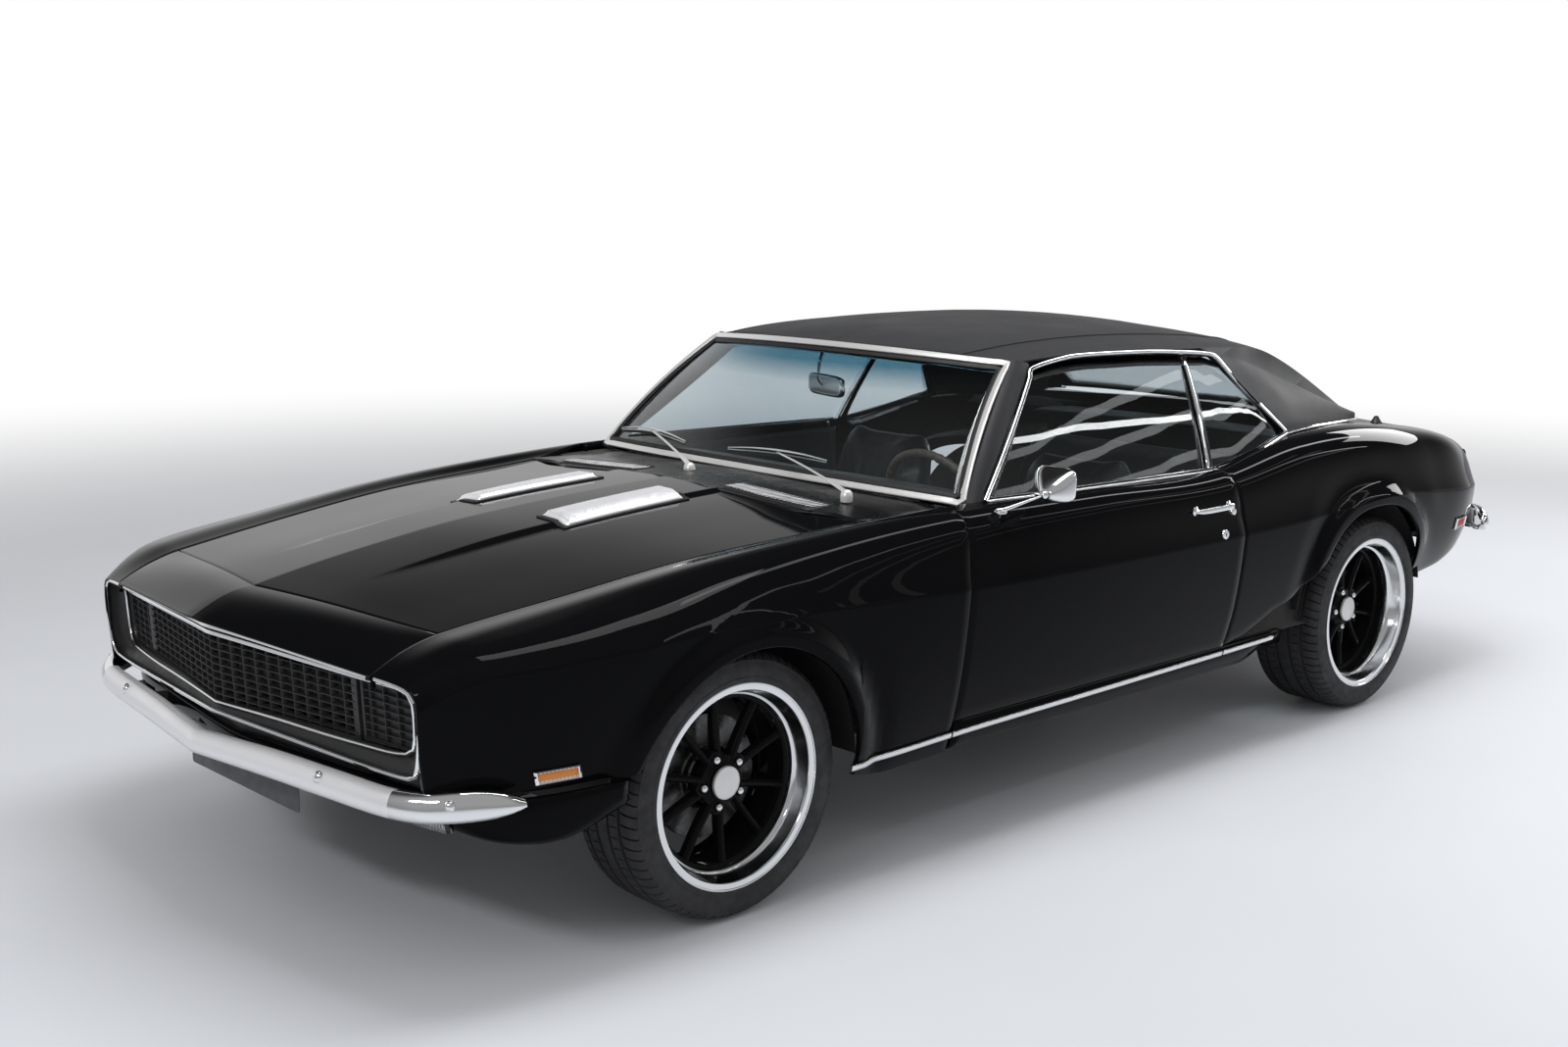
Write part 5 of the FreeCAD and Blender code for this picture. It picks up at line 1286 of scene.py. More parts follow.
deck_places = [lambda y, s=share: -1.54 - .012 * (1 - (y / .62) ** 2) + s * (DECK_FRONT + .005 + 1.54
               + .012 * (1 - (y / .62) ** 2)) for share in linspace(0, 1, 12)]
deck = grid("deck_skin", lid_flanges(lid_grid(deck_places, [.625] * 12, lid_height, lid_steps()), .018))
thicken(outward(deck), SHEET)
piece(deck, "body", paint, ["rear_deck_panel"])
print("trunk and deck")


# %% Tail panel
def tail_grid():
    """The tail: a lip under the lid, a flat field for the lamps, and an apron that turns under."""
    y = .722 * linspace(-1, 1, 41)
    x = interp(np.abs(y), [0, .35, .58, .66, .722], [-2.292, -2.284, -2.268, -2.25, -2.218])
    drop = .045 * (np.abs(y) / .72) ** 2
    profile = [(.075, .822), (.045, .818), (.015, .812), (.004, .803), (0, .79), (-.004, .7),
        (.002, .64), (.014, .59), (.03, .535), (.05, .47), (.06, .43), (.072, .422)]
    rows = []
    for ahead, z in profile:
        share = clip((z - .55) / .25, 0, 1)
        rows.append(xyz(x + ahead, y, z - drop * share))
    return array(rows)


tail = outward(grid("tail_skin", tail_grid()), (-1.5, 0, .6))
thicken(tail, .003)
piece(tail, "body", paint, ["tail_panel"])
print("tail panel")

# %% [markdown]
# ### Sills and front apron
# The sill is the box under the door; only its outer face shows, and it tucks under. The front apron
# closes the body below the bumper, wraps round the corners and ends at the wheel opening.

# %% Sills and apron
def sill_rows():
    """The sill's face from the fender to the rear wheel."""
    rows = []
    for x in linspace(.704, -.83, 40):
        top = side_at(x, .343)
        outer = side_at(x, .3)
        low = .262 if x > -.62 else .262 + .05 * float(ease(-.62, -.83, x))
        rows.append([top + [0, -.03, 0], top, outer, (x, outer[1] - .004, low + .022),
            (x, outer[1] - .016, low + .004), (x, outer[1] - .032, low), (x, .64, low)])
    return array(rows)


sill = outward(grid("sill", sill_rows()), (0, .6, .32))
thicken(sill, .0015)
sills = both_sides(sill, "sill_skin_{}", "body", paint, None)
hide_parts("rocker_panels")

apron_line = array([[2.226, 0], [2.196, .3], [2.166, .52], [2.132, .7], [2.085, .788], [2.02, .833],
                    [1.94, .858], [1.85, .873], [1.768, .878]])
apron_low = array([.338, .338, .34, .346, .328, .316, .314, .34, .372])


def apron_rows():
    """The apron, top to bottom, round the front from the middle to the left wheel opening."""
    full = np.vstack([apron_line[::-1] * [1, -1], apron_line[1:]])
    low = concatenate([apron_low[::-1], apron_low[1:]])
    line = curve_points(column_stack([full, low]), 121)
    rows = []
    for share, out in ((0, -.012), (.03, 0), (.1, .003), (.3, .006), (.6, .003), (.85, -.006),
            (.97, -.016), (1, -.026)):
        z = .424 + (line[:, 2] - .424) * share
        ring = line[:, :2] + out * column_stack([np.full(len(line), .8), .6 * np.sign(line[:, 1])
            * ease(.6, .8, np.abs(line[:, 1]))])
        rows.append(column_stack([ring, z]))
    return array(rows)


inner_rows = [[(x, y, z) for x in linspace(-.53, -.99, 12)] for y, z in ((.846, .338), (.815, .345),
    (.805, .47), (.8, .56))]
inner_sill = thicken(outward(grid("inner_sill", inner_rows), (-.8, 0, .4)), .002)
both_sides(inner_sill, "inner_sill_{}", "body", underbody, None)
apron = outward(grid("apron_skin", apron_rows()), (1.6, 0, .38))
thicken(apron, SHEET)
piece(apron, "body", paint, ["front_valance"])
print("sills and apron")

# %% [markdown]
# ## Roof
# The roof skin is covered in black vinyl. It starts at the windscreen, rolls over two round
# shoulders and runs down in wide rear pillars to the deck, round an upright oval-cornered rear
# window. It is one grid: rows run from front to rear, and each row goes from the middle over the
# shoulder and down the pillar. The faces over the rear window and beside the side windows are
# simply not made.

# %% Roof shape
ROOF = array([
    # x,   middle z, shoulder y, z
    [.36, 1.232, .598, 1.203], [.2, 1.266, .606, 1.211], [-.1, 1.29, .61, 1.222],
    [-.3, 1.294, .611, 1.22], [-.6, 1.286, .608, 1.207], [-.85, 1.259, .6, 1.196],
    [-1.05, 1.217, .588, 1.178], [-1.18, 1.15, .585, 1.136], [-1.31, 1.077, .586, 1.08],
    [-1.45, 1.001, .594, 1.008], [-1.6, .921, .622, .915]])
ACROSS = array([0, .1, .22, .34, .46, .56, .65, .72, .775, .82, .865, .9, .93, .955, .975, .99, 1.0])
FALL = array([0, .01, .04, .09, .17, .25, .34, .42, .5, .58, .66, .73, .8, .86, .92, .965, 1.0])
PILLAR_FOOT = array([[-.6, .79, .868], [-.966, .752, .93], [-1.1, .744, .936], [-1.2, .736, .936],
    [-1.33, .716, .932], [-1.45, .688, .926], [-1.55, .65, .918], [-1.6, .622, .915]])
HEADER_X, SILL_X = -1.085, -1.535


def roof_point(x, share):
    """A point on top of the roof: share runs from the middle, 0, to the left shoulder, 1."""
    x, share = np.broadcast_arrays(asarray(x, float), asarray(share, float))
    here = follow(ROOF, x)
    middle, side_y, side_z = here[..., 0], here[..., 1], here[..., 2]
    fall = interp(share, ACROSS, FALL)
    flat = middle - (middle - side_z) * fall + .012 * (1 - share ** 2) * share * ease(-1.0, -1.3, x)
    return xyz(x, side_y * share, flat)


def pillar_point(top_x, foot_x, w):
    """A point on the side of the rear pillar, w from the shoulder, 0, to its foot, 1."""
    head = roof_point(top_x, 1.0)
    foot_yz = follow(PILLAR_FOOT, foot_x)
    foot = concatenate([asarray(foot_x)[..., None], foot_yz], -1)
    w = asarray(w)[..., None]
    bulge = array([0, .35, .9]) * .02
    return head + (foot - head) * w + bulge * 4 * w * (1 - w)


def screen_head_x(y):
    """The windscreen's upper edge in plan."""
    return .35 - .129 * (np.abs(y) / .604) ** 2


def window_share(x):
    """Where the rear window's side edge lies, as a share of the shoulder's distance."""
    return .775 + .105 * ease(HEADER_X, SILL_X, x)


def roof_rows():
    """The left half of the roof, as rows of points, and which columns and rows matter."""
    top_x = concatenate([linspace(.347, -.66, 34), linspace(-.69, HEADER_X, 14),
                         linspace(HEADER_X - .03, SILL_X, 15), [-1.555, -1.578]])
    rows = []
    for x in top_x:
        edge = float(window_share(array(x)))
        share = concatenate([ACROSS[:9] / .775 * edge, edge + (ACROSS[9:] - .775) / .225 * (1 - edge)])
        lead = 1 - ease(.35, -.55, x)
        head = x - .129 * share ** 2 * lead
        corner = .03 * share ** 2 * ease(-.95, HEADER_X, x) * (1 - ease(HEADER_X - .1, -1.4, x))
        rows.append(roof_point(head + corner, share))
    return top_x, array(rows)


top_x, crown_rows = roof_rows()
print("roof rows:", len(top_x), "highest point %.3f m" % crown_rows[..., 2].max())

# %% Roof skin
FIRST_PILLAR_ROW = int(np.argmin(np.abs(top_x + .69)))
WINDOW_EDGE = [(-.7, 1.196), (-.735, 1.182), (-.756, 1.16), (-.808, 1.09), (-.895, 1.002),
    (-.958, .934)]


def pillar_rows(first, count=12):
    """Rows down the side of the pillar for every roof row from the first one on."""
    w = linspace(0, 1, count)
    edge = array(WINDOW_EDGE)[::-1]
    rows = []
    places = top_x[first:]
    for x in places:
        share = (places[0] - x) / (places[0] - places[-1])
        head = pillar_point(np.full(count, x), np.full(count, -.962 - share * .62), w)
        front_x = interp(head[:, 2], edge[:, 1], edge[:, 0])
        straight = x + (-.962 - share * .62 - x) * w
        moved = front_x + (straight - front_x) * share ** .8 if share < 1 else straight
        head[:, 0] = where(w > 0, moved, head[:, 0])
        rows.append(head)
    return array(rows)


def roof_mesh(name):
    """The whole roof skin, left and right halves joined, with its windows left open."""
    side = pillar_rows(FIRST_PILLAR_ROW)
    points, faces = [tuple(p) for p in crown_rows.reshape(-1, 3)], []
    wide = len(ACROSS)
    for r in range(len(top_x) - 1):
        for c in range(wide - 1):
            over_window = c < 8 and top_x[r] <= HEADER_X + 1e-6 and top_x[r + 1] >= SILL_X - 1e-6
            if not over_window:
                a = r * wide + c
                faces.append((a, a + wide, a + wide + 1, a + 1))
    faces += grid_faces(side.shape[0], side.shape[1], len(points), turn=True)
    points += [tuple(p) for p in side.reshape(-1, 3)]
    left = mesh_object(name, points, faces)
    whole = join(name, [left, mirrored(left, name + "_r")])
    return outward(recalculate(whole, .0004), (-.5, 0, .6))


roof = roof_mesh("vinyl_roof")
thicken(roof, .006, .0025)
piece(roof, "body", vinyl, ["roof"])
print("roof faces:", len(roof.data.polygons))

# %% [markdown]
# ### Pillars, seams and headliner
# The windscreen pillars are slim and leave room for the bright strips on both sides. The vinyl is
# sewn from three panels, so two raised seams run back over the roof. Inside, a soft headliner hangs
# a little below the skin.

# %% Pillars, seams and headliner
def screen_side(share):
    """The windscreen's left edge, from its foot, 0, to its head, 1."""
    foot, head = array([.557, .748, .877]), array([.221, .604, 1.208])
    share = asarray(share)[..., None]
    return foot + (head - foot) * share + array([.35, .3, .55]) * (.02 * 4 * share * (1 - share))


def window_front(share):
    """The side window's front edge, up the pillar."""
    foot, middle, head = array([.512, .772, .88]), array([.318, .693, 1.036]), array([.146, .616, 1.19])
    share = asarray(share)[..., None]
    return ((1 - share) ** 2 * foot + 2 * share * (1 - share) * (2 * middle - .5 * foot - .5 * head)
            + share ** 2 * head)


def pillar_a():
    """The left windscreen pillar as a closed strip with four rounded sides."""
    share = linspace(-.03, 1.03, 24)
    outer_front, outer_rear = screen_side(share), window_front(share)
    face = outer_rear - outer_front
    inward = array([-.25, -1.0, -.25])
    ring = [outer_front, outer_front + face * .12 + [.004, .007, .006],
            outer_front + face * .5 + [.004, .011, .008], outer_front + face * .88 + [.002, .008, .005],
            outer_rear, outer_rear + inward * .03, outer_front + face * .4 + inward * .042,
            outer_front + inward * .03]
    return recalculate(grid("pillar", np.moveaxis(array(ring), 0, 1), wrap=True))


both_sides(pillar_a(), "screen_pillar_{}", "body", vinyl, None)

seam_share = .8
for label, side in SIDES:
    line = roof_point(linspace(.262, -1.07, 60), np.full(60, seam_share)) * [1, side, 1] + [0, 0, .0012]
    seam = sweep("roof_seam_" + label, line, ring_profile(.0028, 8, .6))
    piece(seam, "body", vinyl)


def headliner_mesh():
    """The inner skin: the roof's crown again, lower and smaller."""
    rows = crown_rows[1:-3] * [1, .955, 1] - [0, 0, .03]
    keep_rows = rows[top_x[1:-3] > HEADER_X - .01]
    full = concatenate([keep_rows[:, ::-1] * [1, -1, 1], keep_rows[:, 1:]], 1)
    return grid("headliner", full)


headliner_obj = outward(headliner_mesh(), (-.4, 0, 2.5))
thicken(headliner_obj, .004)
piece(headliner_obj, "body", headliner)
inner = grid("pillar_lining", pillar_rows(FIRST_PILLAR_ROW)[1:-3] * [1, .955, 1] - [0, 0, .004])
both_sides(thicken(outward(inner, (-1.2, 2, 1)), .004), "pillar_lining_{}", "body", headliner, None)
print("pillars, seams and headliner")

# %% [markdown]
# ## Glass and bright strips
# Window glass is modelled as thin sheets with two faces, so it bends light as real glass does. The
# windscreen has a shade band along the top. Satin strips frame the windscreen and the rear window,
# and a chrome strip follows each side window in one line from the pillar's foot over the door and
# down to the belt.

# %% Windscreen and rear window
def band_glass(name, low_z, high_z):
    """Clear glass that turns blue-green in a band along its top."""
    made = glass_finish(name, GLASS_TINT, GLASS_SHADOW)
    tree = made.node_tree
    parts = node(tree, "ShaderNodeSeparateXYZ", {"Vector": object_place(tree)})
    band = node(tree, "ShaderNodeMapRange", {"Value": parts.outputs["Z"]}, From_Min=low_z,
        From_Max=high_z)
    tint(made, band.outputs["Result"], GLASS_TINT, (.11, .27, .36))
    return made


def screen_grid(foot, head, bulge, rows=16):
    """A curved pane between a lower and an upper edge, each a row of points."""
    sheets = []
    for share in linspace(0, 1, rows):
        line = foot + (head - foot) * share
        sheets.append(line + bulge * 4 * share * (1 - share))
    return array(sheets)


steps = linspace(-1, 1, 41)
foot_y, head_y = .748 * steps, .604 * steps
screen_foot = xyz(screen_foot_x(foot_y), foot_y, .893 - .016 * steps ** 2)
screen_head = xyz(screen_head_x(head_y), head_y, 1.231 - .023 * steps ** 2)
windscreen_rows = screen_grid(screen_foot, screen_head, array([.016, 0, .012]))
windscreen = grid("windscreen_glass", windscreen_rows - [.004, 0, .006])
thicken(outward(windscreen, (-.3, 0, .6)), .005)
piece(windscreen, "body", band_glass("windscreen_tint", 1.125, 1.185), ["windshield"])

share = window_share(array([HEADER_X, SILL_X]))
to_side = xyz(1, np.sign(steps), 1)
head = roof_point(HEADER_X - .004, np.abs(steps) * share[0]) * to_side
foot = roof_point(SILL_X, np.abs(steps) * share[1]) * to_side
head[:, 0] += .03 * (np.abs(steps) * share[0]) ** 2
rear_rows = screen_grid(foot, head, array([-.004, 0, .006]), 14)
rear_glass = grid("rear_glass", rear_rows - [-.004, 0, .008])
thicken(outward(rear_glass, (-.6, 0, .6)), .005)
piece(rear_glass, "body", glass, ["rear_window"])
print("windscreen and rear window")


# %% Window surrounds
def border_of(rows):
    """The outline of a pane, as a closed line of points."""
    return concatenate([rows[0], rows[1:, -1], rows[-1, -2::-1], rows[-2:0:-1, 0]])


def surround(name, rows, wide, up, lift=.002):
    """A flat bright strip that follows the outline of a pane."""
    line = curve_points(border_of(rows), 170, closed=True) + array(up) * lift
    return crease_shading(sweep(name, line, box_profile(wide, .007, .003), up=up, closed=True), 50)


def inset(rows, share_across, share_up):
    """A pane's grid drawn in towards its middle."""
    middle = rows.reshape(-1, 3).mean(0)
    return middle + (rows - middle) * [share_up, share_across, share_up]


gasket = surround("windscreen_gasket", inset(windscreen_rows, .979, .918), .016, (.7, 0, .71), -.001)
piece(gasket, "body", seal)
trim = surround("windscreen_surround", windscreen_rows, .02, (.7, 0, .71))
piece(trim, "body", satin)
gasket = surround("windscreen_seal", windscreen_rows * [1, .978, 1] - [.004, 0, .004], .016,
    (.7, 0, .71), 0.0)
piece(gasket, "body", seal)
trim = surround("rear_window_surround", rear_rows, .018, (-.47, 0, .88))
piece(trim, "body", chrome)
print("surrounds")

# %% Side windows
RAIL = [(.146, .62, 1.19), (.02, .613, 1.208), (-.1, .612, 1.214), (-.37, .612, 1.208),
    (-.55, .614, 1.198), (-.68, .618, 1.187), (-.742, .628, 1.168), (-.808, .662, 1.09),
    (-.895, .71, 1.002), (-.955, .745, .938)]
BELT = [(.512, .778, .88), (.3, .786, .876), (0.0, .79, .871), (-.3, .79, .866), (-.52, .787, .862),
    (-.62, .786, .866), (-.72, .781, .884), (-.82, .772, .905), (-.9, .762, .922), (-.955, .752, .932)]


def on_line(line, x):
    """The point of a left-side line at a place x."""
    line = array(line)[::-1]
    x = asarray(x, float)
    return xyz(x, interp(x, line[:, 0], line[:, 1]), interp(x, line[:, 0], line[:, 2]))


def side_pane(name, top_x, belt_x):
    """A side pane between the belt and the rail."""
    head, foot = on_line(RAIL, top_x), on_line(BELT, belt_x)
    rows = []
    for share in linspace(-.06, .985, 12):
        bow = .01 * 4 * share * (1 - share) - .01
        rows.append(foot + (head - foot) * share + array([0, 1.0, .35]) * bow)
    return thicken(outward(grid(name, array(rows)), (0, 0, .8)), .0045)


DIVIDER_FOOT, DIVIDER_HEAD = -.5, -.59
front_edge = linspace(0, 1, 30)
door_pane = side_pane("door_pane", .14 + (DIVIDER_HEAD - .14) * front_edge,
                      .498 + (DIVIDER_FOOT - .498) * front_edge)
both_sides(door_pane, "door_pane_{}", "door_{}", glass, "door_glass_{}")
rear_share = linspace(0, 1, 16)
quarter_pane = side_pane("quarter_pane", DIVIDER_HEAD - .008 + (-.75 - DIVIDER_HEAD) * rear_share,
    DIVIDER_FOOT - .008 + (-.945 - DIVIDER_FOOT) * rear_share)
quarter_panes = both_sides(quarter_pane, "quarter_pane_{}", "body", glass, None)
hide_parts("quarter_windows")


def side_strip(name, path, profile, count, up=(0, .5, .85)):
    """A bright strip along a left-side line."""
    return crease_shading(sweep(name, curve_points(path, count), profile, up=up), 50)


pillar_line = window_front(linspace(0.0, .93, 8)) + [0, .006, 0]
frame_line = [*pillar_line, *RAIL[:6], (-.722, .6225, 1.179), (-.748, .63, 1.16), *RAIL[7:]]
frame_strip = side_strip("frame_strip", array(frame_line) + [0, .008, .002],
                         box_profile(.013, .013, .004), 130, up=(0, .75, .66))
both_sides(frame_strip, "window_frame_strip_{}", "body", chrome, None)
rear_belt = side_strip("rear_belt", array(BELT[4:])[::-1] + [0, .006, .003],
                       box_profile(.014, .01, .004), 40)
both_sides(rear_belt, "rear_belt_strip_{}", "body", chrome, None)
door_belt = side_strip("door_belt", array([(.505, .778, .88), *BELT[1:4], (-.508, .787, .8625)])
    + [0, .008, .003], box_profile(.018, .01, .004), 50)
both_sides(door_belt, "door_belt_strip_{}", "door_{}", chrome, None)
head = on_line(RAIL, DIVIDER_HEAD) + [0, -.004, -.012]
foot = on_line(BELT, DIVIDER_FOOT) + [0, -.004, 0]
divider = sweep("divider", [foot + (head - foot) * s + array([0, .008, .003]) * 4 * s * (1 - s)
    for s in linspace(0, 1, 12)], box_profile(.014, .012, .004), up=(0, 1, .3))
both_sides(divider, "window_divider_{}", "door_{}", chrome, None)
foot_line = array([(x, *side) for x, side in zip(PILLAR_FOOT[1:, 0], PILLAR_FOOT[1:, 1:])])
base = side_strip("pillar_base", foot_line + [0, .004, .003], box_profile(.01, .008, .003), 60)
both_sides(base, "pillar_base_strip_{}", "body", chrome, None)
print("side glass and strips")

# %% [markdown]
# ## Wheels
# Each wheel is a low tyre on a wide two-piece rim: a deep polished lip round a gloss black centre
# with five pairs of slim spokes. All of it could be one lathe shape with holes cut in it, but the
# lip, the spokes, the nuts and the cap are separate things with separate finishes, so each is made
# on its own.

# %% Tyre
# each row: label, axle's x, middle's y, half the tyre's and half the rim's width, and the body
WHEELS = [("front_left", AXLES[0], .735, .1125, .109, "wheel_front_left"),
          ("front_right", AXLES[0], -.735, .1125, .109, "wheel_front_right"),
          ("rear_left", AXLES[1], .748, .1225, .119, "wheel_rear_left"),
          ("rear_right", AXLES[1], -.748, .1225, .119, "wheel_rear_right")]


def turned(rows_ra, middle, side):
    """Rows of (turn, radius, along) about an axle, as points. The outer face looks to `side`."""
    rows = asarray(rows_ra, float)
    x = middle[0] - rows[..., 1] * np.cos(rows[..., 0])
    z = middle[2] + rows[..., 1] * np.sin(rows[..., 0])
    return xyz(x, middle[1] + side * rows[..., 2], z)


def tyre_profile(half):
    """The tyre's section from the outer bead to the inner one, as (radius, along, tread share)."""
    tread = half - .013
    wall = [(.23, half - .012), (.244, half - .007), (.249, half - .0035), (.25, half - .002),
        (.256, half - .001), (.257, half + .0002), (.26, half + .0004), (.261, half - .0006),
        (.274, half), (.286, half - .0014), (.296, half - .0044), (.2968, half - .0036),
        (.3, half - .0044), (.301, half - .0058), (.308, half - .0105)]
    outer = [(r, a, 9.0) for r, a in wall]
    shares = [.985, .95, .9, .8, .69, .664, .655, .575, .566, .55, .42, .3, .262, .253, .17, .161, .13]
    shares += [0.0] + [-s for s in shares[::-1]]
    floors = ((.655, .575), (.253, .17))
    middle = []
    for share in shares:
        crown = .32 - .0035 * share ** 2 - .008 * max(0, abs(share) - .8) ** 2 / .04
        deep = any(low - 1e-6 <= abs(share) <= high + 1e-6 for high, low in floors)
        middle.append((crown - (.0075 if deep else 0), share * tread, share))
    inner = [(r, -a, 9.0) for r, a in wall[::-1]]
    return outer + middle + inner


def tyre_mesh(name, middle, side, half, pitches=72):
    """A tyre with four grooves round it and short cuts across its ribs."""
    profile = array(tyre_profile(half))
    share = np.abs(profile[:, 2])
    shoulder, rib = (share > .68) & (profile[:, 0] > .3005), (share > .29) & (share < .54)
    steps = array([.02, .38, .41, .48, .51, .84, .87, .98])
    turn = (np.arange(pitches)[:, None] + steps).ravel() / pitches * 2 * pi
    cut = np.tile([0, 0, .004, .004, 0, 0, .0055, .0055], pitches)
    edge_cut = np.tile([0, 0, 0, 0, 0, 0, 1.0, 1.0], pitches)
    rows = np.empty((len(turn), len(profile), 3))
    rows[..., 0] = turn[:, None]
    rows[..., 1] = profile[None, :, 0] - where(shoulder[None], edge_cut[:, None] * .006, 0)
    rows[..., 1] -= where(rib[None], (cut * (edge_cut < .5))[:, None], 0)
    rows[..., 2] = profile[None, :, 1]
    swing = (where(shoulder[None], (np.minimum(share, 1.05)[None] - .68) * .06, 0)
             - where(rib[None], (share[None] - .29) * .06, 0))
    rows[..., 0] += swing * np.sign(profile[None, :, 2])
    points = turned(rows, middle, side)
    points = concatenate([points, points[:1]])
    tyre = recalculate(grid(name, points))
    return crease_shading(tyre, 38)


for label, x, y, half, rim_half, body in WHEELS:
    side = 1 if y > 0 else -1
    tyre = tyre_mesh("tyre_tread_" + label, (x, y, HUB_Z), side, half)
    piece(tyre, body, rubber, ["tyre_" + label])
print("tyres: 4, of", len(tyre.data.polygons), "faces")

# %% Lip and barrel
def turned_ring(name, section, middle, side, segments=120):
    """A section of (radius, along) turned about an axle."""
    turn = linspace(0, 2 * pi, segments + 1)
    rows = np.empty((len(turn), len(section), 3))
    rows[..., 0] = turn[:, None]
    rows[..., 1:] = asarray(section)[None]
    return crease_shading(recalculate(grid(name, turned(rows, middle, side))), 30)


def lip_section(half):
    """The polished lip: a rounded flange, a flat step, a deep wall and a step above the spokes."""
    face = half - .062
    return [(.23, half - .016), (.244, half - .012), (.2462, half - .0085), (.247, half - .004),
        (.2462, half - .0008), (.244, half), (.242, half - .0002), (.2412, half - .0022),
        (.231, half - .0034), (.229, half - .0036), (.2278, half - .005), (.2268, half - .01),
        (.22, face + .027), (.2176, face + .021), (.216, face + .018), (.2128, face + .016),
        (.2105, face + .0148), (.2098, face + .013), (.2094, face + .002), (.2092, face - .004)]


def barrel_section(half):
    """The dark inner barrel, from behind the spokes to the inner bead."""
    face = half - .062
    return [(.2092, face - .002), (.2075, face - .03), (.199, face - .045), (.199, face - .085),
            (.209, face - .1), (.211, -half + .012), (.23, -half + .006), (.244, -half + .001),
            (.2455, -half + .006), (.23, -half + .02), (.22, -half + .03), (.206, face - .1),
            (.206, face - .04), (.22, face + .02), (.229, half - .02), (.23, half - .016)]


for label, x, y, half, rim_half, body in WHEELS:
    side = 1 if y > 0 else -1
    lip = turned_ring("rim_lip_" + label, lip_section(rim_half), (x, y, HUB_Z), side)
    piece(lip, body, alloy, ["rim_" + label])
    barrel = turned_ring("rim_barrel_" + label, barrel_section(rim_half), (x, y, HUB_Z), side, 72)
    piece(barrel, body, wheel_black)
print("lips and barrels")

# %% [markdown]
# ### Spokes, hub and brake disc
# Every pair of spokes starts at one wheel nut and opens out towards the rim, so the ten spoke ends
# stand evenly round it. A spoke is a strip with a flat crest and two bevelled flanks, which is what
# gives the real one its fine double line. The disc behind is turned steel.

# %% Spokes, hub and brake disc
LUG_TURNS = [radians(39.5 + 72 * k) for k in range(5)]


def spoke_rows(turn, twist, face):
    """One spoke as rows across it, from the hub to the ring inside the lip."""
    rows = []
    for share in linspace(0, 1, 10):
        radius = .052 + share * .156
        sideways = twist * (.0125 + share * .0505)
        wide = .009 + .0012 * share + .006 * max(0, share - .86) ** 1.5 / .052
        top = face + .0035 * (1 - share) - .007 * math.sin(pi * share) * .6
        deep = .03 - .006 * share
        across = [(-wide, -deep), (-wide, -.0095), (-wide * .88, -.0075), (-wide * .42, -.0006),
            (-wide * .34, 0), (wide * .34, 0), (wide * .42, -.0006), (wide * .88, -.0075),
            (wide, -.0095), (wide, -deep)]
        out = math.sqrt(max(radius ** 2 - sideways ** 2, 0))
        row = []
        for a, b in across:
            s, r = sideways + a, out
            row.append((turn + math.atan2(s, r), math.hypot(s, r), top + b))
        rows.append(row)
    return rows


def spokes_mesh(name, middle, side, face):
    """Five pairs of spokes."""
    strips = []
    for turn in LUG_TURNS:
        for twist in (-1, 1):
            points = turned(array(spoke_rows(turn, twist, face)), middle, side)
            strips.append(recalculate(grid("spoke", points, wrap=True)))
    return crease_shading(join(name, strips), 24)


def hub_section(face):
    """The hub's centre, with a raised boss for the cap."""
    return [(.0, face + .012), (.04, face + .012), (.0415, face + .0105), (.0415, face + .004),
        (.045, face + .0015), (.058, face), (.0625, face - .002), (.064, face - .006),
        (.064, face - .034), (0, face - .036)]


PAD = [(.0108, -.006), (.0112, .0005), (.0125, .0022), (.0165, .0022), (.0195, .0008), (.0205, -.002),
    (.0205, -.03)]
NUT = [(.0098, -.006), (.0098, .007), (.0088, .0105), (.0066, .0128), (.0034, .014), (0, .0143)]


def at_nuts(name, section, middle, side, face, segments):
    """A turned part at each of the five nuts. Its section's heights count from the hub's face."""
    parts = []
    for turn in LUG_TURNS:
        spot = turned(array([(turn, .0605, 0.0)]), middle, side)[0]
        ring = [(r, (face + a) * side) for r, a in section]
        parts.append(lathe(name, ring, (spot[0], middle[1], spot[2]), "Y", segments))
    return crease_shading(join(name, parts), 30)


for label, x, y, half, rim_half, body in WHEELS:
    side, middle, face = (1 if y > 0 else -1), (x, y, HUB_Z), rim_half - (.062 if x > 0 else .088)
    parts = [spokes_mesh("spokes", middle, side, face),
             turned_ring("hub", hub_section(face), middle, side, 60),
             at_nuts("pads", PAD, middle, side, face, 28)]
    ring = [(.2094, face + .002), (.2086, face + .0045), (.206, face + .0052), (.2, face + .003),
            (.1975, face - .001), (.1975, face - .02), (.2092, face - .022)]
    parts.append(turned_ring("ring", ring, middle, side))
    piece(join("spokes_" + label, parts), body, wheel_black)
    cap = [(.04, face + .011), (.04, face + .017), (.0392, face + .0185), (.0375, face + .0192),
           (.037, face + .0182), (.033, face + .0184), (.02, face + .0205), (.0, face + .0214)]
    piece(turned_ring("centre_cap_" + label, cap, middle, side, 64), body, satin)
    piece(at_nuts("wheel_nuts_" + label, NUT, middle, side, face, 18), body, chrome)
    disc = [(0, -.006), (.07, -.006), (.074, -.01), (.074, -.026), (.078, -.03), (.149, -.03),
        (.15, -.031), (.15, -.049), (.149, -.05), (.078, -.05), (0, -.05)]
    disc = [(r, a + face - .03) for r, a in disc]
    piece(turned_ring("brake_disc_" + label, disc, middle, side, 96), body, disc_steel)
print("wheels: 4, with spokes, caps, nuts and discs")

# %% [markdown]
# ## Front end
# The face is one wide V-shaped opening with two chrome mouldings round it, one inside the other,
# and a black egg-crate grille. The grille's outer ends are covers that swing aside from hidden
# headlamps. The satin bumper repeats the V and wraps round the corners in chrome.

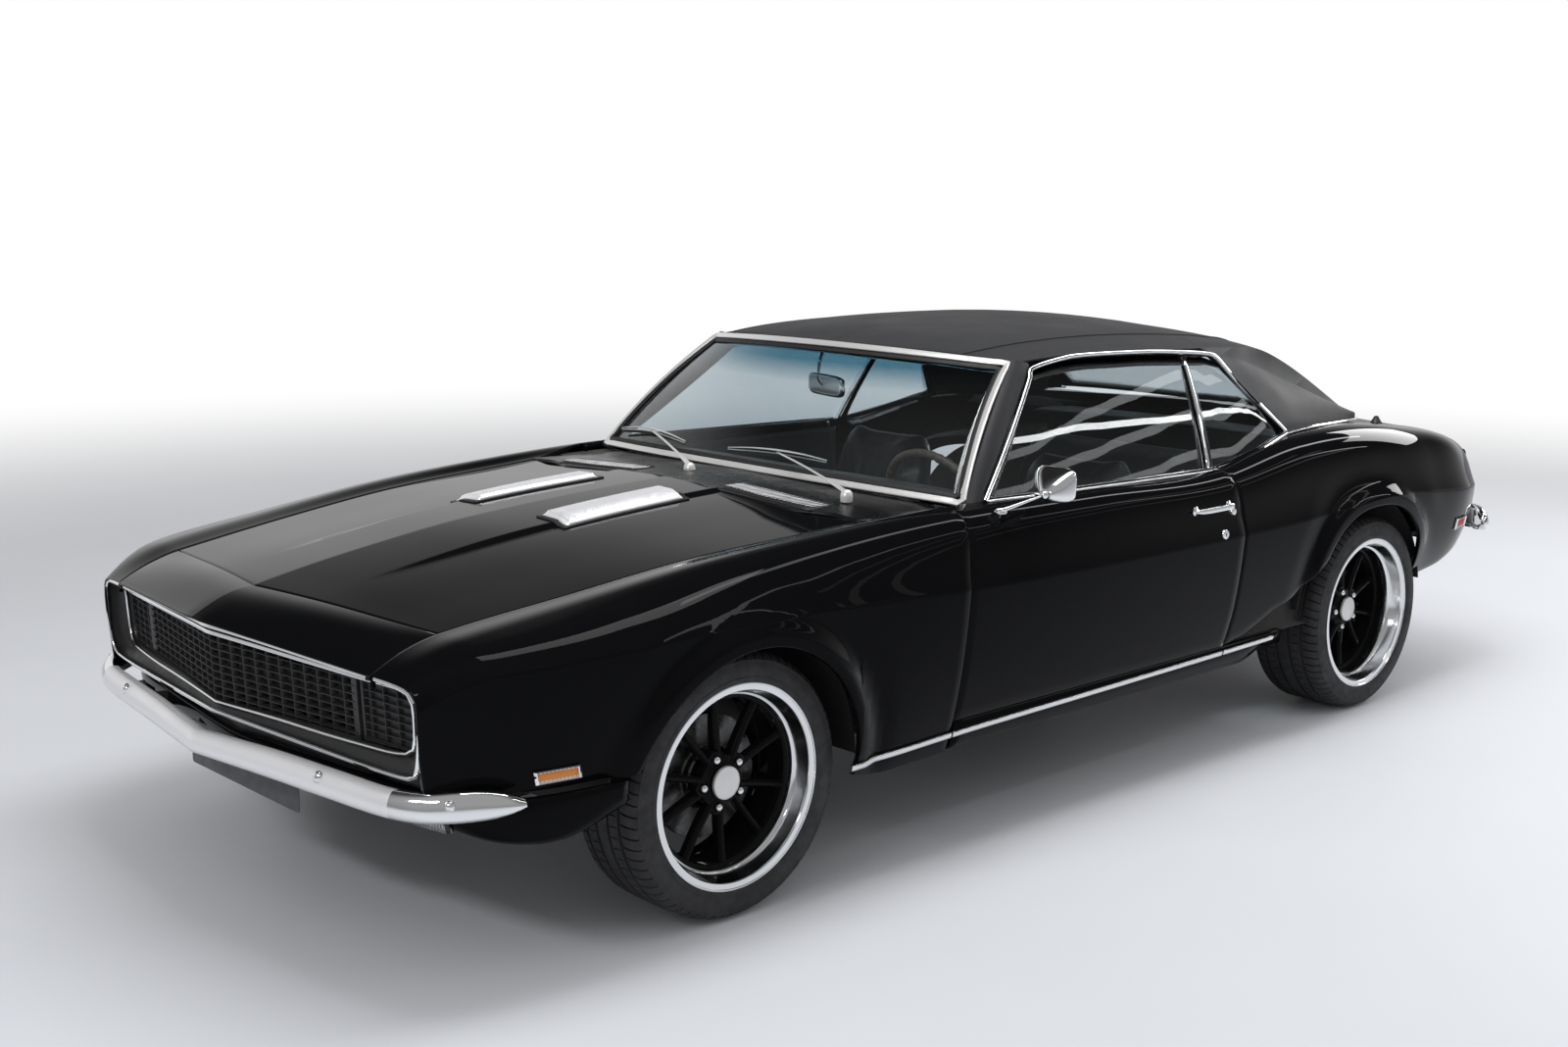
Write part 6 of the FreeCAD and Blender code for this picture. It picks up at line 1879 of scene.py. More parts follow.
# %% Chrome mouldings
OUTER_LOOP = array([(2.298, 0, .693), (2.277, .15, .689), (2.252, .35, .682), (2.229, .55, .675),
    (2.212, .685, .6705), (2.206, .722, .662), (2.203, .738, .643), (2.202, .743, .613),
    (2.201, .74, .565), (2.2, .732, .515), (2.198, .719, .487), (2.199, .699, .474), (2.214, .6, .473),
    (2.232, .45, .476), (2.257, .25, .482), (2.29, 0, .491)])
INNER_LOOP = array([(2.29, 0, .675), (2.27, .15, .672), (2.245, .35, .668), (2.22, .53, .664),
    (2.197, .642, .66), (2.184, .668, .651), (2.177, .679, .632), (2.174, .682, .6), (2.172, .68, .562),
    (2.171, .675, .532), (2.174, .659, .514), (2.188, .615, .509), (2.206, .53, .51), (2.228, .4, .511),
    (2.25, .22, .511), (2.276, 0, .506)])


def whole_loop(half, count):
    """A closed loop from its left half, with a real corner where the V's two sides meet."""
    left = curve_points(half, count)
    return concatenate([left, left[-2:0:-1] * [1, -1, 1]])


def loop_moulding(name, half, profile, count=60):
    """A bright moulding round a loop."""
    loop = whole_loop(half, count)
    out = loop - [2.06, 0, .585]
    ups = out / np.linalg.norm(out * [1.6, .35, 1.4], axis=1)[:, None] * [1.6, .35, 1.4]
    return crease_shading(sweep(name, loop, profile, closed=True, ups=ups), 50)


outer_moulding = loop_moulding("outer_moulding", OUTER_LOOP, box_profile(.01, .007, .0028))
piece(outer_moulding, "body", chrome)
inner_moulding = loop_moulding("inner_moulding", INNER_LOOP, box_profile(.01, .0065, .0028))
piece(inner_moulding, "body", chrome)
outer, inner = whole_loop(OUTER_LOOP, 60), whole_loop(INNER_LOOP, 60)
back = inner + [-.034, 0, 0]
band = grid("grille_band",
    concatenate([stack([outer - [.004, 0, 0], inner * .5 + outer * .5 - [.014, 0, 0],
    inner - [.007, 0, 0], back], 0)]), wrap=True)
thicken(recalculate(band), .0015)
piece(band, "body", plastic)
low = curve_points(OUTER_LOOP[10:], 30)
low = concatenate([low, low[-2::-1] * [1, -1, 1]])
chin = grid("chin_panel", array([low - [.002, 0, .001], low - [.016, 0, .012], low - [.05, 0, .022],
    low * [1, 1.02, 0] + [-.08, 0, .424], low * [1, 1.02, 0] + [-.09, 0, .37]]))
thicken(outward(chin, (2.3, 0, .2)), .0015)
piece(chin, "body", underbody)
print("mouldings:", len(outer), "points round")

# %% [markdown]
# ### Grille
# The grille is a moulded egg crate: long horizontal bars that stick out in front of the upright
# ones. Each bar is swept along the V. Behind the bars lies a black sheet of painted shade, which
# stands for the dark space in front of the radiator.

# %% Grille
BAR_PITCH, POST_PITCH = .0178, .0426
GRILLE_END, COVER_NEAR, COVER_FAR = .497, .505, .676


def grille_x(y, z):
    """The front of the grille's bars."""
    lean = interp(z, [.5, .68], [-.01, 0])
    return 2.283 - NOSE_SWEEP * np.abs(y) / NOSE_HALF + lean


def grille_top(y):
    """The grille's upper edge."""
    return interp(np.abs(y), [0, .545, .69], [.672, .661, .655])


def grille_bottom(y):
    """The grille's lower edge."""
    return interp(np.abs(y), [0, .25, .56, .7], [.509, .514, .513, .514])


def bar_strip(name, y_line, z_line, deep, tall, back=0.0):
    """A bar with a rounded nose along a line of y and z, deep towards the rear."""
    x_line = grille_x(y_line, z_line) - back
    path = xyz(x_line, y_line, z_line)
    nose = [(-tall * .5, 0), (-tall * .3, tall * .35), (tall * .3, tall * .35), (tall * .5, 0)]
    rows = []
    for p in path:
        rows.append([(p[0] + b - .002, p[1], p[2] + a) for a, b in nose]
            + [(p[0] - deep, p[1], p[2] + tall * .35), (p[0] - deep, p[1], p[2] - tall * .35)])
    return recalculate(grid(name, rows, wrap=True))


def upright(y, low, high, deep, wide, back):
    """An upright bar at a place y."""
    z = linspace(low, high, 5)
    x = grille_x(y, z) - back
    rows = []
    for px, pz in zip(x, z):
        rows.append([(px - deep, y - wide / 2, pz), (px - .001, y - wide / 2, pz),
            (px, y - wide / 4, pz), (px, y + wide / 4, pz), (px - .001, y + wide / 2, pz),
            (px - deep, y + wide / 2, pz)])
    return recalculate(grid("upright", rows, wrap=True))


def crate(name, y_low, y_high, deep=.02):
    """An egg crate between two places across the car."""
    parts = []
    keel = [0.0] if y_low < 0 < y_high else []
    y = np.unique(concatenate([linspace(y_low, y_high, 13), keel]))
    for k in range(-20, 21):
        z = .588 + (k + .5) * BAR_PITCH - .006 * np.abs(y) / .55
        inside = (z > grille_bottom(y) + .004) & (z < grille_top(y) - .004)
        if inside.any():
            parts.append(bar_strip("bar", y[inside], z[inside], deep, .0024))
    places = POST_PITCH * (np.arange(-18, 19) + .5)
    for place in places:
        if y_low + .01 < place < y_high - .01:
            parts.append(upright(place, grille_bottom(place), grille_top(place), deep - .002, .0024,
                .0018))
    return join(name, parts)


centre = crate("crate", .022 - GRILLE_END, GRILLE_END - .022)
POST = GRILLE_END - .011
posts = [upright(s * POST, grille_bottom(POST), grille_top(POST), .024, .021, -.001) for s in (1, -1)]
notches = []
for s in (1, -1):
    for k in range(9):
        notches.append(bar_strip("notch", array([s * (GRILLE_END - .021), s * GRILLE_END]),
            np.full(2, .5225 + k * BAR_PITCH), .01, .004, -.003))
y = linspace(-GRILLE_END, GRILLE_END, 27)
edges = [bar_strip("edge", y, z, .022, .004) for z in (grille_top(y) + .002, grille_bottom(y) - .002)]
grille = crease_shading(join("grille_crate", [centre, *posts, *notches, *edges]), 40)
piece(grille, "body", plastic, ["grille"])
# painted shade: a black sheet behind the bars for the dark space before the radiator
y = linspace(-GRILLE_END, GRILLE_END, 31)
backing = grid("grille_backing", [xyz(grille_x(y, z) - .03, y, z)
                                  for z in (grille_bottom(y) - .006, grille_top(y) + .006)])
thicken(backing, .0015)
piece(backing, "body", seal)
print("grille faces:", len(grille.data.polygons))

# %% [markdown]
# ### Headlamp covers and headlamps
# Each cover carries the same egg crate on a black plate, so the grille looks unbroken when the
# covers are shut. A round sealed lamp stands behind each one.

# %% Headlamp covers and headlamps
def cover_mesh():
    """The left headlamp cover."""
    crate_part = crate("crate", COVER_NEAR, COVER_FAR - .006, .01)
    y = linspace(COVER_NEAR, COVER_FAR - .01, 9)
    rim = [bar_strip("rim", y, grille_top(y) - .001, .012, .004),
           bar_strip("rim", y, grille_bottom(y) + .002, .012, .004),
           upright(COVER_NEAR + .004, .513, .661, .02, .009, 0)]
    y = linspace(COVER_NEAR, COVER_FAR - .004, 9)
    plate_rows = [xyz(grille_x(y, np.full(9, z)) - .011, y, clip(z, grille_bottom(y), grille_top(y)))
                  for z in linspace(.512, .664, 6)]
    sheet = thicken(grid("cover_plate", plate_rows), .003)
    return crease_shading(join("cover", [crate_part, *rim, sheet]), 40)


cover = cover_mesh()
other = mirrored(cover, "headlamp_cover_right")
cover.name = "headlamp_cover_left"
piece(cover, "headlamp_door_left", plastic, ["headlamp_door_left"])
piece(other, "headlamp_door_right", plastic, ["headlamp_door_right"])
for label, side in SIDES:
    shell = [(0, -.05), (.03, -.046), (.041, -.03), (.049, .006), (.052, .01), (.054, .016),
        (.051, .02)]
    lens = [(.05, .016), (.042, .023), (.026, .028), (.011, .0305), (0, .031)]
    spot = (2.098, side * .626, .575)
    lamp = lathe("headlamp_bowl_" + label, shell, spot, "X", 48)
    piece(lamp, "body", chrome, ["headlamps"] if side > 0 else ())
    piece(lathe("headlamp_lens_" + label, lens, spot, "X", 48), "body", lens_clear)
print("headlamps and covers")

# %% [markdown]
# ### Front bumper
# The bumper is a single pressed blade. Its section bulges forward, with both long edges rolled
# back. The middle is brushed satin up to a faint line near each corner and polished chrome from
# there round to the tips. Two dome-head bolts hold each half.

# %% Front bumper
BUMPER_LINE = array([(2.33, 0), (2.318, .1), (2.293, .3), (2.268, .5), (2.24, .66), (2.208, .745),
                     (2.162, .796), (2.108, .832), (2.06, .851), (2.025, .858)])
BUMPER_MIDDLE_Z = array([.424, .426, .429, .428, .424, .425, .429, .431, .429, .426])
BUMPER_TALL = array([.05, .052, .056, .056, .055, .058, .062, .058, .042, .014])


def blade_section(count=9):
    """The blade's section as (out, up) shares: up from -1 to 1 and a hook back at both edges."""
    turn = linspace(-1, 1, count)
    face = [(.0115 * (1 - t ** 2) ** .8 if abs(t) < 1 else 0, t) for t in turn]
    low = [(-.024, -.93), (-.018, -1.0), (-.008, -1.04)]
    high = [(-.008, 1.04), (-.018, 1.0), (-.024, .93)]
    inner = [(-.022, .86), (-.008, .9), (.001, .8), (.005, 0), (.001, -.8), (-.008, -.9), (-.022, -.86)]
    return array(low + face + high + inner)


def blade(name, line, middle_z, tall, lean=0.0):
    """A bumper blade along a plan line, mirrored at the middle."""
    section = blade_section()
    path = curve_points(column_stack([line, middle_z, tall]), 70)
    path = concatenate([path[:0:-1] * [1, -1, 1, 1], path])
    along = np.gradient(path[:, :2], axis=0)
    along[len(path) // 2] = (0, 1)
    out = stack([along[:, 1], -along[:, 0]], -1)
    out /= np.linalg.norm(out, axis=1)[:, None]
    rows = []
    for p, o in zip(path, out):
        thin = min(1, p[3] / .05)
        reach = section[:, 0] * thin + lean * (1 - section[:, 1]) * .5
        rows.append(xyz(p[0] + o[0] * reach, p[1] + o[1] * reach, p[2] + section[:, 1] * p[3] / 2))
    n = len(section)
    rows = array(rows)
    faces = grid_faces(len(rows), n, 0, wrap=True) + [tuple(range(n))[::-1],
        tuple(range((len(rows) - 1) * n, len(rows) * n))]
    return crease_shading(recalculate(mesh_object(name, rows.reshape(-1, 3), faces)), 50)


bumper = blade("front_bumper_blade", BUMPER_LINE, BUMPER_MIDDLE_Z, BUMPER_TALL, .01)
bumper.data.materials.append(bumper_satin)
bumper.data.materials.append(chrome)
per_column = len(blade_section())
for face in bumper.data.polygons:
    column = min(face.vertices) // per_column
    face.material_index = int(abs(bumper.data.vertices[column * per_column].co.y) > .668)
piece(bumper, "body", None, ["front_bumper"])


def dome_bolt(name, spot, aim, radius=.013):
    """A dome-head bolt that looks along a direction."""
    section = [(radius, 0), (radius, .002), (radius * .94, .0035), (radius * .9, .003),
        (radius * .82, .005), (radius * .5, .0075), (0, .0085)]
    bolt = lathe(name, section, (0, 0, 0), "Z", 28)
    turn = Vector((0, 0, 1)).rotation_difference(Vector(aim))
    bolt.data.transform(Matrix.Translation(spot) @ turn.to_matrix().to_4x4())
    return crease_shading(bolt, 35)


bolts = []
for side in (1, -1):
    bolts.append(dome_bolt("bolt", (2.2835, side * .47, .442), (1, side * .14, .35), .0135))
    bolts.append(dome_bolt("bolt", (2.1735, side * .8065, .438), (.62, side * .76, .3), .011))
piece(join("bumper_bolts", bolts), "body", chrome)
irons = []
for side in (1, -1):
    line = curve_points([(2.262, side * .47, .415), (2.2, side * .47, .4), (2.1, side * .46, .395),
        (1.98, side * .46, .395)], 14)
    irons.append(sweep("iron", line, box_profile(.008, .04, .002), up=(0, 0, 1)))
piece(join("bumper_irons", irons), "body", underbody)
print("front bumper: %d faces" % len(bumper.data.polygons))

# %% [markdown]
# ### Turn lamps, side markers and number plate
# The turn lamps hang under the bumper in dark frames with clear lenses. The front side markers are
# amber and the rear ones red, each in a bright bevelled bezel. The number plate is left blank.

# %% Turn lamps, side markers and number plate
def ribbed_lens(name, corners, out, ribs=10, deep=.003):
    """A fluted lens inside four corners: lower rear, lower front, upper front, upper rear."""
    a, b, c, d = (array(p, float) for p in corners)
    rows = []
    for t in linspace(0, 1, 5):
        line = []
        for k, s in enumerate(linspace(0, 1, ribs * 4 + 1)):
            here = (a * (1 - s) + b * s) * (1 - t) + (d * (1 - s) + c * s) * t
            flute = .5 - .5 * math.cos(2 * pi * k / 4)
            line.append(here + array(out) * deep * (flute * .5 + (1 if 0 < t < 1 else .2)))
        rows.append(line)
    return thicken(outward(grid(name, rows), tuple(a - array(out) * .5)), .003)


def bezel(name, corners, out, wide=.008, tall=.007):
    """A bevelled frame round four corners."""
    corners = array(corners, float)
    middle = corners.mean(0)
    grow = array([(c - middle) / np.linalg.norm(c - middle) for c in corners])
    out = array(out)
    rings = [corners + grow * wide, corners + grow * wide + out * tall * .55,
             corners + grow * wide * .45 + out * tall, corners + grow * wide * .1 + out * tall * .9,
             corners - grow * .001 + out * tall * .1]
    return crease_shading(recalculate(grid(name, rings, wrap=True)), 20)


def marker(label, x, z, half_long, half_tall, slant):
    """A side marker on the body side."""
    corners = []
    for sx, sz in ((-1, -1), (1, -1), (1, 1), (-1, 1)):
        px, pz = x + sx * half_long + slant * sz, z + sz * half_tall
        corners.append(side_at(px, pz, .002))
    out = np.cross(array(corners[1]) - corners[0], array(corners[3]) - corners[0])
    out = out / np.linalg.norm(out) * (1 if out[1] > 0 else -1)
    return (bezel(label + "_bezel", corners, out), ribbed_lens(label + "_lens", corners, out),
            plate_between(label + "_back", corners, out, .0015))


def plate_between(name, corners, out, lift):
    """A flat backing inside four corners."""
    rows = array(corners, float) + array(out) * lift
    return thicken(mesh_object(name, rows, [(0, 1, 2, 3)], smooth=False), .0012)


for end, x, z, half_long, half_tall, slant, lens in (("front", 1.937, .466, .046, .013, .004,
        lens_amber), ("rear", -1.925, .552, .04, .017, 0, lens_red)):
    parts = marker(end + "_marker", x, z, half_long, half_tall, slant)
    for made, material, slot_name in zip(parts, (chrome, lens, satin), ("chrome_trim", "marker_glass",
            "chrome_trim")):
        both_sides(made, made.name + "_{}", "body", material, None)
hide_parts("side_lamps")

for label, side in SIDES:
    y_in, y_out = side * .63, side * .722
    corners = [(2.158, y_in, .35), (2.128, y_out, .344), (2.138, y_out, .386), (2.168, y_in, .388)]
    out = (.93, side * .35, 0)
    lens_obj = ribbed_lens("turn_lens_" + label, corners if side < 0 else [corners[1], corners[0],
        corners[3], corners[2]], out, 12, .004)
    piece(lens_obj, "body", lens_clear)
    rows = array(corners)
    box_rows = [rows + [.001, 0, 0], rows + [-.006, 0, 0], rows + [-.03, -side * .006, 0]]
    shell = recalculate(grid("turn_shell_" + label, box_rows, wrap=True))
    piece(thicken(shell, .002), "body", plastic)
    piece(plate_between("turn_back_" + label, rows, (-1, 0, 0), .012), "body", satin)

plate_parts = [(2.214, .345, .52, .055, 1, "front"), (-2.304, .444, .32, .048, -1, "rear")]
for x, z, wide, half, ahead, end in plate_parts:
    corners = [(-wide / 2, -half), (wide / 2, -half), (wide / 2, half), (-wide / 2, half)]
    outline = []
    for (a, b), turn in zip(corners, (180, 270, 0, 90)):
        for step in (0, 30, 60, 90):
            angle = radians(turn + step)
            outline.append((a - math.copysign(.008, a) + .008 * math.cos(angle),
                z + b - math.copysign(.008, b) + .008 * math.sin(angle)))
    made = plate("number_plate_" + end, outline, .0025, ("Y", "Z"), x + ahead * .002, .0008)
    piece(made, "body", plate_grey if end == "front" else satin, ["number_plates"] if end == "front"
        else ())
print("lamps, markers and plates")

# %% [markdown]
# ## Outside trim
# The trim is small but it catches the eye: a bright strip along each sill, door handles and locks,
# one long-armed mirror on the driver's door, two wipers and a stub for the aerial. Strips are swept
# along the body's own surface, so they follow its curve, and round parts are turned.

# %% Sill strips, handles and locks
def sill_strip(first, last):
    """A piece of the bright strip along the left sill."""
    x = linspace(first, last, max(6, int(abs(first - last) / .04)))
    z = interp(x, [-.76, 1.1], [.3295, .307])
    path = stack([side_at(a, max(b, .3), .0045) for a, b in zip(x, z)])
    path[:, 2] = z
    out = np.tile((0, .35, 1.0), (len(path), 1))
    return sweep("strip", path, box_profile(.011, .017, .0045), ups=out)


strip = crease_shading(join("sill_strip", [sill_strip(1.094, .7175), sill_strip(.7115, -.4835),
    sill_strip(-.4895, -.76)]), 50)
both_sides(strip, "sill_strip_{}", "body", chrome, None)


def door_handle():
    """A bright bar on two feet, with a push button behind it."""
    x = linspace(-.288, -.478, 15)
    base = stack([side_at(a, .776) for a in x])
    bow = np.sin(linspace(0, pi, 15)) ** .35
    bar_path = base + xyz(0 * x, .012 + .014 * bow, .001 * bow)
    size_along = interp(linspace(0, 1, 15), [0, .06, .12, .85, 1], [.35, .8, 1, 1.15, .8])
    parts = [sweep("bar", bar_path, box_profile(.016, .009, .004), up=(0, 1, 0), scale=size_along)]
    for at in (1, 13):
        foot = base[at]
        parts.append(lathe("foot", [(.0, -.004), (.013, -.004), (.0135, .002), (.009, .006),
            (.0065, .016), (.0, .018)], foot, "Y", 24))
    parts.append(lathe("button", [(0, -.004), (.0105, -.004), (.011, .016), (.0095, .019), (0, .02)],
                       side_at(-.468, .759), "Y", 24))
    return crease_shading(join("handle", parts), 40)


both_sides(door_handle(), "door_handle_{}", "door_{}", chrome, None)
lock_body = lathe("lock", [(0, -.004), (.0145, -.004), (.0148, .002), (.013, .0045), (.0085, .005),
    (.008, .0035), (.0, .0035)], side_at(-.437, .694), "Y", 28)
both_sides(crease_shading(lock_body, 40), "door_lock_{}", "door_{}", chrome, None)
slot_obj = plate("slot", [(-.4375 - .001, .694 - .0045), (-.4365, .694 - .0045), (-.4365, .694 + .0045),
    (-.4385, .694 + .0045)], .002, ("X", "Z"), side_at(-.437, .694)[1] + .0036)
both_sides(slot_obj, "lock_slot_{}", "door_{}", seal, None)
aerial_spot = side_points(array(-1.66), array(2.55))
aerial = lathe("aerial_base", [(0, -.004), (.02, -.004), (.021, .001), (.018, .006), (.0105, .017),
    (.0075, .024), (0, .026)], aerial_spot, "Z", 32)
piece(crease_shading(aerial, 50), "body", plastic)
print("strips, handles, locks and the aerial base")

# %% [markdown]
# ### Door mirror
# Only the driver's door has a mirror. Its shell is a soft rectangle at the glass that tapers to a
# ball joint in front, on a long tapering arm.

# %% Door mirror
MIRROR_MIDDLE = array([.38, .911, .93])
MIRROR_JOINT = array([.446, .928, .91])


def soft_rectangle(half_wide, half_tall, power, count=48):
    """An outline between an oval and a rectangle."""
    turn = linspace(0, 2 * pi, count, endpoint=False)
    c, s = np.cos(turn), np.sin(turn)
    return stack([half_wide * np.sign(c) * np.abs(c) ** (2 / power),
                  half_tall * np.sign(s) * np.abs(s) ** (2 / power)], -1)


rings = []
for share, grow, power in ((-.06, .93, 4.5), (-.07, .97, 4.5), (-.05, .995, 4.5), (0, 1, 4.5),
        (.1, .985, 4.2), (.3, .9, 3.6), (.55, .74, 3.0), (.78, .52, 2.5), (.93, .32, 2.2),
        (1.0, .18, 2.0)):
    outline = soft_rectangle(.067 * grow, .044 * grow, power)
    middle = MIRROR_MIDDLE + (MIRROR_JOINT - MIRROR_MIDDLE) * share
    rings.append(xyz(middle[0], middle[1] + outline[:, 0], middle[2] + outline[:, 1]))
shell = recalculate(grid("door_mirror_shell", rings, wrap=True))
piece(thicken(shell, .0015), "door_left", chrome, ["door_mirror"])
outline = [(MIRROR_MIDDLE[1] + a, MIRROR_MIDDLE[2] + b)
           for a, b in soft_rectangle(.0625, .0405, 4.5, 40)]
glass_plate = plate("door_mirror_glass", outline, .003, ("Y", "Z"), MIRROR_MIDDLE[0] - .001, .0008)
piece(glass_plate, "door_left", mirror_glass)
arm_line = curve_points([(.54, .846, .866), (.515, .862, .872), (.48, .9, .893),
                         MIRROR_JOINT + [.004, -.002, -.002]], 24)
arm = sweep("arm", arm_line, box_profile(.026, .01, .0045), up=(0, -.35, 1),
            scale=linspace(1.25, .42, 24))
ball = lathe("ball", [(0, -.011), (.006, -.01), (.0105, -.004), (.0115, .001), (.009, .007),
    (.004, .0105), (0, .011)], MIRROR_JOINT, "Z", 20)
collar = lathe("collar", [(0, -.004), (.017, -.004), (.018, 0), (.014, .006), (0, .008)],
    (.528, .853, .866), "Z", 28)
piece(crease_shading(join("door_mirror_arm", [arm, ball, collar]), 50), "door_left", chrome)
print("door mirror")

# %% [markdown]
# ### Wipers
# Both wipers park with their blades low on the glass. An arm has a thick hinged head on its
# spindle, a thin steel blade and a bright carrier that holds a strip of rubber.

# %% Wipers
WIPERS = [("right", (.79, -.07, .893), (.572, -.505, .938), (.551, -.675, .9215), (.599, -.314, .921)),
          ("left", (.775, .541, .89), (.598, .088, .937), (.612, -.105, .926), (.59, .28, .928))]
for label, spindle, joint, tip_a, tip_b in WIPERS:
    spindle, joint, tip_a, tip_b = (array(p, float) for p in (spindle, joint, tip_a, tip_b))
    toward = joint - spindle
    knee = spindle + toward * .2 + [0, 0, .014]
    line = curve_points([spindle + [0, 0, .012], knee, spindle + toward * .6 + [0, 0, .012],
        joint + [0, 0, .004]], 26)
    arm = sweep("arm", line, box_profile(.015, .005, .002), up=(0, 0, 1),
        scale=interp(linspace(0, 1, 26), [0, .2, .24, 1], [1.1, 1, .62, .5]))
    cap = lathe("cap", [(0, -.012), (.016, -.012), (.0165, .004), (.014, .014), (.009, .019),
        (0, .021)], spindle, "Z", 28)
    ends = curve_points([tip_a + [0, 0, .01], (tip_a + joint) / 2 + [0, 0, .013], joint + [0, 0, .01],
        (tip_b + joint) / 2 + [0, 0, .013], tip_b + [0, 0, .01]], 30)
    carrier = sweep("carrier", ends, box_profile(.01, .004, .0015), up=(0, 0, 1),
        scale=interp(linspace(0, 1, 30), [0, .5, 1], [.55, 1, .55]))
    rail = sweep("rail", curve_points([tip_a + [.001, 0, .005], joint + [.001, 0, .0],
        tip_b + [.001, 0, .005]], 24), box_profile(.006, .002, .0008), up=(0, 0, 1))
    piece(crease_shading(join("wiper_arm_" + label, [arm, cap, carrier, rail]), 50), "body", satin,
          ["wipers"] if label == "left" else ())
    strip = sweep("wiper_rubber_" + label, curve_points([tip_a, joint - [0, 0, .005], tip_b], 24),
        box_profile(.004, .009, .001), up=(0, 0, 1))
    piece(strip, "body", seal)
print("wipers: 2")

# %% [markdown]
# ## Cabin
# The cabin is all black, so its shapes are read from highlights: a padded dashboard, a thin
# steering wheel with a gripped rim, two bucket seats and a rear bench with sewn channels. The
# interior mirror is framed in bright metal.

# %% Dashboard and mirror
def dash_section(y):
    """The dashboard's section at a place across the car: (x, z) from the firewall to the knee edge."""
    pod = .03 * float(ease(.62, .52, abs(y)) * (1 - .35 * ease(-.1, .12, -y + .1)))
    return [(.742, .7), (.742, .846), (.64, .866), (.52, .868), (.43, .864 + pod * .3),
        (.372, .858 + pod * .35), (.345, .846 + pod * .2), (.334, .826), (.338, .806), (.352, .792),
        (.368, .786), (.372, .74), (.366, .716), (.35, .708), (.344, .694), (.356, .676), (.4, .65),
        (.52, .64)]


dash_places = linspace(-.615, .615, 41)
dash = recalculate(grid("dashboard_pad", [[(x, y, z) for x, z in dash_section(y)] for y in dash_places],
    wrap=True))
piece(crease_shading(dash, 50), "body", trim_vinyl, ["dashboard"])
for index, y in enumerate((.245, .505)):
    ring = lathe("ring", [(.052, .004), (.056, -.004), (.06, -.01), (.063, -.006), (.063, .012)],
        (.366, y, .762), "X", 40)
    piece(ring, "body", chrome).name = "dial_ring_%d" % (index + 1)
    face = lathe("dial_face_%d" % (index + 1), [(0, .002), (.053, .002), (.053, .012)], (.366, y, .762),
        "X", 40)
    piece(face, "body", plastic)
column = lathe("column", [(0, -.02), (.02, -.02), (.026, .06), (.03, .17), (.03, .34), (0, .36)],
    (0, 0, 0), "Z", 32)
WHEEL_AXIS = array([-math.cos(radians(24)), 0, math.sin(radians(24))])
WHEEL_MIDDLE = array([.175, .375, .792]) - .055 * WHEEL_AXIS
turn = Vector((0, 0, 1)).rotation_difference(Vector(-WHEEL_AXIS))
column.data.transform(Matrix.Translation(Vector(WHEEL_MIDDLE - .03 * WHEEL_AXIS))
    @ turn.to_matrix().to_4x4())
column.name = "steering_column"
piece(column, "body", trim_vinyl)

mirror_turn = radians(15)
tangent = array([math.sin(mirror_turn), math.cos(mirror_turn), 0])
facing = array([math.cos(mirror_turn), -math.sin(mirror_turn), .1])
CABIN_MIRROR = array([.322, 0, 1.105])


def mirror_ring(half_wide, half_tall, forward):
    """A soft rectangle across the cabin, on the mirror's own plane."""
    outline = soft_rectangle(half_wide, half_tall, 5, 40)
    return (CABIN_MIRROR + outline[:, :1] * tangent + outline[:, 1:] * array([0, 0, 1])
            + facing * forward)


rings = [mirror_ring(.092, .026, -.008), mirror_ring(.097, .03, -.009), mirror_ring(.099, .0315, -.004),
    mirror_ring(.098, .031, .003), mirror_ring(.093, .0275, .007), mirror_ring(.089, .024, .0065)]
piece(recalculate(grid("cabin_mirror_frame", rings, wrap=True)), "body", chrome, ["cabin_mirror"])
inner = [mirror_ring(.089, .024, .006), mirror_ring(.08, .018, .01), mirror_ring(.04, .009, .0115),
    mirror_ring(.001, .001, .012)]
piece(recalculate(grid("cabin_mirror_back", inner, wrap=True)), "body", satin)
outline_rows = [mirror_ring(.092, .026, -.0075), mirror_ring(.001, .001, -.0075)]
piece(recalculate(grid("cabin_mirror_glass", outline_rows, wrap=True)), "body", mirror_glass)
stalk_line = curve_points([CABIN_MIRROR + facing * .008, CABIN_MIRROR + [.03, 0, .022],
                           CABIN_MIRROR + [.024, 0, .075], (.325, 0, 1.222)], 18)
stalk = sweep("cabin_mirror_stalk", stalk_line, ring_profile(.005, 10))
piece(stalk, "body", chrome)
print("dashboard, column and cabin mirror")

# %% Steering wheel
def wheel_rim():
    """The rim, with finger grips all round its rear face."""
    rows = []
    for turn_at in linspace(0, 2 * pi, 241)[:-1]:
        grip = 1 + .15 * math.cos(turn_at * 40)
        row = []
        for around in linspace(0, 2 * pi, 12, endpoint=False):
            radius = .0125 * (grip if math.cos(around) < .6 else 1.0)
            flat = .188 + radius * math.cos(around)
            row.append((flat * math.cos(turn_at), flat * math.sin(turn_at), radius * math.sin(around)))
        rows.append(row)
    rows.append(rows[0])
    return recalculate(grid("rim", rows, wrap=True))


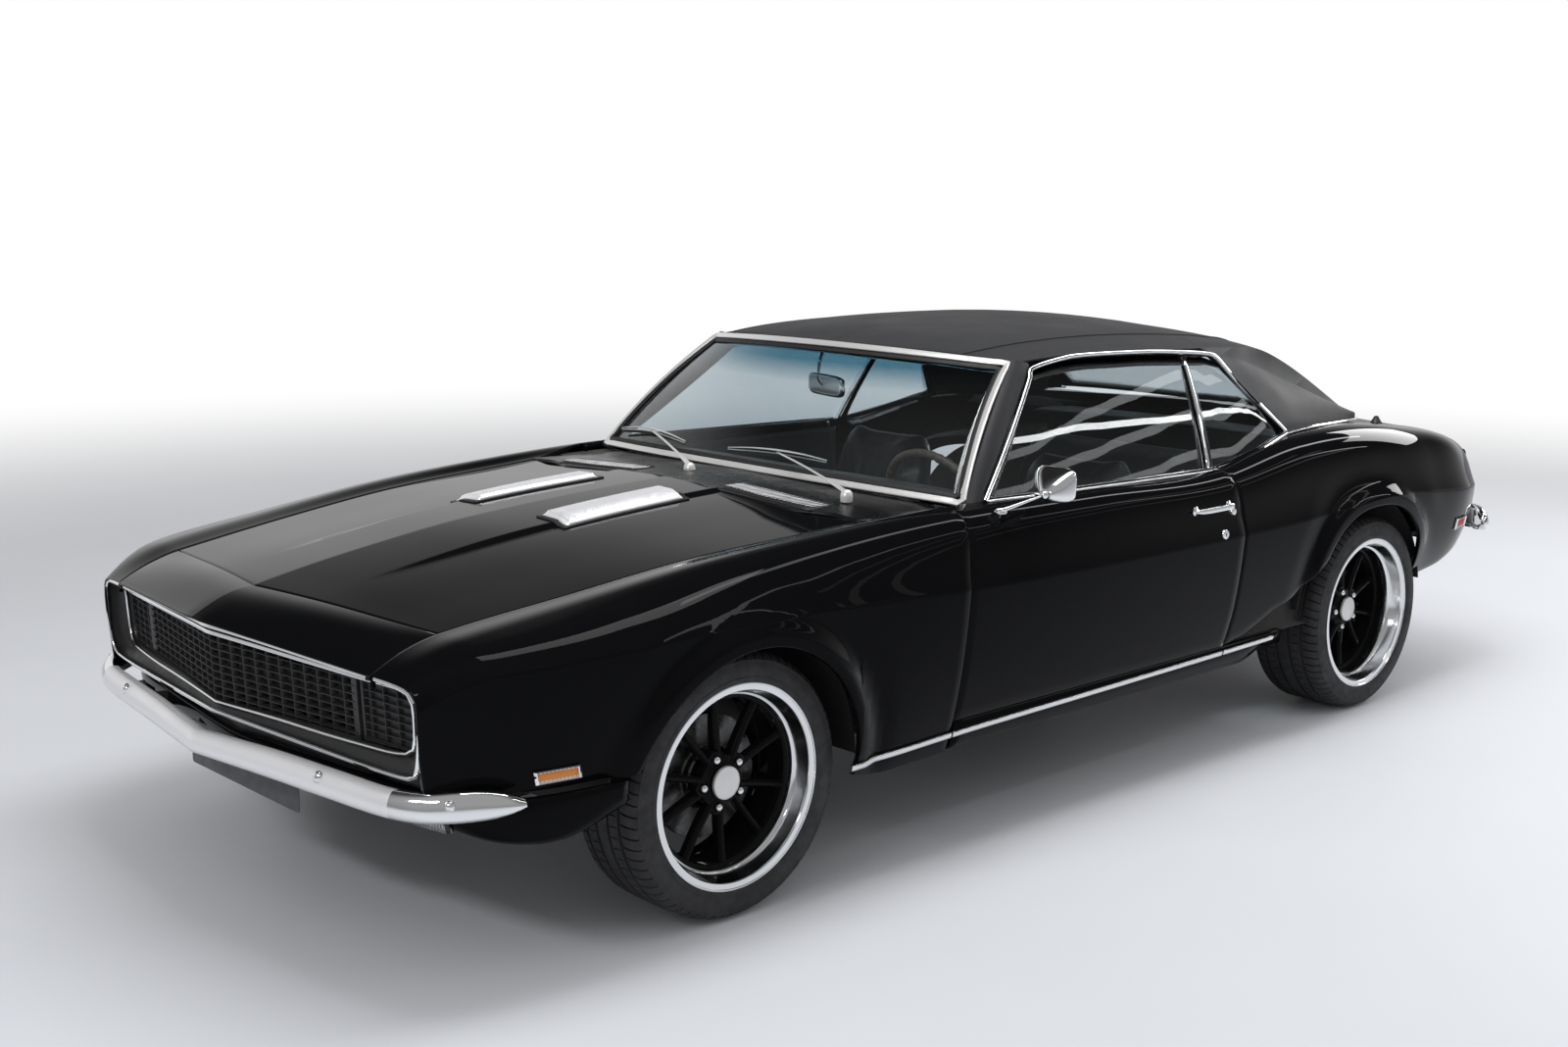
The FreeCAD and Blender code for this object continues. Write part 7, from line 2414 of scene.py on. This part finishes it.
parts = []
for angle in (0, 180, 270):
    a = radians(angle)
    line = [(r * math.cos(a), r * math.sin(a), z) for r, z in ((.03, -.022), (.07, -.02), (.12, -.012),
        (.182, -.001))]
    parts.append(sweep("spoke", curve_points(line, 14), box_profile(.03, .004, .0018), up=(0, 0, 1),
        scale=linspace(1.2, .62, 14)))
parts.append(lathe("hub", [(0, .012), (.028, .01), (.04, .002), (.046, -.01), (.048, -.03),
    (.036, -.036), (.022, -.08), (0, -.082)], (0, 0, 0), "Z", 40))
steering = join("steering_wheel_spokes", parts)
rim = wheel_rim()
rim.name = rim.data.name = "steering_wheel_rim"
up_axis = Vector(WHEEL_AXIS)
side_axis = Vector((0, 1, 0))
lift_axis = up_axis.cross(side_axis)
place = Matrix((side_axis, -lift_axis, up_axis)).transposed().to_4x4()
place = Matrix.Translation(Vector(WHEEL_MIDDLE)) @ place
for made, material, nodes in ((steering, trim_vinyl, ["steering_wheel"]), (rim, rim_brown, ())):
    made.data.transform(place)
    if place.determinant() < 0:
        made.data.flip_normals()
    piece(crease_shading(made, 40), "steering_wheel", material, nodes)
print("steering wheel: %d faces" % (len(steering.data.polygons) + len(rim.data.polygons)))

# %% [markdown]
# ### Seats
# A seat pad is foam in a tight cover, so its faces crown and its sides pull in between the corners.
# A block with rounded corners is the start. It is remeshed evenly and blown up a little as cloth,
# with a cap on how far any point may go, and the sewn channels are pressed in afterwards along the
# pad's own length.

# %% Padding
def pad_start(name, rows, voxel=.014):
    """A closed block through rings of points, remeshed evenly."""
    obj = grid(name, rows, wrap=True)
    n = len(rows[0])
    bm = bmesh.new()
    bm.from_mesh(obj.data)
    bmesh.ops.holes_fill(bm, edges=[e for e in bm.edges if e.is_boundary], sides=n + 2)
    bmesh.ops.recalc_face_normals(bm, faces=bm.faces)
    bm.to_mesh(obj.data)
    bm.free()
    remesh = obj.modifiers.new("even", "REMESH")
    remesh.mode, remesh.voxel_size, remesh.use_smooth_shade = "VOXEL", voxel, True
    return apply_modifiers(obj)


def blow_up(obj, cap=.022):
    """Swell a pad as cloth under pressure, with a cap on each point's travel."""
    start = array([v.co for v in obj.data.vertices])
    cloth = obj.modifiers.new("cover", "CLOTH")
    cloth.settings.use_pressure = True
    cloth.settings.uniform_pressure_force = 4.0
    cloth.settings.effector_weights.gravity = 0
    cloth.settings.quality = 4
    cloth.collision_settings.use_collision = False
    scene = bpy.context.scene
    for number in range(1, 21):
        scene.frame_set(number)
    apply_modifiers(obj)
    moved = array([v.co for v in obj.data.vertices]) - start
    length = np.linalg.norm(moved, axis=1)[:, None]
    moved *= np.minimum(1, cap / np.maximum(length, 1e-9))
    obj.data.vertices.foreach_set("co", (start + moved).ravel())
    obj.data.update()
    scene.frame_set(1)
    return obj


def channels(obj, places, half_wide, deep, low, high, up):
    """Press sewn channels in: lines across the car at places y, between low and high along the pad."""
    mesh = obj.data
    co = array([v.co for v in mesh.vertices])
    normals = array([v.normal for v in mesh.vertices])
    along = co @ array(up[1])
    facing_up = clip(normals @ array(up[0]), 0, 1)
    inside = ease(low, low + .03, along) * (1 - ease(high - .03, high, along)) * facing_up
    fall = np.zeros(len(co))
    for place in places:
        fall = np.maximum(fall, np.exp(-((co[:, 1] - place) / half_wide) ** 2))
    co -= normals * (fall * inside * deep)[:, None]
    mesh.vertices.foreach_set("co", co.ravel())
    mesh.update()
    return obj


def pad_rings(line, half_wides, middle_y, thick, soft=5, count=36):
    """Soft rectangles across the car, each square to the pad's line of (x, z)."""
    line = asarray(line, float)
    along = np.gradient(line, axis=0)
    along /= np.linalg.norm(along, axis=1)[:, None]
    rings_made = []
    for p, d, half, t in zip(line, along, half_wides, thick):
        outline = soft_rectangle(half, t / 2, soft, count)
        normal = array([-d[1], d[0]])
        rings_made.append([(p[0] + normal[0] * b, middle_y + a, p[1] + normal[1] * b)
                           for a, b in outline])
    return array(rings_made)


def finish_pad(obj, name, solid=None):
    """Subdivide once, shade, and give a pad its material, body and replaced solid."""
    extra = obj.modifiers.new("fine", "SUBSURF")
    extra.levels = 1
    apply_modifiers(obj)
    crease_shading(obj, 180)
    obj.name = obj.data.name = name
    piece(obj, "body", seat_vinyl, [solid] if solid else ())


print("padding recipe ready")

# %% Front seats
SEAT_Y = .408
SEAT_CHANNELS = SEAT_Y + np.arange(-3, 4) * .047
cushion_line = curve_points([(.185, .425), (.1, .44), (-.05, .432), (-.2, .415), (-.285, .402)], 12)
cushion = pad_start("cushion", pad_rings(cushion_line, interp(linspace(0, 1, 12), [0, .08, .5, 1],
    [.19, .225, .235, .225]), SEAT_Y, interp(linspace(0, 1, 12), [0, .1, .9, 1],
    [.09, .115, .115, .09])))
cushion = blow_up(cushion)
cushion = channels(cushion, SEAT_CHANNELS, .0065, .01, -.23, .13, ((0, 0, 1), (1, 0, 0)))
back_line = curve_points([(-.3, .435), (-.316, .545), (-.34, .68), (-.374, .815), (-.394, .885)], 14)
back_pad = pad_start("back", pad_rings(back_line, interp(linspace(0, 1, 14), [0, .1, .55, .9, 1],
    [.2, .225, .235, .205, .165]), SEAT_Y, interp(linspace(0, 1, 14), [0, .1, .5, .9, 1],
    [.09, .105, .09, .07, .05])))
back_pad = blow_up(back_pad)
back_pad = channels(back_pad, SEAT_CHANNELS, .0065, .01, .5, .86, ((.97, 0, .22), (-.22, 0, .97)))
for made, part, solid in ((cushion, "cushion", "front_seats"), (back_pad, "back", None)):
    right = mirrored(made, "right")
    finish_pad(made, "front_seat_{}_left".format(part), solid)
    finish_pad(right, "front_seat_{}_right".format(part))
for label, side in SIDES:
    frames = []
    for y in (SEAT_Y - .17, SEAT_Y + .17):
        frames.append(sweep("runner", [(.16, side * y, .3), (-.26, side * y, .3)],
                            box_profile(.03, .03, .004)))
        for x, top in ((.1, .385), (-.2, .38)):
            frames.append(sweep("foot", [(x, side * y, .3), (x, side * y, top)],
                                box_profile(.02, .03, .003), up=(1, 0, 0)))
    piece(join("seat_frame_" + label, frames), "body", plastic)
print("front seats: %d faces a cushion" % len(cushion.data.polygons))

# %% Rear bench
BENCH_CHANNELS = np.arange(-8, 9) * .058
bench_line = curve_points([(-.715, .455), (-.8, .478), (-.95, .47), (-1.1, .455), (-1.16, .452)], 10)
bench = pad_start("bench", pad_rings(bench_line, interp(linspace(0, 1, 10), [0, .1, 1], [.5, .53, .53]),
    0, interp(linspace(0, 1, 10), [0, .12, 1], [.1, .13, .12]), 8, 60), .017)
bench = blow_up(bench, cap=.018)
bench = channels(bench, BENCH_CHANNELS, .008, .01, -1.1, -.76, ((0, 0, 1), (1, 0, 0)))
finish_pad(bench, "rear_seat_cushion", "rear_seat")
bench_back_line = curve_points([(-1.155, .5), (-1.2, .6), (-1.26, .72), (-1.3, .795)], 10)
bench_back = pad_start("bench_back", pad_rings(bench_back_line, interp(linspace(0, 1, 10), [0, .5, 1],
    [.52, .53, .5]), 0, interp(linspace(0, 1, 10), [0, .1, .9, 1], [.09, .11, .1, .07]), 8, 60), .017)
bench_back = blow_up(bench_back, cap=.018)
bench_back = channels(bench_back, BENCH_CHANNELS, .008, .01, .56, .76, ((.88, 0, .47), (-.47, 0, .88)))
finish_pad(bench_back, "rear_seat_back")
print("rear bench: %d faces" % len(bench.data.polygons))

# %% [markdown]
# ### Door trims, carpet and rear shelf
# Each door has a padded panel with an armrest and a winder. The carpet is one moulded sheet that
# climbs over the tunnel, and a shelf closes the space between the bench and the rear window.

# %% Door trims, carpet and rear shelf
def door_trim():
    """The left door's inner panel."""
    rows = []
    for z in concatenate([[.345], linspace(.36, .83, 15), [.845]]):
        row = []
        for x in linspace(.545, -.455, 34):
            y = .738 - .006 * math.sin(pi * (z - .345) / .5)
            ledge = float(ease(.5, .53, z) * (1 - ease(.555, .6, z)) * ease(-.42, -.36, x)
                * (1 - ease(.18, .26, x)))
            pleat = .0025 * math.sin(x * 2 * pi / .042) ** 8 * float(ease(.62, .66, z)
                * (1 - ease(.8, .82, z)))
            row.append((x, y - .045 * ledge + pleat, z))
        rows.append(row)
    return thicken(outward(grid("door_trim", rows), (0, 2.0, .6)), .006)


both_sides(door_trim(), "door_trim_{}", "door_{}", trim_vinyl, None)
winder = [lathe("boss", [(0, .004), (.02, .002), (.022, -.008), (.012, -.016), (0, -.018)],
    (.18, .73, .6), "Y", 24), sweep("winder", [(.18, .716, .6), (.1, .712, .585)],
    box_profile(.012, .006, .002), up=(0, 1, 0)), lathe("knob", [(0, .0), (.008, -.002), (.01, -.012),
    (.007, -.022), (0, -.024)], (.1, .712, .585), "Y", 20)]
both_sides(crease_shading(join("winder", winder), 40), "window_winder_{}", "door_{}", chrome, None)


knob = lathe("button", [(0, .026), (.004, .025), (.0055, .02), (.0055, .012), (.003, .008),
    (.003, -.01), (0, -.012)], (-.425, .745, .842), "Z", 16)
both_sides(crease_shading(knob, 40), "lock_button_{}", "door_{}", chrome, None)


def carpet_rows():
    """The carpet from the toe board to the bench, over the tunnel."""
    rows = []
    for x in concatenate([linspace(.74, .6, 6), linspace(.55, -.66, 28), [-.69, -.7]]):
        row = []
        for y in linspace(-.7, .7, 57):
            tunnel = .155 * math.exp(-(y / .135) ** 4) * (1 + .25 * float(ease(.2, .7, x)))
            toe = .2 * float(ease(.5, .74, x)) ** 1.3
            row.append((x, y, .279 + tunnel + toe))
        rows.append(row)
    return rows


carpet_obj = outward(grid("cabin_carpet", carpet_rows()), (0, 0, -1))
piece(thicken(carpet_obj, .006), "body", carpet)
shelf_rows = [[(x, y, .868 - .01 * (abs(y) / .56) ** 2 + .004 * math.sin(pi * s))
    for y in linspace(-.56, .56, 25)] for s, x in zip(linspace(0, 1, 10), linspace(-1.33, -1.5, 10))]
piece(thicken(outward(grid("rear_shelf", shelf_rows), (-1.4, 0, 0)), .006), "body", headliner)
lever = [sweep("stick", curve_points([(.18, 0, .45), (.16, 0, .53), (.12, 0, .6)], 12),
    ring_profile(.006, 10)), lathe("knob", [(0, .0), (.012, .003), (.021, .016), (.023, .028),
    (.017, .042), (0, .048)], (.118, 0, .595), "Z", 28), lathe("boot", [(.06, -.012), (.052, .01),
    (.03, .032), (.012, .05), (0, .052)], (.18, 0, .44), "Z", 32)]
piece(crease_shading(join("gear_lever", lever), 50), "body", plastic)
print("door trims, carpet and shelf")

# %% [markdown]
# ## Rear end
# The tail is a flat panel between the ends of the quarters. It carries two wide lamps in bright
# frames on each side, over a chrome bumper that mirrors the front one with softer ends.

# %% Rear bumper and tail lamps
REAR_LINE = array([(2.33, 0), (2.327, .2), (2.319, .4), (2.304, .56), (2.282, .66), (2.25, .745),
    (2.208, .803), (2.16, .838), (2.12, .85)])
rear_bumper = blade("rear_bumper_blade", REAR_LINE, array([.52, .52, .52, .521, .522, .523, .524, .525,
    .526]), array([.086, .086, .086, .087, .089, .09, .085, .064, .018]), .008)
rear_bumper.data.transform(Matrix.Scale(-1, 4, (1, 0, 0)))
rear_bumper.data.flip_normals()
piece(rear_bumper, "body", chrome, ["rear_bumper"])
irons, bolts = [], []
for side in (1, -1):
    line = curve_points([(-2.3, side * .4, .52), (-2.24, side * .4, .515), (-2.12, side * .4, .512)],
        10)
    irons.append(sweep("iron", line, box_profile(.008, .04, .002), up=(0, 0, 1)))
    for y in (.22, .62):
        bolts.append(dome_bolt("bolt", (-2.3205 + (.018 if y > .5 else 0), side * y, .537),
            (-1, side * .05, .2)))
piece(join("rear_bumper_irons", irons), "body", underbody)
piece(join("rear_bumper_bolts", bolts), "body", chrome)


def tail_face_x(y):
    """The tail panel's face."""
    return float(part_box("tail_lamps")[0][0]) + .018 + .012 * (abs(y) / .6) ** 2


for label, side in SIDES:
    for place, y_in, y_out in (("inner", .345, .46), ("outer", .475, .6)):
        corners = [(tail_face_x(y), side * y, z) for y, z in ((y_out, .65), (y_in, .65), (y_in, .722),
            (y_out, .722))]
        out = (-1, 0, 0)
        name = "tail_{}_{}".format(place, label)
        frame_obj = bezel(name + "_frame", corners, out, .007, .016)
        piece(frame_obj, "body", chrome)
        lens = ribbed_lens(name + "_lens", corners, out, 16, .008)
        piece(lens, "body", lens_red, ["tail_lamps"] if name == "tail_inner_left" else ())
        piece(plate_between(name + "_back", corners, out, .0015), "body", satin)
print("rear bumper and four tail lamps")

# %% [markdown]
# ## Underneath
# The parts that no one looks at keep the frame's own shapes, which are already right: floor,
# bulkheads, engine, driveline, axle, tank and exhaust. They only need finishes: satin black paint,
# cast iron, bare steel.

# %% Finishes for the hidden parts
galvanised = patchy(finish("tank_metal", (.05, .05, .052), .45, .5), 30.0, .38, .55)
aluminised = patchy(finish("exhaust_metal", (.16, .155, .15), .4, .9), 18.0, .3, .5)
HIDDEN = {"engine": iron, "driveline": iron, "rear_axle": iron, "fuel_tank": galvanised,
    "exhaust": aluminised, "radiator": plastic, "knuckle_left": iron, "knuckle_right": iron,
    "front_frame": underbody, "floor_pan": underbody, "firewall": underbody, "wheel_houses": underbody,
    "rear_bulkhead": underbody}
for name, material in HIDDEN.items():
    for material_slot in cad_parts[name].material_slots:
        material_slot.material = material
print("hidden parts:", len(HIDDEN))
